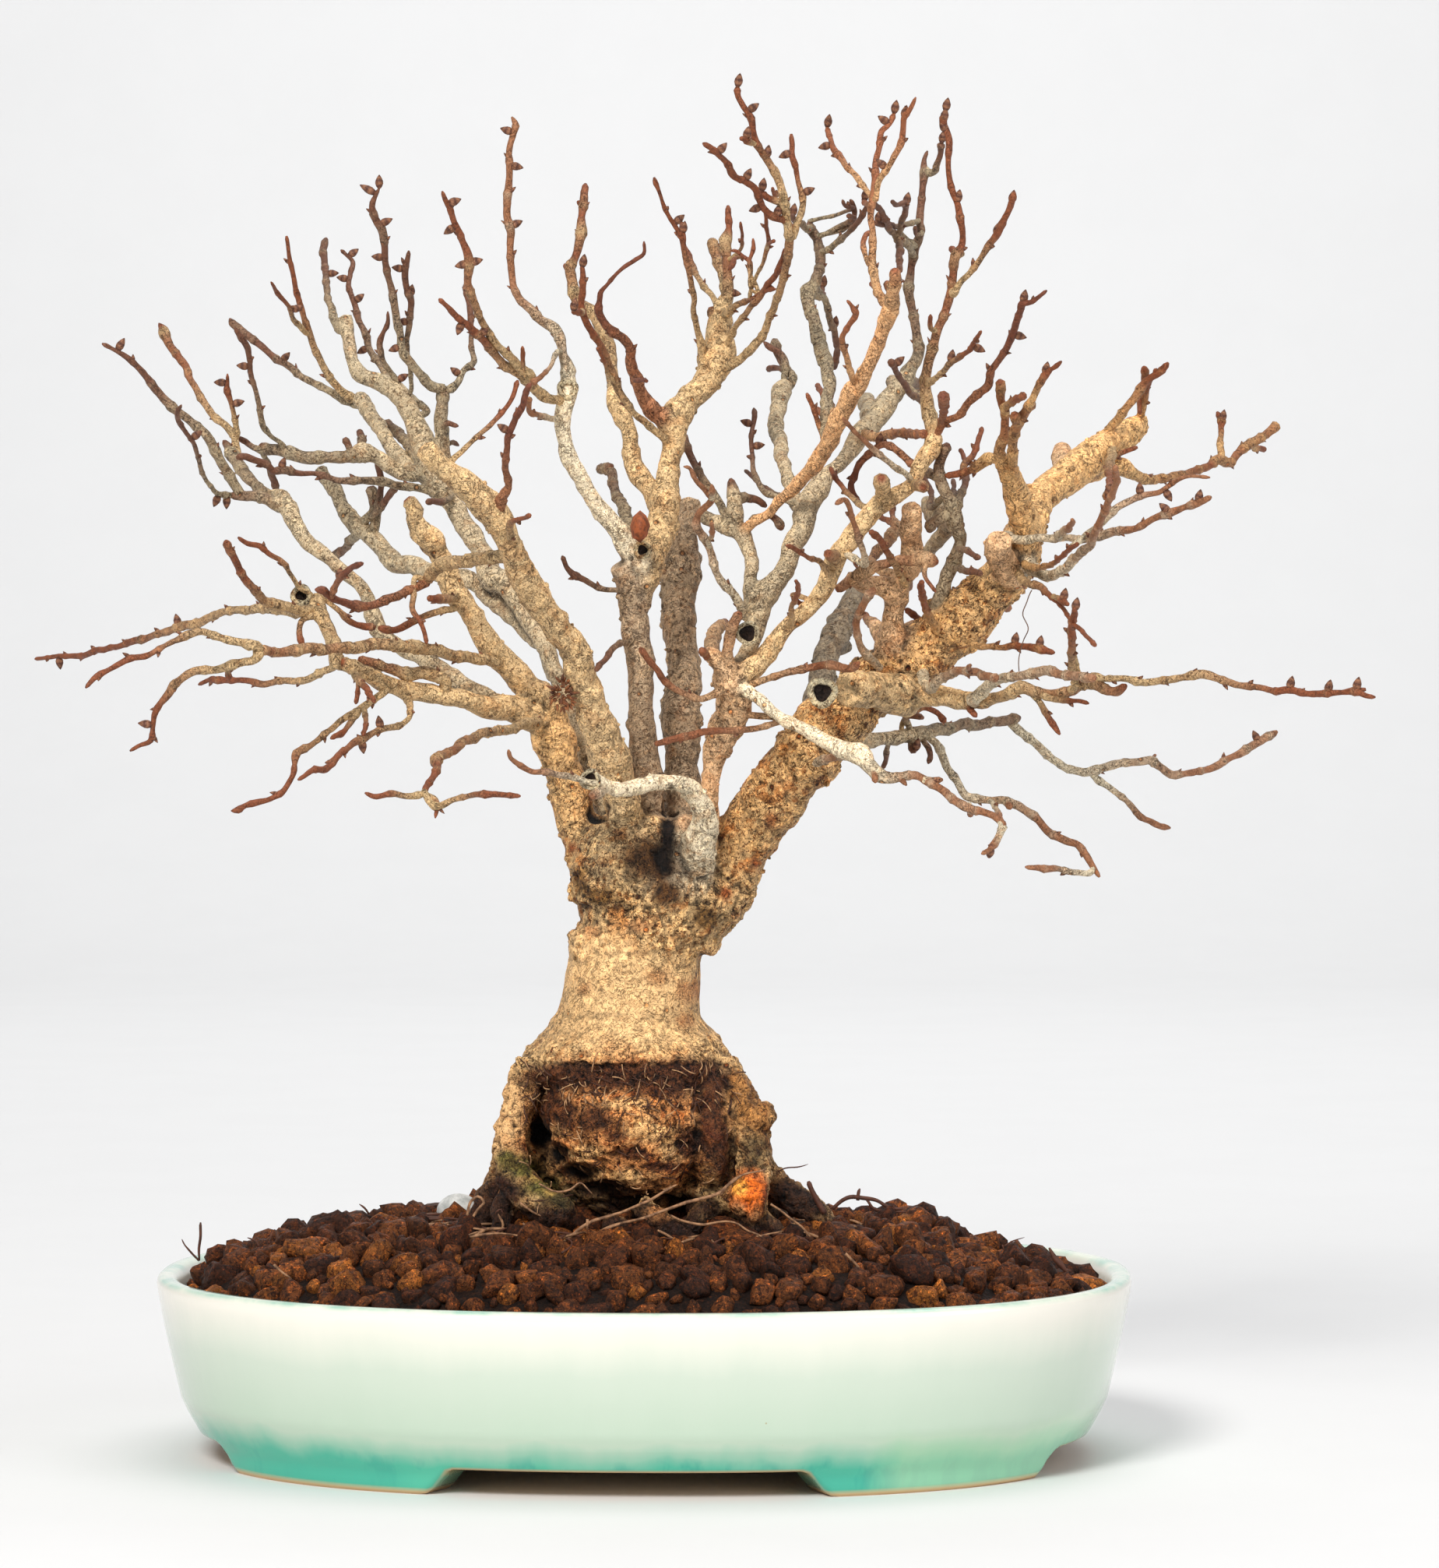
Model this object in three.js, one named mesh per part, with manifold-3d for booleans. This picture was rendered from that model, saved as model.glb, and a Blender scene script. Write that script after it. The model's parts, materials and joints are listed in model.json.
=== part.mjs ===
// Japanese zelkova bonsai in a glazed oval pot, millimetres, +Z up.
// The origin is on the ground under the middle of the whole plant.
import * as THREE from "three";
import { mergeVertices } from "three/addons/utils/BufferGeometryUtils.js";
import Module from "manifold-3d";

const wasm = await Module();
wasm.setup();

// driving dimensions of the pot
const POT_X = -2;
const POT_TURN = THREE.MathUtils.degToRad(-2.3);
const POT_HALF_LENGTH = 125;
const POT_HALF_DEPTH = 97;
const POT_HEIGHT = 46;
const POT_SQUARENESS = 2.3;
const POT_SEGMENTS = 64;
const POT_WALL = 6;
const POT_FLOOR = 12;
const FOOT_HEIGHT = 6.7;
const FOOT_RING = 12;
const LONG_ARCH = { bottom: 51, top: 42.5 };
const END_ARCH = { bottom: 45, top: 38 };
const DRAIN_RADIUS = 9;
const DRAIN_X = 46;
const SCREEN = { half: 13, thickness: 1, bar: 1.4, bars: 4 };
const WIRE = { radius: 0.6, span: 7.2, foot: 5 };
// how far the outside and the inside of the pot draw in from its widest oval: [inset, height]
const POT_OUTSIDE = [
  [12.5, 0],
  [11.8, 5],
  [9.6, 9],
  [7.6, 12.5],
  [6, 16],
  [4, 24.5],
  [1.9, 34],
  [0.3, 42],
  [0, 44.6],
  [0.8, 46],
];
const POT_INSIDE = [
  [19, 12],
  [14, 15],
  [11, 20],
  [8.2, 30],
  [6.4, 40],
  [6, 44.8],
  [5.2, 46],
];

// driving dimensions of the soil
const GAP = 0.3;
const SOIL_EDGE = 42;
const SOIL_RISE = 17;
const SOIL_RINGS = 16;
const SOIL_SEGMENTS = 60;
const GRAIN_RELIEF = 1.5;
const PEBBLE = { x: -51, y: 22, z: 59.5, radius: 5.8 };

// driving dimensions of the tree
const TRUNK_SIDES = 14;
const THIN_LIMB = 1.4;
const SLIM_LIMB = 2.9;
const STOUT_LIMB = 5.5;
const ROUTE_TOLERANCE = 2.4;
const SHORTEST_LIMB = 30;
const BUD_LENGTH = 4.6;
const BUD_WIDTH = 1.7;
const ROOT_BOTTOM = 46;

// The limbs are placed from a straight front view of the tree. A point of that view is
// given in its pixels, 1848 wide and 2013 high, and stands at a chosen depth along Y.
const VIEW_CENTRE = { x: 924, y: 1006.5 };
const VIEW_FOCAL = 7500;
const VIEW_DISTANCE = 1500;
const VIEW_HEIGHT = 215;
const VIEW_TILT = THREE.MathUtils.degToRad(1.65);
const VIEW_X = POT_X + 19.2;

function place(pixelX, pixelY, depth) {
  const across = (pixelX - VIEW_CENTRE.x) / VIEW_FOCAL;
  const up = (VIEW_CENTRE.y - pixelY) / VIEW_FOCAL;
  const away = Math.cos(VIEW_TILT) + up * Math.sin(VIEW_TILT);
  const rise = up * Math.cos(VIEW_TILT) - Math.sin(VIEW_TILT);
  const reach = (depth + VIEW_DISTANCE) / away;
  return new THREE.Vector3(VIEW_X + reach * across, depth, VIEW_HEIGHT + reach * rise);
}

// size in millimetres of one pixel at a depth
function pixelSize(depth) {
  return (VIEW_DISTANCE + depth) / VIEW_FOCAL;
}

// Outline of the trunk in the front view: [height, left, right, depth of half the trunk in mm]
const TRUNK_OUTLINE = [
  [1625, 640, 1004, 27],
  [1585, 634, 1008, 29],
  [1548, 632, 1010, 31],
  [1515, 640, 1002, 32],
  [1485, 634, 996, 32],
  [1455, 634, 990, 31],
  [1428, 645, 986, 29.5],
  [1402, 656, 964, 27],
  [1382, 664, 952, 25.5],
  [1373, 660, 951, 27],
  [1352, 671, 938, 25.5],
  [1325, 698, 920, 22],
  [1300, 716, 900, 18.5],
  [1255, 726, 900, 17],
  [1216, 731, 905, 17],
  [1185, 740, 916, 17.5],
  [1150, 738, 924, 18],
  [1105, 736, 924, 17.5],
  [1070, 748, 918, 15],
  [1045, 772, 892, 10],
];

// Roots at the foot of the trunk: for each, points of x, y, z and thickness in mm
const ROOTS = {
  left_leg: "-31,-8,101,12 -35,-11,90,13 -37,-14,80,14 -35,-19,73,13 -24,-27,54,9",
  right_leg: "18,-8,100,12 23,-11,90,13 26,-14,80,14 28,-17,72,13 26,-24,54,9",
  front_leg: "-18,-22,88,9 -14,-27,78,10 -6,-29,70,11 4,-29,64,11 12,-29,54,9",
  back_leg_left: "-26,12,100,14 -31,18,86,15 -34,24,70,14 -36,29,54,12",
  back_leg_right: "14,12,100,14 19,19,86,15 22,25,70,14 24,30,54,12",
  back_leg_middle: "-6,18,102,14 -6,25,86,15 -4,30,70,14 -3,33,54,12",
};

// Every limb is drawn from its base to its tip: its own name, the limb that carries it, the depth
// of its tip in mm, then its route as "x,y,thickness" in pixels of the front view. A limb on the
// trunk may state the depth of its base.
const limbs = [];
const limbNamed = {};

function limb(name, parentName, tipDepth, route, baseDepth = null) {
  const points = route.split(" ").map((point) => point.split(",").map(Number));
  const parent = limbNamed[parentName] ?? null;
  let base = baseDepth ?? 0;
  if (parent) {
    const near = nearestSpot(parent, points[0]);
    base = near.depth;
    points.unshift([near.x, near.y, Math.min(points[0][2], near.thickness)]);
  }
  const grown = { name, spots: spotsAlong(points, base, tipDepth) };
  limbs.push(grown);
  if (name !== "twig") limbNamed[name] = grown;
}

function nearestSpot(parent, [x, y]) {
  let best = parent.spots[0];
  for (const spot of parent.spots) {
    if (Math.hypot(spot.x - x, spot.y - y) < Math.hypot(best.x - x, best.y - y)) best = spot;
  }
  return best;
}

// gives each point of a route its depth, with a slow sway so that no limb lies in a plane
function spotsAlong(points, base, tip) {
  const lengths = [0];
  for (let i = 1; i < points.length; i += 1) {
    const [x0, y0] = points[i - 1];
    const [x1, y1] = points[i];
    lengths.push(lengths[i - 1] + Math.hypot(x1 - x0, y1 - y0));
  }
  const whole = lengths[lengths.length - 1];
  const sway = Math.min(whole * 0.006, 5);
  return points.map(([x, y, thickness], i) => {
    const along = lengths[i] / whole;
    const wave = sway * Math.sin(along * 9 + points[0][0]) * 4 * along * (1 - along);
    const depth = base + (tip - base) * along + wave;
    const position = place(x, y, depth);
    return { x, y, thickness, depth, position, radius: (thickness * pixelSize(depth)) / 2 };
  });
}

limb("right_limb", "trunk", -14,
  "868,1200,100 905,1150,104 935,1105,98 968,1060,88 995,1020,84 1022,985,81 1050,950,82 " +
  "1080,918,80 1110,892,74 1145,868,76 1180,845,76 1205,822,76 1235,797,76 1262,770,72 1285,745,62 " +
  "1305,722,54 1318,700,46", 0);
// left fork and the limbs that leave it
limb("left_fork", "trunk", 2,
  "770,1120,84 750,1080,62 737,1040,52 727,1000,50 716,960,50 705,925,48", 0);
limb("left_inner", "left_fork", -14,
  "705,925,46 702,905,40 680,883,38 660,864,36 641,841,34 624,819,32 607,794,30 592,770,31 " +
  "579,750,34 573,736,34 564,712,26 554,691,32 540,680,28 532,666,20 530,652,20 522,640,18");
limb("left_front", "trunk", -66,
  "808,1075,52 800,1040,50 786,985,50 772,942,44 758,900,40 747,866,40 739,838,38 722,813,36 " +
  "697,780,36 683,755,35 666,727,36 652,696,34 641,668,34 624,646,38 607,629,36 579,610,28 " +
  "557,587,28 546,576,26", -8);
limb("twig", "left_front", -84,
  "655,690,10 655,672,8 668,667,6 681,661,6");
limb("left_bridge", "left_front", -18,
  "652,718,18 613,719,18 590,720,18 568,724,18 557,733,18 548,747,14");
limb("left_red", "left_bridge", -46,
  "548,747,12 537,754,11 518,761,11 495,771,11 478,776,11 459,778,14 442,773,10 425,766,9 " +
  "414,758,13 405,757,6");
limb("twig", "left_red", -62,
  "425,766,8 431,752,8 442,736,9 456,727,8 466,723,6");
limb("twig", "left_bridge", -30,
  "536,742,8 531,766,7 529,783,8 540,798,6 548,826,6");
limb("twig", "left_inner", -26,
  "585,768,10 570,770,12 550,768,9");
// grey limbs behind on the left
limb("left_back", "trunk", 74,
  "800,1095,44 784,1045,38 770,1010,34 757,985,32 745,960,30 730,905,26 712,860,22 697,826,24 " +
  "680,797,22 663,772,24 652,752,32 632,741,34 621,713,28 607,691,26 593,668,24 582,649,24 " +
  "566,625,32 552,603,34 545,580,34 540,560,28 532,537,24 518,514,26 504,498,26 484,489,22 " +
  "467,484,20 456,467,18 450,447,16 446,428,18 443,408,20", 4);
limb("left_low_back", "left_back", 92,
  "711,866,20 705,844,20 697,824,24 683,813,26 666,796,24 646,780,24 630,769,22 615,755,20 " +
  "600,745,22 575,740,22 551,733,22 531,724,24 509,723,28 495,708,24 476,691,22 459,677,24 " +
  "442,654,18 431,635,18 420,618,18 411,601,16");
limb("twig", "left_low_back", 100,
  "456,688,14 443,703,11 428,715,12");
limb("twig", "left_low_back", 74,
  "478,684,13 481,660,13 480,640,14 476,624,15");
limb("twig", "left_low_back", 62,
  "484,655,10 501,635,9 512,621,9");
limb("twig", "left_low_back", 66,
  "487,640,9 487,605,9 485,593,10");
limb("left_back_right", "left_back", 54,
  "560,612,24 568,573,20 567,554,18 565,534,18 567,514,15 569,500,18");
limb("twig", "left_back_right", 48,
  "572,545,8 588,547,5");
limb("twig", "left_back_right", 62,
  "570,573,7 582,568,6 589,572,5");
limb("twig", "left_back", 88,
  "545,600,18 534,585,16 520,566,15 508,553,14 496,543,11");
limb("twig", "left_back_right", 24,
  "569,500,14 557,496,14 540,482,12 526,465,12 515,445,11 511,426,10 508,403,11 506,386,11 " +
  "502,364,9 497,342,9 495,319,9 491,297,12 481,280,9 478,258,8 480,254,6 487,242,5");
limb("twig", "left_back_right", 78,
  "575,500,10 596,476,8 607,466,9 606,445,7 605,420,6 603,400,8 598,372,7 596,365,4");
limb("twig", "left_back", 108,
  "548,527,9 534,515,9 518,501,8 501,490,9 490,473,9 476,451,9 466,426,9 459,409,8 456,392,8 " +
  "446,367,7 449,353,7 452,333,6 446,328,5 438,321,4");
limb("twig", "left_back", 50,
  "510,492,7 504,484,7 492,462,7 488,442,9 493,425,6 497,417,6 498,400,4");
limb("twig", "left_back", 36,
  "528,503,6 529,487,6 523,455,6 523,442,7 525,414,8 527,384,10 523,370,8 520,347,9 523,336,7 " +
  "525,322,5");
limb("twig", "left_back", 118,
  "438,425,10 431,411,12 425,394,9 420,358,9 417,333,9 416,312,10 419,306,6");
limb("left_mid", "left_back", 96,
  "530,607,24 515,587,22 501,570,18 487,548,20 470,523,20 461,511,22");
limb("twig", "left_mid", 116,
  "461,518,12 444,514,12 422,502,9 397,489,9 372,470,9 352,458,9 327,440,9 306,422,12 299,415,8 " +
  "295,409,5");
limb("left_mid_up", "left_mid", 76,
  "458,512,12 444,506,11 428,492,10 414,467,9 402,442,9 397,428,10 390,408,8 384,383,8 379,365,7 " +
  "372,335,6 368,303,5");
limb("twig", "left_mid_up", 60,
  "396,428,8 386,420,7 377,411,7 371,395,6 358,378,6 348,362,4");
limb("left_level", "left_back", 48,
  "520,607,20 506,601,20 484,587,18 467,582,24 450,586,16 422,587,15 400,589,18 380,583,16 " +
  "360,577,17 338,574,16 334,570,8");
limb("twig", "left_level", 66,
  "463,575,11 463,562,11 462,553,9");
limb("twig", "left_level", 52,
  "450,580,10 442,562,9");
limb("twig", "left_level", 16,
  "362,575,8 346,559,6 337,548,8 332,520,7 327,498,6 321,478,7 320,458,7 316,442,9 306,428,7 " +
  "302,421,6");
limb("left_lower_level", "left_back", 26,
  "575,635,12 557,632,12 534,626,11 512,624,11 484,619,11 456,618,10 436,617,9 417,610,8 402,607,7 " +
  "380,607,8 366,604,12 352,605,10 344,598,9 327,591,9 313,586,9 304,588,8");
limb("twig", "left_lower_level", 34,
  "579,636,8 568,643,9 548,645,8");
limb("twig", "left_level", 62,
  "338,584,7 346,598,7 349,610,9 355,632,8");
// low limb on the left
limb("left_low", "left_inner", -38,
  "705,925,46 680,917,40 652,910,34 624,906,30 596,897,26 568,894,24 540,890,24 518,886,26 " +
  "495,878,22 473,868,20 453,857,18 438,850,20");
limb("left_low_up", "left_low", -24,
  "434,850,20 431,833,18 422,813,18 414,791,20 407,774,22 402,768,16");
limb("twig", "left_low_up", 92,
  "400,784,18 383,785,17 360,781,16 338,782,14 318,782,11 299,785,10 276,790,10 254,801,12 " +
  "232,806,12 204,814,9 176,822,10 153,828,8 125,836,8 97,842,8 72,843,6 45,846,5");
limb("twig", "left_low_up", -62,
  "400,782,14 370,780,14 352,775,15 338,768,13 321,750,11 307,730,10 296,710,10 290,695,11");
limb("twig", "left_low_up", -44,
  "400,764,8 388,755,6 374,738,6 362,720,7 346,712,7 334,702,8 318,698,7 306,690,5");
limb("twig", "left_low_up", -16,
  "404,766,9 419,772,8 428,780,7 445,795,9 464,802,9 482,806,10");
limb("twig", "left_inner", -20,
  "590,775,10 568,784,9 546,792,9 520,803,10 501,808,9 486,806,10");
limb("twig", "left_low_up", -34,
  "405,790,9 388,794,8 386,816,8 388,828,7 369,831,5");
limb("left_long", "left_inner", -72,
  "640,850,14 621,847,14 596,844,16 568,838,15 551,833,16 529,829,18 501,827,16 481,827,14 " +
  "462,830,18 439,831,14 417,833,14 400,833,15 380,837,15 360,838,12 344,836,12 332,835,16");
limb("twig", "left_long", -98,
  "332,832,13 316,827,12 299,823,11 282,817,10 260,812,9 243,815,12 226,822,7 209,831,7 187,844,8 " +
  "167,846,8 142,858,7 122,871,8 110,883,5");
limb("left_long_low", "left_long", -52,
  "332,839,12 313,850,11 296,855,12 276,859,10 251,862,11 237,868,10 223,879,11 218,890,11 " +
  "206,903,8 199,917,8 197,934,6 192,953,8 180,957,6 167,964,5");
limb("twig", "left_long_low", -62,
  "293,858,8 294,872,7");
limb("twig", "left_low", 4,
  "430,853,11 422,858,10 405,868,10 386,873,9 363,874,9 338,877,9 313,873,8 290,873,8 282,873,11 " +
  "268,874,6 255,879,5");
limb("twig", "left_low", -30,
  "572,876,16 546,864,16 523,865,18 498,858,14 476,851,12 460,846,12");
limb("twig", "left_low", -84,
  "523,897,12 526,906,10 526,920,7 518,928,8 498,935,8 476,943,8 462,950,11 445,962,9 428,977,9 " +
  "417,987,10 402,990,8 383,1001,5");
limb("left_hang", "left_low", -66,
  "498,884,10 484,897,9 467,908,11 456,913,9 439,924,8 425,936,8 408,950,8 399,956,8 381,965,12 " +
  "379,981,7 377,992,8 370,1006,7 363,1016,8 346,1025,7 327,1030,8 313,1036,7 306,1040,10 " +
  "297,1041,4");
limb("twig", "left_hang", -48,
  "460,913,9 453,925,8 442,939,8 425,948,7");
limb("twig", "left_hang", -60,
  "467,910,8 470,925,7 467,943,6");
limb("twig", "left_low", -52,
  "455,862,7 459,883,6 457,903,6");
limb("twig", "left_low", -56,
  "453,860,10 470,883,9 481,901,7");
limb("left_under", "left_low", -92,
  "690,928,16 669,932,13 646,938,12 621,942,13 596,953,12 576,966,12 560,977,16 562,985,11 " +
  "557,998,9 547,1012,8 545,1019,9");
limb("twig", "left_under", -104,
  "545,1019,9 526,1023,8 504,1020,8 481,1022,7 469,1018,5");
limb("twig", "left_under", -116,
  "545,1017,9 551,1026,9 560,1034,10 579,1027,8 602,1022,7 624,1018,9 646,1020,8 668,1022,6");
limb("twig", "left_under", -98,
  "560,1030,8 559,1050,4");
// upper left limb from the low one
limb("left_upper", "left_low", 20,
  "640,905,20 625,893,20 602,883,20 582,872,24 565,861,24 548,850,22 531,841,20 515,830,19 " +
  "501,820,18 487,810,20 479,792,24 473,772,18 464,752,18 444,733,18 422,716,18 402,702,20 " +
  "388,685,22 377,666,22 369,649,24 352,645,18 332,638,14 310,636,12 296,636,10");
limb("left_upper_end", "left_upper", 44,
  "366,640,20 344,634,14 327,621,14 310,604,16 300,587,18 292,573,12 287,566,7");
limb("left_outer", "left_upper_end", 70,
  "303,587,12 303,572,11 301,560,10 293,548,10 279,537,9 262,517,10 248,492,9 237,470,10 226,456,9 " +
  "216,438,11 211,425,14 204,415,4");
limb("twig", "left_outer", 34,
  "303,560,9 303,545,8 300,528,6 295,514,7 290,499,8 292,488,5 292,480,4");
limb("twig", "left_level", 46,
  "338,578,10 327,575,8 313,565,8 304,562,8");
limb("left_far", "left_upper", -8,
  "308,633,13 303,624,13 290,601,13 276,579,13 261,555,12 243,540,11 226,526,12 199,498,11 " +
  "176,472,8 160,458,8 153,453,6 131,441,5");
limb("twig", "left_upper", -30,
  "292,636,8 281,635,7 271,624,6 260,607,6 254,590,6 248,570,6 237,554,6 227,534,7 233,520,4");
// centre: the cut stem and the two stems of its fork
limb("centre_stem", "trunk", -12,
  "835,1100,46 836,1040,40 832,992,34 827,970,32 823,914,31 823,859,31 818,822,38 812,785,38 " +
  "806,745,40 797,724,30", -2);
limb("centre_left", "centre_stem", -34,
  "822,765,34 823,742,36 812,713,34 803,694,30 789,677,28 775,660,24 761,640,22 747,615,24 " +
  "733,593,22 725,565,20 722,537,22 726,515,24 729,496,22 728,470,16 722,454,12 719,437,13 " +
  "714,423,16 697,412,12 683,398,12 669,386,11 660,370,9 657,347,9 654,319,9 655,293,11 651,280,10 " +
  "650,258,10 653,232,9 653,216,9 653,196,8 659,174,9 663,161,8 657,150,5");
limb("centre_left_side", "centre_left", -70,
  "722,515,14 714,514,12 700,510,14 686,498,14 672,487,14 663,479,14 646,465,11 630,448,11 " +
  "610,428,11 596,414,9 579,398,8 564,384,5");
limb("twig", "centre_left_side", -86,
  "683,486,14 666,470,13 652,456,11 638,440,10 624,420,9 613,398,10 606,378,11 602,361,11 " +
  "602,342,13 600,322,11 593,305,9 583,286,8 575,263,8 568,246,5");
limb("twig", "centre_left_side", -50,
  "671,478,7 671,462,6 671,445,5");
limb("twig", "centre_left", -44,
  "720,452,7 705,473,6 691,486,7 684,492,8");
limb("twig", "centre_left", -50,
  "718,538,9 706,538,8 691,533,8 679,528,8 680,511,7");
limb("front_red", "left_front", -96,
  "640,660,18 646,640,14 652,622,10 648,604,9 651,587,9 652,568,8 660,545,9 669,526,9 676,503,8 " +
  "681,493,8");
limb("twig", "left_front", -60,
  "579,594,8 596,576,7 613,560,6 632,543,7 649,524,6 660,504,6 665,488,6");
limb("behind_centre", "centre_left", 26,
  "806,690,16 806,672,16 795,643,14 786,621,13 781,604,14 777,600,18");
limb("twig", "behind_centre", 30,
  "779,602,10 768,603,12");
limb("twig", "behind_centre", 22,
  "779,602,10 787,598,11");
limb("twig", "centre_stem", -34,
  "806,758,9 790,758,7 764,752,7 744,741,9 728,727,7 722,714,5");
limb("twig", "centre_stem", -38,
  "806,826,9 797,826,8 778,844,8 765,861,7");
limb("centre_right", "centre_stem", 18,
  "824,750,36 832,732,36 840,706,38 847,686,40 852,665,40 856,640,36 858,620,30 861,594,28 " +
  "865,566,34 866,540,44 880,518,38 898,500,36 910,485,38 918,468,42 925,450,42 924,432,32 " +
  "924,412,28 926,396,24 934,380,16 935,359,12 934,334,12 932,308,18 936,292,8 935,264,8");
limb("twig", "centre_right", 24,
  "932,376,12 928,359,12 922,337,12 916,318,14 914,308,16");
limb("twig", "centre_right", 12,
  "922,412,14 916,404,14 913,394,14");
limb("centre_right_light", "centre_right", 40,
  "848,650,26 838,632,24 822,612,26 814,594,24 810,575,21 808,558,21 799,536,22 789,516,20 " +
  "788,496,16 786,474,16 784,449,16 775,426,16 766,410,16 757,398,16 744,389,14 738,376,16 " +
  "733,359,13 732,345,14 740,331,10 743,312,12 747,298,15 747,278,10 750,256,11 752,236,8");
limb("twig", "centre_right_light", 42,
  "748,262,8 742,259,7");
limb("twig", "centre_right_light", 46,
  "733,350,9 726,340,7");
limb("centre_brown", "centre_right", -30,
  "866,545,30 851,535,28 841,530,24 830,513,20 822,499,16 816,482,14 810,463,13 809,449,12 " +
  "799,432,12 788,426,12 777,418,11 768,401,10 770,387,8 771,376,7 780,365,5 788,356,5 805,341,6 " +
  "816,334,5 827,326,5 827,310,4");
limb("twig", "centre_brown", -34,
  "815,488,6 824,489,6 831,489,5");
limb("centre_straight", "centre_right", -44,
  "862,572,12 850,562,10 830,544,9 810,527,9 799,510,10 791,491,10 782,468,9 774,449,9 763,429,9 " +
  "752,410,9 747,398,9 747,376,9 749,354,8 747,340,6");
limb("twig", "centre_straight", -48,
  "748,400,8 736,400,8");
limb("twig", "centre_straight", -38,
  "790,490,6 780,478,5 772,455,5 767,446,5");
limb("centre_right_twig", "centre_right", -26,
  "908,468,14 902,447,11 899,432,10 893,412,8 890,397,7 890,380,7 887,362,8 883,343,8 879,325,7 " +
  "874,305,7 864,288,7 856,275,6 848,252,5 842,236,6 840,228,6");
limb("twig", "centre_right", 50,
  "926,398,9 920,388,8 908,373,8 897,356,7 891,342,8 884,328,7 878,312,7 876,299,8 875,285,6");
limb("centre_fan", "centre_right", -22,
  "932,404,12 941,395,10 952,390,8 963,386,7 975,378,7 990,372,6 996,371,4");
limb("centre_fan_up", "centre_fan", -40,
  "963,386,6 965,370,5 970,358,5 980,338,5 985,320,6 987,308,6 984,290,5 983,275,5 981,265,5");
limb("twig", "centre_fan_up", -44,
  "986,315,5 994,309,5");
limb("twig", "centre_fan", -10,
  "965,372,5 963,350,5 962,335,6 955,330,5 945,322,5 938,322,4");
limb("twig", "centre_fan", -12,
  "962,338,5 968,322,5 967,306,4");
limb("twig", "centre_right", -6,
  "952,330,5 944,330,6 940,342,7 936,346,5");
limb("twig", "centre_right", -8,
  "948,324,5 953,302,4 951,285,4");
limb("twig", "centre_right", -34,
  "934,442,10 942,424,8 952,410,8 963,394,8 978,376,8 992,359,8 1003,340,8 1010,320,8");
limb("arch", "centre_right", -78,
  "928,470,16 936,470,12 950,463,11 964,449,11 976,435,11 984,421,10 992,401,10 1001,376,10 " +
  "1006,354,11 1012,331,11 1014,314,12 1015,298,11 1006,284,10 992,278,9 984,270,9 976,256,9 " +
  "967,242,9 956,233,8 939,222,10 934,208,8 922,197,8 908,187,8 903,184,6");
limb("arch_mid", "arch", -60,
  "1014,304,12 1010,286,12 1008,264,12 1005,247,12 997,225,11 987,208,11 978,196,9 970,184,9 " +
  "967,168,9 966,152,9 955,136,8 948,124,8 947,112,10");
limb("twig", "arch_mid", -64,
  "968,184,8 960,182,9 951,177,6");
limb("twig", "arch_mid", -50,
  "1004,262,9 996,258,8 983,252,9 978,246,8");
limb("twig", "arch_mid", -66,
  "996,250,6 992,241,4");
limb("twig", "arch", -40,
  "1016,306,11 1024,288,9 1030,268,9 1031,250,8 1026,232,7 1020,212,7 1016,200,9 1017,186,7 " +
  "1016,172,6");
// thick grey centre stem behind and the knotted front one
limb("back_centre", "trunk", 34,
  "868,1105,54 877,1040,48 877,1000,46 875,952,46 874,910,46 878,870,44 876,840,44 871,800,44 " +
  "870,770,46 873,740,56 872,712,52 874,690,44 880,668,30 886,650,26 887,642,26", 6);
limb("front_knot", "trunk", -26,
  "902,1090,46 906,1060,36 910,1032,26 912,1008,24 915,985,28 920,962,38 928,945,46 940,915,50 " +
  "944,892,50 938,872,44 930,856,30 918,843,22 905,836,16", -8);
limb("twig", "front_knot", -38,
  "906,843,10 901,834,10");
limb("twig", "front_knot", -44,
  "938,880,14 925,888,10 914,893,9 900,897,9 886,893,9 872,888,8 852,874,9 841,857,8 832,845,8 " +
  "822,832,9");
limb("twig", "front_knot", 14,
  "928,860,18 918,840,18 914,826,20 922,808,18 932,797,9");
limb("twig", "front_knot", -32,
  "940,870,18 934,835,14 937,815,16 943,800,13 950,786,14");
limb("grey_right", "front_knot", 52,
  "934,874,40 953,850,26 962,832,24 967,812,26 970,790,28 974,772,34 986,757,32 998,744,26 " +
  "1009,728,24 1020,700,25 1032,675,28 1038,652,34 1048,632,32 1062,612,20 1076,596,17 1090,580,22 " +
  "1107,556,28 1124,540,27 1138,522,26 1150,505,26 1160,492,24 1168,478,18 1176,462,15 1180,448,14 " +
  "1177,430,13 1172,404,12 1167,381,12 1166,368,14 1170,350,10 1173,331,11 1176,317,12 1180,306,12 " +
  "1183,297,10 1181,283,10 1183,264,10 1184,247,9 1186,230,11 1188,218,12 1188,205,6 1191,194,5");
limb("grey_up", "grey_right", 6,
  "968,790,24 964,765,20 966,738,18 966,715,18 958,695,20 948,682,22 930,674,20 915,668,18 " +
  "900,662,16");
limb("twig", "grey_up", 2,
  "946,678,22 944,655,24 943,638,20 940,624,13 938,614,5");
limb("twig", "grey_up", 10,
  "940,655,12 952,638,12 966,640,11 984,650,8");
limb("twig", "grey_up", -6,
  "956,682,12 972,665,9 990,662,9 1000,670,11 1004,680,11");
limb("grey_thin", "grey_up", 20,
  "932,668,12 927,652,11 915,634,11 903,614,11 893,594,10 884,574,10 877,558,12");
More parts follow.
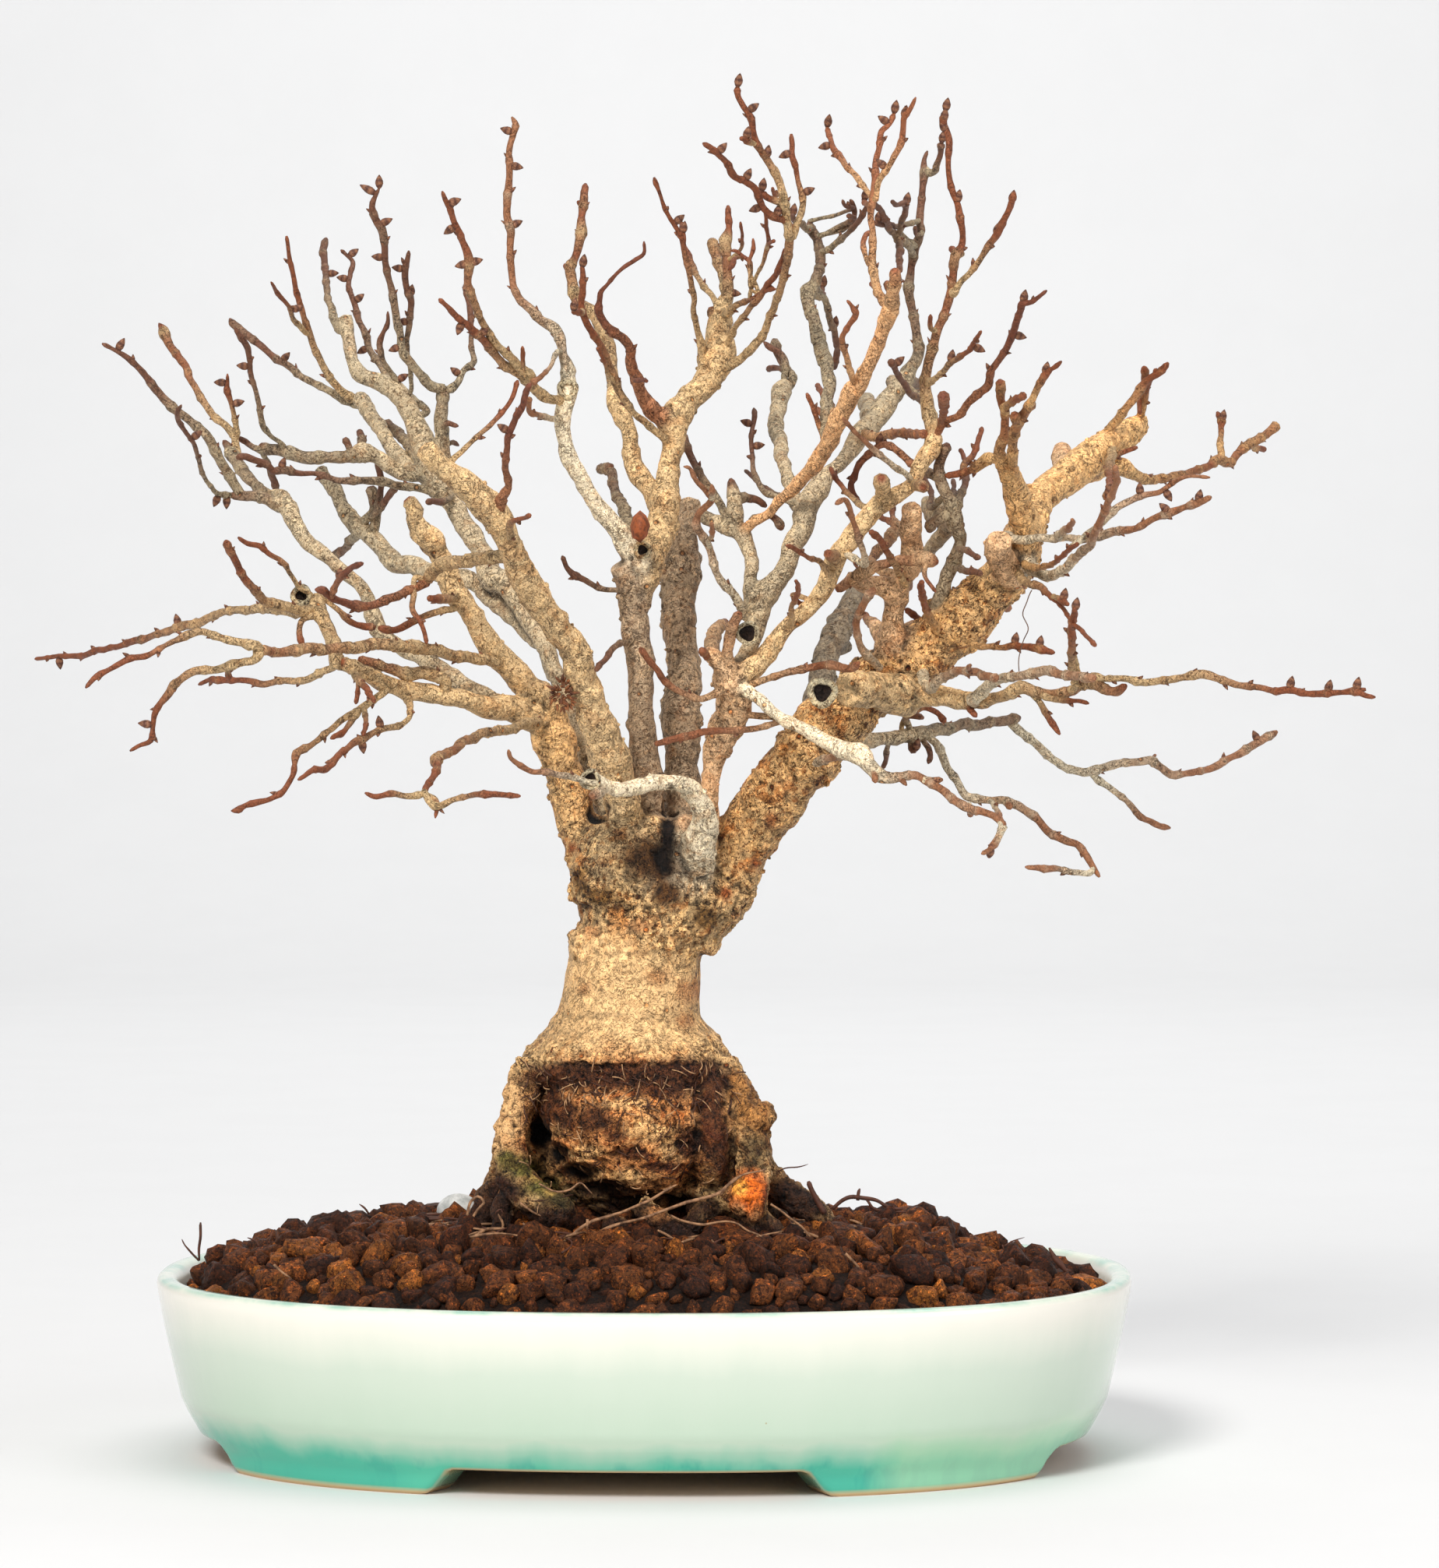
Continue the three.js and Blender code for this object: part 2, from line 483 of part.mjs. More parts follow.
limb("white_twig", "grey_right", -52,
  "956,792,14 951,780,12 942,762,11 928,748,11 919,726,10 911,703,10 900,686,10 892,672,12 " +
  "896,660,8 905,652,9 914,641,9 905,630,7 892,614,6 884,600,5 878,599,4");
limb("twig", "white_twig", -48,
  "914,641,8 915,628,8 914,622,4");
limb("twig", "white_twig", -56,
  "911,698,6 914,682,7 914,672,5");
limb("grey_stem", "grey_right", 66,
  "1026,652,22 1019,636,20 1012,616,18 1006,594,18 1001,566,20 996,540,20 1000,516,22 1003,502,27 " +
  "1008,494,22");
limb("twig", "grey_stem", 78,
  "1010,498,14 1018,488,12 1009,472,11 1001,456,11 996,442,13 993,436,10");
limb("twig", "grey_stem", 74,
  "999,452,9 990,447,7 981,439,5");
limb("twig", "grey_stem", 84,
  "1006,474,7 994,472,8 986,474,7");
limb("twig", "grey_right", 34,
  "1012,642,9 1002,640,8 985,632,8 973,619,8 966,606,7 966,590,6 966,570,6 967,550,6 970,535,7 " +
  "968,524,5");
limb("twig", "grey_right", 38,
  "973,619,7 965,611,6 957,604,6");
limb("light_up", "grey_up", -56,
  "960,676,14 970,668,12 984,661,12 1001,645,13 1018,629,16 1034,610,18 1048,596,22 1057,582,24 " +
  "1066,560,22 1075,538,24 1086,518,22 1096,500,26 1104,494,22 1113,474,19 1124,448,19 1132,426,18 " +
  "1142,404,20 1146,392,22");
limb("light_up_left", "light_up", -40,
  "1144,398,15 1138,390,13 1130,377,11 1124,355,11 1121,336,11 1120,316,9 1120,297,8 1117,272,9 " +
  "1120,255,9 1124,232,9 1126,204,8 1129,180,8 1133,166,9 1143,158,6 1148,146,8");
limb("twig", "light_up_left", -36,
  "1120,340,8 1110,328,7 1109,311,7 1114,300,7 1120,299,7");
limb("twig", "light_up_left", -38,
  "1128,378,9 1124,370,8 1119,364,6");
limb("twig", "light_up_left", -64,
  "1121,256,8 1130,232,8 1144,208,8 1155,188,8 1158,171,8 1161,152,8 1169,140,6 1176,125,4");
limb("twig", "light_up_left", -20,
  "1119,252,7 1107,238,8 1096,224,8 1082,208,8 1071,194,9 1067,180,6 1062,164,8");
limb("twig", "light_up_left", -20,
  "1120,262,8 1113,262,7 1109,256,7");
limb("light_up_right", "light_up", -66,
  "1146,392,20 1146,372,18 1149,358,15 1149,346,14");
limb("twig", "grey_right", -10,
  "1172,324,9 1158,308,9 1146,297,9 1136,279,9 1122,260,7");
limb("twig", "grey_right", 2,
  "1142,290,7 1132,287,9 1123,286,6");
limb("twig", "grey_right", -4,
  "1152,303,10 1155,317,10 1156,334,9 1155,348,8");
limb("twig", "grey_right", -14,
  "1155,306,8 1160,280,8 1162,262,8 1152,264,6 1145,258,6");
limb("twig", "grey_right", 38,
  "1190,222,11 1200,221,9 1202,212,8 1207,198,7 1209,184,10");
limb("twig", "grey_right", 30,
  "1184,300,6 1177,300,5 1175,291,5");
limb("twig", "light_up_left", -44,
  "1148,384,12 1142,368,12 1138,362,9");
limb("light_left_grey", "light_up", 28,
  "1062,556,18 1062,530,16 1064,505,15 1063,480,17 1058,455,20 1050,430,18 1046,410,16 1038,392,17 " +
  "1036,376,20 1046,362,15 1052,345,13 1054,325,14 1049,305,12 1041,292,12 1039,284,6");
limb("twig", "light_left_grey", -20,
  "1040,294,9 1028,286,8 1016,278,8 1006,270,7");
limb("twig", "light_left_grey", -14,
  "1056,324,9 1066,318,8 1078,307,9 1090,298,7 1101,284,8 1110,272,7 1117,262,8");
limb("twig", "light_left_grey", 8,
  "1098,280,7 1097,265,6 1092,257,7");
limb("twig", "light_left_grey", 4,
  "1096,278,6 1088,277,6");
limb("twig", "light_left_grey", 0,
  "1094,266,5 1085,264,5 1082,257,5");
limb("twig", "light_left_grey", 46,
  "1046,378,10 1057,380,9 1064,401,9 1071,420,9 1074,440,9 1075,457,9 1072,474,6");
limb("twig", "light_left_grey", 38,
  "1057,380,8 1056,369,7");
limb("twig", "light_up", -70,
  "1096,490,8 1093,479,8 1088,460,8 1083,443,8 1083,435,8 1090,418,7 1099,401,9 1093,392,5 " +
  "1088,386,5");
limb("twig", "light_up", -30,
  "1060,575,8 1056,558,7 1049,540,7 1042,520,7 1036,505,7");
limb("twig", "light_up", 14,
  "1070,524,9 1058,508,8 1050,494,7");
limb("twig", "light_up", 0,
  "1064,548,12 1055,530,10 1048,524,6");
limb("twig", "grey_right", 64,
  "1120,540,24 1116,524,22 1113,514,22");
limb("twig", "grey_right", 72,
  "1118,530,10 1126,515,8");
limb("twig", "grey_right", 60,
  "1152,500,20 1146,490,16");
limb("twig", "grey_right", -30,
  "1190,522,10 1175,510,9 1163,496,8 1152,481,8 1143,463,9");
limb("twig", "grey_right", 62,
  "1168,488,12 1180,497,12");
// limb that runs up and right to the brown crown
limb("brown_up", "front_knot", -40,
  "942,880,40 956,868,28 970,857,26 992,829,22 1012,804,20 1026,792,20 1046,773,24 1060,752,26 " +
  "1068,728,27 1080,706,27 1094,688,26 1110,668,26 1124,652,25 1138,642,24 1158,633,20 1172,622,20 " +
  "1180,603,20 1189,588,25 1198,573,22 1197,556,20 1193,535,18 1191,515,17 1190,495,14 1192,470,13 " +
  "1197,446,13 1203,425,12 1212,405,11 1219,387,11 1223,368,11 1225,348,11 1227,328,14 1233,316,9 " +
  "1235,300,8 1232,280,9 1229,261,9 1222,241,8 1218,220,7 1218,202,7 1218,182,9 1215,168,8 " +
  "1211,156,9 1214,143,7");
limb("twig", "brown_up", -48,
  "1182,622,14 1186,626,14");
limb("twig", "brown_up", -46,
  "1136,640,22 1133,622,20 1132,613,17");
limb("twig", "brown_up", -52,
  "1072,716,16 1063,710,13");
limb("twig", "brown_up", -76,
  "1015,801,8 1016,782,7 1023,767,7 1025,756,7 1022,745,5");
limb("twig", "brown_up", -20,
  "1020,765,7 1028,775,6 1034,774,5");
limb("twig", "brown_up", -66,
  "1066,738,8 1052,722,8 1038,716,6 1018,704,7 1010,700,5");
limb("cross_twig", "brown_up", -60,
  "1170,618,9 1144,595,8 1124,578,8 1107,564,6 1088,544,6 1082,536,4");
limb("twig", "brown_up", -58,
  "1224,378,9 1236,362,8 1250,348,8 1261,331,8 1270,314,9 1278,303,10 1289,280,8 1298,264,9 " +
  "1303,247,6");
limb("twig", "brown_up", -40,
  "1196,422,7 1195,412,6 1195,404,4");
limb("twig", "brown_up", -82,
  "1192,492,9 1203,485,8 1214,474,8 1230,460,8 1244,451,7 1250,440,6 1260,425,5");
limb("twig", "brown_up", -24,
  "1236,326,8 1228,324,9 1220,318,7");
limb("brown_right", "brown_up", -88,
  "1202,556,10 1208,546,9 1216,541,9 1229,534,9 1242,520,10 1257,504,11 1268,494,11 1275,476,9 " +
  "1284,460,9 1295,440,9 1303,420,9 1309,401,9 1313,389,11 1322,388,6 1331,383,6 1344,373,5");
limb("twig", "brown_right", -74,
  "1208,542,9 1212,526,10 1211,508,16");
limb("link", "grey_right", -34,
  "1127,561,13 1146,557,12 1160,558,12 1188,557,12");
limb("red_loop", "brown_up", -6,
  "1127,572,9 1117,580,9 1106,592,9 1098,606,9 1092,622,9 1098,640,9 1110,652,9");
limb("twig", "brown_up", -8,
  "1108,650,8 1090,634,7 1076,617,7 1066,600,6");
limb("white_left", "brown_up", -62,
  "1112,724,9 1110,707,8 1102,687,8 1096,670,7 1090,651,7 1083,642,7 1073,647,6");
// knotted part on the main right limb
limb("knot_column", "right_limb", -14,
  "1146,860,66 1146,838,56 1147,815,48 1147,796,32 1149,777,29 1152,758,28 1158,742,26");
limb("knot_left", "knot_column", -20,
  "1150,762,28 1136,754,26 1120,752,24 1106,750,20 1098,741,18 1086,750,14 1074,758,12");
limb("knot_bridge", "knot_column", -34,
  "1098,741,16 1112,732,20 1128,726,14 1145,721,11 1160,719,13 1175,718,16 1192,720,20 1204,722,13");
limb("knot_stub", "knot_column", -30,
  "1158,742,24 1166,736,28 1172,722,34 1173,700,30 1170,676,32 1170,652,27");
limb("twig", "knot_stub", 10,
  "1165,742,14 1166,754,12");
limb("twig", "knot_stub", 18,
  "1118,720,12 1128,706,14 1140,694,15 1148,682,18");
limb("dark_cross", "knot_stub", -52,
  "1163,749,10 1152,732,9 1141,712,9 1132,693,9 1118,682,8");
limb("twig", "knot_stub", 0,
  "1155,682,8 1141,670,8 1127,659,8");
limb("twig", "knot_stub", 4,
  "1150,670,8 1146,662,7 1147,645,6");
limb("twig", "knot_column", 22,
  "1140,832,24 1132,815,22 1120,800,14 1110,788,9");
limb("twig", "knot_column", 8,
  "1155,826,28 1168,808,22 1176,801,12");
limb("twig", "right_limb", 2,
  "1192,810,12 1177,794,9 1163,782,8");
limb("twig", "right_limb", -50,
  "1201,805,12 1194,791,9 1186,774,9 1183,760,10 1184,746,7");
limb("twig", "knot_bridge", -38,
  "1186,736,6 1197,754,5 1202,760,5");
limb("white_loop", "right_limb", -42,
  "1148,874,12 1130,858,11 1113,841,11 1104,822,10 1099,802,10 1106,782,10 1116,766,11 1122,756,12");
limb("twig", "front_knot", -46,
  "964,880,10 976,875,9 992,869,9 1018,862,10 1048,855,10 1068,854,12 1096,856,11 1104,850,6");
limb("back_right", "trunk", 82,
  "925,1110,44 955,1050,38 985,1010,34 1010,975,30 1035,935,28 1043,905,28 1052,880,30 1060,850,32 " +
  "1070,822,36 1082,796,33 1093,774,30 1101,755,24", 4);
limb("twig", "back_right", 74,
  "1076,832,24 1090,828,14");
limb("cut_stub", "right_limb", -34,
  "1160,892,50 1135,888,48 1108,885,47 1090,884,45");
limb("grey_cross", "front_knot", -84,
  "938,878,20 950,882,15 970,893,16 988,910,15 1006,922,17 1032,936,16 1062,953,19 1085,962,24 " +
  "1104,968,27 1118,984,19 1130,995,17 1146,998,15 1160,997,12 1177,996,11 1191,1004,11 " +
  "1208,1015,11 1225,1026,11 1242,1035,13 1261,1043,9 1281,1053,9 1291,1062,5");
limb("twig", "grey_cross", -92,
  "1284,1056,7 1280,1075,7 1272,1090,9 1270,1101,6");
limb("twig", "grey_cross", -96,
  "1273,1090,7 1261,1096,6");
limb("twig", "grey_cross", -66,
  "1186,1000,8 1197,1001,7 1211,1001,6");
limb("twig", "grey_cross", -68,
  "1244,1036,10 1246,1047,8");
limb("twig", "grey_cross", -60,
  "1122,990,8 1124,1004,7");
limb("twig", "grey_cross", -62,
  "1152,998,8 1158,1002,7 1164,1008,5");
limb("white_link", "right_limb", -38,
  "1040,985,13 1055,977,12 1070,972,11 1088,968,13 1102,968,18");
limb("twig", "front_knot", -46,
  "1004,926,9 995,930,8 970,935,9 942,938,9 914,938,9 886,944,10 858,952,9 841,955,8");
limb("grey_cut", "trunk", -46,
  "895,1112,50 900,1080,46 905,1050,38 898,1028,28 880,1010,22 855,1004,20 820,1010,20 792,1014,19 " +
  "775,1008,19 760,1001,22", -12);
limb("twig", "grey_cut", -50,
  "775,1012,14 764,1020,13 760,1023,14");
limb("twig", "grey_cut", -66,
  "766,1004,8 742,1001,8 722,995,8 702,991,8 683,991,7 669,984,7 656,973,7 653,963,6");
// main right limb and its ends
limb("right_upright", "right_limb", -58,
  "1318,705,46 1318,678,42 1311,655,36 1303,628,28 1296,608,26 1288,595,20 1284,586,18 1289,564,13 " +
  "1290,547,12 1291,530,11 1287,514,11 1285,498,12 1284,489,15");
limb("right_upright_side", "right_upright", -70,
  "1302,625,20 1303,608,13 1300,590,13 1300,572,14 1303,556,13 1309,539,14 1317,528,13 1326,517,13");
limb("twig", "right_upright_side", -68,
  "1306,543,12 1303,531,11");
limb("twig", "right_upright_side", -88,
  "1322,520,9 1330,503,9 1334,493,9 1342,482,11 1350,474,6 1363,464,5");
limb("twig", "right_upright", -84,
  "1290,528,12 1302,515,10 1314,508,9");
limb("twig", "right_upright", -30,
  "1284,588,15 1276,589,14 1264,589,11 1261,592,10 1247,603,10 1230,609,9 1214,611,10");
limb("twig", "right_upright", -14,
  "1238,605,8 1240,592,8 1248,585,8 1254,572,8 1259,558,7 1261,549,6");
limb("twig", "right_upright", -10,
  "1240,592,7 1235,582,6 1233,577,5");
limb("right_rise", "right_limb", 48,
  "1312,700,48 1322,668,46 1332,645,46 1345,632,42 1360,620,40 1378,607,44 1396,594,42 1412,579,38 " +
  "1428,566,34 1443,560,40 1454,551,34 1464,546,28");
limb("right_knob", "right_rise", 40,
  "1368,604,30 1365,590,25 1364,577,25");
limb("twig", "right_rise", 20,
  "1422,560,13 1436,538,12 1450,518,10 1461,507,11 1472,490,10 1484,482,9 1500,466,8");
limb("twig", "right_rise", 26,
  "1470,494,9 1471,483,11 1469,471,8");
limb("twig", "right_rise", 22,
  "1480,484,6 1485,474,6");
limb("twig", "right_rise", 34,
  "1463,512,6 1464,532,5");
limb("twig", "right_rise", 30,
  "1430,585,7 1444,580,6 1461,574,6");
limb("right_rise_low", "right_rise", 96,
  "1352,636,20 1376,622,20 1394,612,20 1411,607,21 1428,602,18 1442,600,22 1453,608,17 1470,614,13 " +
  "1492,613,12 1512,610,10 1531,605,10 1551,599,10 1566,591,14 1578,593,11 1590,582,11 1607,570,14 " +
  "1624,558,11 1640,546,13");
limb("twig", "right_rise_low", 84,
  "1567,590,11 1566,568,8 1568,552,8 1568,541,11 1563,529,7");
limb("twig", "right_rise_low", 104,
  "1610,574,8 1624,577,8");
limb("drop", "right_rise", -20,
  "1427,575,12 1426,590,12 1424,610,10 1424,626,9 1422,638,12");
limb("right_rough", "right_limb", -30,
  "1300,735,44 1290,722,42 1280,705,38 1284,692,28");
limb("right_level", "right_limb", -76,
  "1312,698,20 1300,690,14 1292,688,14 1309,693,12 1337,690,10 1362,690,10 1390,692,9 1408,688,12 " +
  "1428,682,13 1444,682,10 1467,675,9 1486,666,9 1500,659,12 1520,652,8 1537,647,11 1555,638,7");
limb("twig", "right_level", -84,
  "1360,690,9 1370,679,9 1376,672,7 1377,667,5");
limb("twig", "right_level", -52,
  "1376,702,7 1402,683,8 1422,666,8 1430,658,10 1450,644,9 1467,636,8 1489,631,7 1506,622,6 " +
  "1526,612,5 1554,613,4");
limb("white_arch", "right_limb", -100,
  "1316,722,24 1324,730,18 1337,738,14 1354,738,13 1373,726,13 1387,710,12 1401,698,11 1406,684,10 " +
  "1414,668,10 1422,650,10 1430,634,9 1433,614,9 1432,599,9");
limb("twig", "right_limb", -82,
  "1330,728,9 1351,724,7 1368,710,7 1384,698,6");
limb("droop", "right_limb", -72,
  "1308,738,12 1314,746,10 1331,752,10 1351,766,7 1365,780,6 1374,795,5");
limb("twig", "droop", -78,
  "1352,766,6 1362,771,9 1372,776,6");
limb("twig", "right_limb", -36,
  "1250,826,10 1261,829,8 1278,829,8 1290,830,8 1303,827,10 1318,829,8 1334,833,11 1354,838,7");
limb("twig", "right_limb", 20,
  "1288,775,12 1296,781,9");
limb("right_mid", "right_limb", -32,
  "1200,820,32 1203,797,22 1207,772,19 1213,748,17 1219,730,20 1228,712,17 1233,695,15 1230,678,17 " +
  "1224,655,20 1216,635,17 1209,614,15 1206,600,14 1210,585,13 1217,570,13");
limb("twig", "right_mid", -44,
  "1232,702,9 1247,710,8 1258,716,7");
limb("twig", "right_mid", -40,
  "1222,729,9 1242,732,9 1260,737,8");
limb("grey_lump", "right_mid", 14,
  "1226,672,22 1214,664,30 1203,658,34 1194,650,26 1190,643,16");
limb("grey_lean", "right_mid", 12,
  "1224,670,20 1210,688,20 1198,704,19 1188,716,20 1178,726,22");
limb("twig", "right_mid", -22,
  "1206,668,14 1196,674,14 1193,683,14");
limb("twig", "right_mid", -4,
  "1228,650,13 1233,637,11 1240,624,9 1242,609,8");
limb("twig", "right_mid", 2,
  "1224,648,8 1226,632,7 1224,616,6");
limb("twig", "right_mid", 16,
  "1228,668,12 1234,674,9");
limb("twig", "right_mid", -20,
  "1205,614,12 1192,608,14 1186,605,12");
limb("twig", "right_mid", 4,
  "1195,650,8 1196,632,7 1190,620,6 1186,612,6");
// low limbs on the right
limb("low_right", "right_limb", -70,
  "1160,892,34 1185,892,30 1208,894,27 1236,898,23 1258,900,22 1278,897,15 1298,890,15 1312,884,18 " +
  "1325,888,14 1342,891,13 1362,891,13 1376,886,14 1390,879,14 1404,876,18 1420,884,12 1434,886,12 " +
  "1446,880,10");
limb("long_right", "low_right", -122,
  "1404,872,16 1422,871,8 1439,872,8 1454,873,11 1475,874,10 1498,871,10 1520,870,9 1545,867,13 " +
  "1562,871,10 1582,877,10 1598,881,9 1621,884,8 1646,886,9 1655,886,11 1677,889,8 1699,892,10 " +
  "1724,889,7 1741,887,10 1752,893,7 1766,895,5");
limb("twig", "long_right", -118,
  "1740,887,9 1754,885,7");
limb("low_upper", "low_right", -88,
  "1250,898,18 1262,888,16 1272,878,14 1288,872,13 1306,870,12 1326,864,13 1345,859,14 1358,864,12 " +
  "1376,867,12 1393,869,12 1406,871,12");
limb("low_light", "right_limb", -66,
  "1196,884,16 1208,872,12 1222,865,11 1244,863,11 1264,867,11 1280,871,11");
limb("twig", "low_light", -72,
  "1243,862,6 1246,854,5");
limb("twig", "low_right", -96,
  "1380,884,12 1380,870,11 1377,850,10 1376,827,10 1377,802,9 1379,788,10 1380,781,6");
limb("twig", "low_right", -108,
  "1379,803,6 1393,813,6 1407,829,6");
limb("twig", "low_right", -50,
  "1325,890,8 1332,899,8 1342,914,8 1352,928,9 1361,943,6");
limb("twig", "low_right", -62,
  "1340,892,9 1359,899,8 1376,899,6 1398,903,5");
limb("twig", "low_right", -36,
  "1244,902,13 1248,912,9 1254,920,6");
limb("low_bar", "right_limb", 40,
  "1092,958,24 1107,953,20 1132,948,17 1158,946,19 1172,944,22 1191,940,17 1211,935,16 1236,931,15 " +
  "1256,930,15 1278,926,13 1300,923,14 1310,921,10");
limb("low_far", "low_bar", 84,
  "1298,924,12 1306,934,11 1323,948,11 1340,965,11 1356,978,10 1376,987,10 1400,989,13 1416,986,11 " +
  "1444,980,11 1464,979,11 1478,977,11 1489,985,11 1501,994,11 1520,994,9 1540,991,9 1562,983,10 " +
  "1582,973,9 1597,965,11 1615,953,10 1632,944,10 1640,939,8");
limb("twig", "low_far", 70,
  "1402,992,9 1425,1012,8 1444,1026,8 1461,1046,9 1475,1054,8 1486,1059,9 1503,1063,5");
limb("twig", "low_far", 70,
  "1478,976,6 1484,969,4");
limb("low_drop", "low_bar", -8,
  "1192,944,12 1200,953,11 1208,965,11 1219,990,11 1233,1010,10 1244,1022,12 1256,1026,11 " +
  "1270,1028,10 1289,1028,11 1306,1032,11 1320,1043,11 1337,1057,10 1354,1071,10 1370,1081,11 " +
  "1384,1085,9 1393,1096,9 1404,1113,8 1412,1126,5");
limb("twig", "low_drop", -24,
  "1403,1117,7 1382,1120,8 1362,1117,8 1342,1116,9 1317,1113,6");
limb("twig", "low_drop", -18,
  "1275,1032,7 1283,1046,7 1290,1060,6");
limb("twig", "low_drop", 2,
  "1292,1030,9 1298,1038,7");
limb("loop", "low_bar", 14,
  "1158,944,7 1158,930,7 1164,920,7 1176,915,7 1186,910,7 1204,914,8 1214,928,8");
limb("twig", "low_bar", 6,
  "1164,920,8 1176,918,9 1186,922,8");
limb("twig", "low_bar", 20,
  "1140,950,7 1138,965,7 1137,978,7 1133,987,6");
limb("twig", "low_bar", 10,
  "1170,950,8 1170,962,8 1176,964,10");
limb("twig", "low_bar", 8,
  "1186,950,8 1194,963,8 1195,972,7 1192,980,6");

// repeatable random numbers between 0 and 1
function makeRandom(seed) {
  let state = seed;
  return () => {
    state = (state * 1664525 + 1013904223) % 4294967296;
    return state / 4294967296;
  };
}

// closed surface through a stack of rings that all have the same number of points
function skin(rings) {
  const count = rings[0].length;
  const points = rings.flat();
  const bottom = points.length;
  const top = bottom + 1;
  points.push(middle(rings[0]), middle(rings[rings.length - 1]));
  const triangles = [];
  for (let r = 0; r < rings.length - 1; r += 1) {
    for (let i = 0; i < count; i += 1) {
      const next = (i + 1) % count;
      const a = r * count + i;
      const b = r * count + next;
      const c = a + count;
      const d = b + count;
      triangles.push(a, b, d, a, d, c);
    }
  }
  const last = (rings.length - 1) * count;
  for (let i = 0; i < count; i += 1) {
    const next = (i + 1) % count;
    triangles.push(bottom, next, i);
    triangles.push(top, last + i, last + next);
  }
  const geometry = new THREE.BufferGeometry().setFromPoints(points);
  geometry.setIndex(triangles);
  return geometry;
}

function middle(ring) {
  const sum = ring.reduce((total, point) => total.add(point), new THREE.Vector3());
  return sum.divideScalar(ring.length);
}

function toSolid(geometry) {
  const bare = geometry.clone();
  bare.deleteAttribute("normal");
  bare.deleteAttribute("uv");
  const merged = mergeVertices(bare, 1e-5);
  const vertProperties = new Float32Array(merged.attributes.position.array);
  const triVerts = new Uint32Array(merged.index.array);
  return new wasm.Manifold(new wasm.Mesh({ numProp: 3, vertProperties, triVerts }));
}

function toGeometry(solid) {
  const mesh = solid.getMesh();
  const geometry = new THREE.BufferGeometry();
  geometry.setAttribute("position", new THREE.Float32BufferAttribute(mesh.vertProperties, 3));
  geometry.setIndex(new THREE.BufferAttribute(mesh.triVerts, 1));
  geometry.computeVertexNormals();
  return geometry;
}

// the outermost skin of a grown piece: pockets that its crossing limbs enclose are left out
function outerSkin(solid) {
  const mesh = solid.getMesh();
  const owner = Array.from({ length: mesh.vertProperties.length / 3 }, (_, i) => i);
  const find = (i) => {
    let root = i;
    while (owner[root] !== root) root = owner[root];
    owner[i] = root;
    return root;
  };
  for (let t = 0; t < mesh.triVerts.length; t += 3) {
    const root = find(mesh.triVerts[t]);
    owner[find(mesh.triVerts[t + 1])] = root;
    owner[find(mesh.triVerts[t + 2])] = root;
  }
  const skins = new Map();
  for (let t = 0; t < mesh.triVerts.length; t += 3) {
    const root = find(mesh.triVerts[t]);
    if (!skins.has(root)) skins.set(root, []);
    skins.get(root).push(...mesh.triVerts.slice(t, t + 3));
  }
  const largest = [...skins.values()].reduce((a, b) => (b.length > a.length ? b : a));
  const geometry = new THREE.BufferGeometry();
  geometry.setAttribute("position", new THREE.Float32BufferAttribute(mesh.vertProperties, 3));
  geometry.setIndex(largest);
  return toSolid(geometry);
}

function joinAll(solids) {
  let stack = solids;
  while (stack.length > 1) {
    const joined = [];
    for (let i = 0; i < stack.length; i += 2) {
      joined.push(i + 1 < stack.length ? stack[i].add(stack[i + 1]) : stack[i]);
    }
    stack = joined;
  }
  return stack[0];
}

// keeps only the spots that the shape of a limb needs
function thinOut(spots, tolerance) {
  if (spots.length < 3) return spots;
  const first = spots[0];
  const last = spots[spots.length - 1];
  const line = new THREE.Line3(first.position, last.position);
  const foot = new THREE.Vector3();
  let worst = 0;
  let at = 0;
  for (let i = 1; i < spots.length - 1; i += 1) {
    const along = line.closestPointToPointParameter(spots[i].position, true);
    line.at(along, foot);
    const radius = THREE.MathUtils.lerp(first.radius, last.radius, along);
    const error = foot.distanceTo(spots[i].position) + Math.abs(radius - spots[i].radius);
    if (error > worst) {
      worst = error;
      at = i;
    }
  }
  if (worst < tolerance) return [first, last];
  return [...thinOut(spots.slice(0, at + 1), tolerance).slice(0, -1), ...thinOut(spots.slice(at), tolerance)];
}

function sidesFor(radius) {
  if (radius < THIN_LIMB) return 3;
  if (radius < SLIM_LIMB) return 4;
  return radius < STOUT_LIMB ? 5 : 7;
}

// tube of changing thickness through spots that each have a position and a radius
function taperedTube(spots, sides) {
  const rings = [];
  let side = new THREE.Vector3(0, 1, 0);
  spots.forEach((spot, i) => {
    const before = spots[Math.max(i - 1, 0)].position;
    const after = spots[Math.min(i + 1, spots.length - 1)].position;
    const ahead = after.clone().sub(before).normalize();
    side = side.clone().addScaledVector(ahead, -side.dot(ahead)).normalize();
    const across = ahead.clone().cross(side);
    rings.push(Array.from({ length: sides }, (_, k) => {
      const angle = (k / sides) * Math.PI * 2;
      return spot.position.clone()
        .addScaledVector(side, Math.cos(angle) * spot.radius)
        .addScaledVector(across, Math.sin(angle) * spot.radius);
    }));
  });
  return skin(rings);
}

// the last millimetres of a twig swell into its end bud
function withEndBud(spots) {
  const tip = spots[spots.length - 1];
  const before = spots[spots.length - 2];
  const span = tip.position.distanceTo(before.position);
  if (tip.radius > BUD_WIDTH / 2 || span < BUD_LENGTH) return spots;
  const neck = before.position.clone().lerp(tip.position, 1 - BUD_LENGTH / span);
  const belly = before.position.clone().lerp(tip.position, 1 - (BUD_LENGTH * 0.55) / span);
  return [
    ...spots.slice(0, -1),
    { position: neck, radius: tip.radius * 1.1 },
    { position: belly, radius: BUD_WIDTH / 2 },
    { position: tip.position, radius: 0.3 },
  ];
}

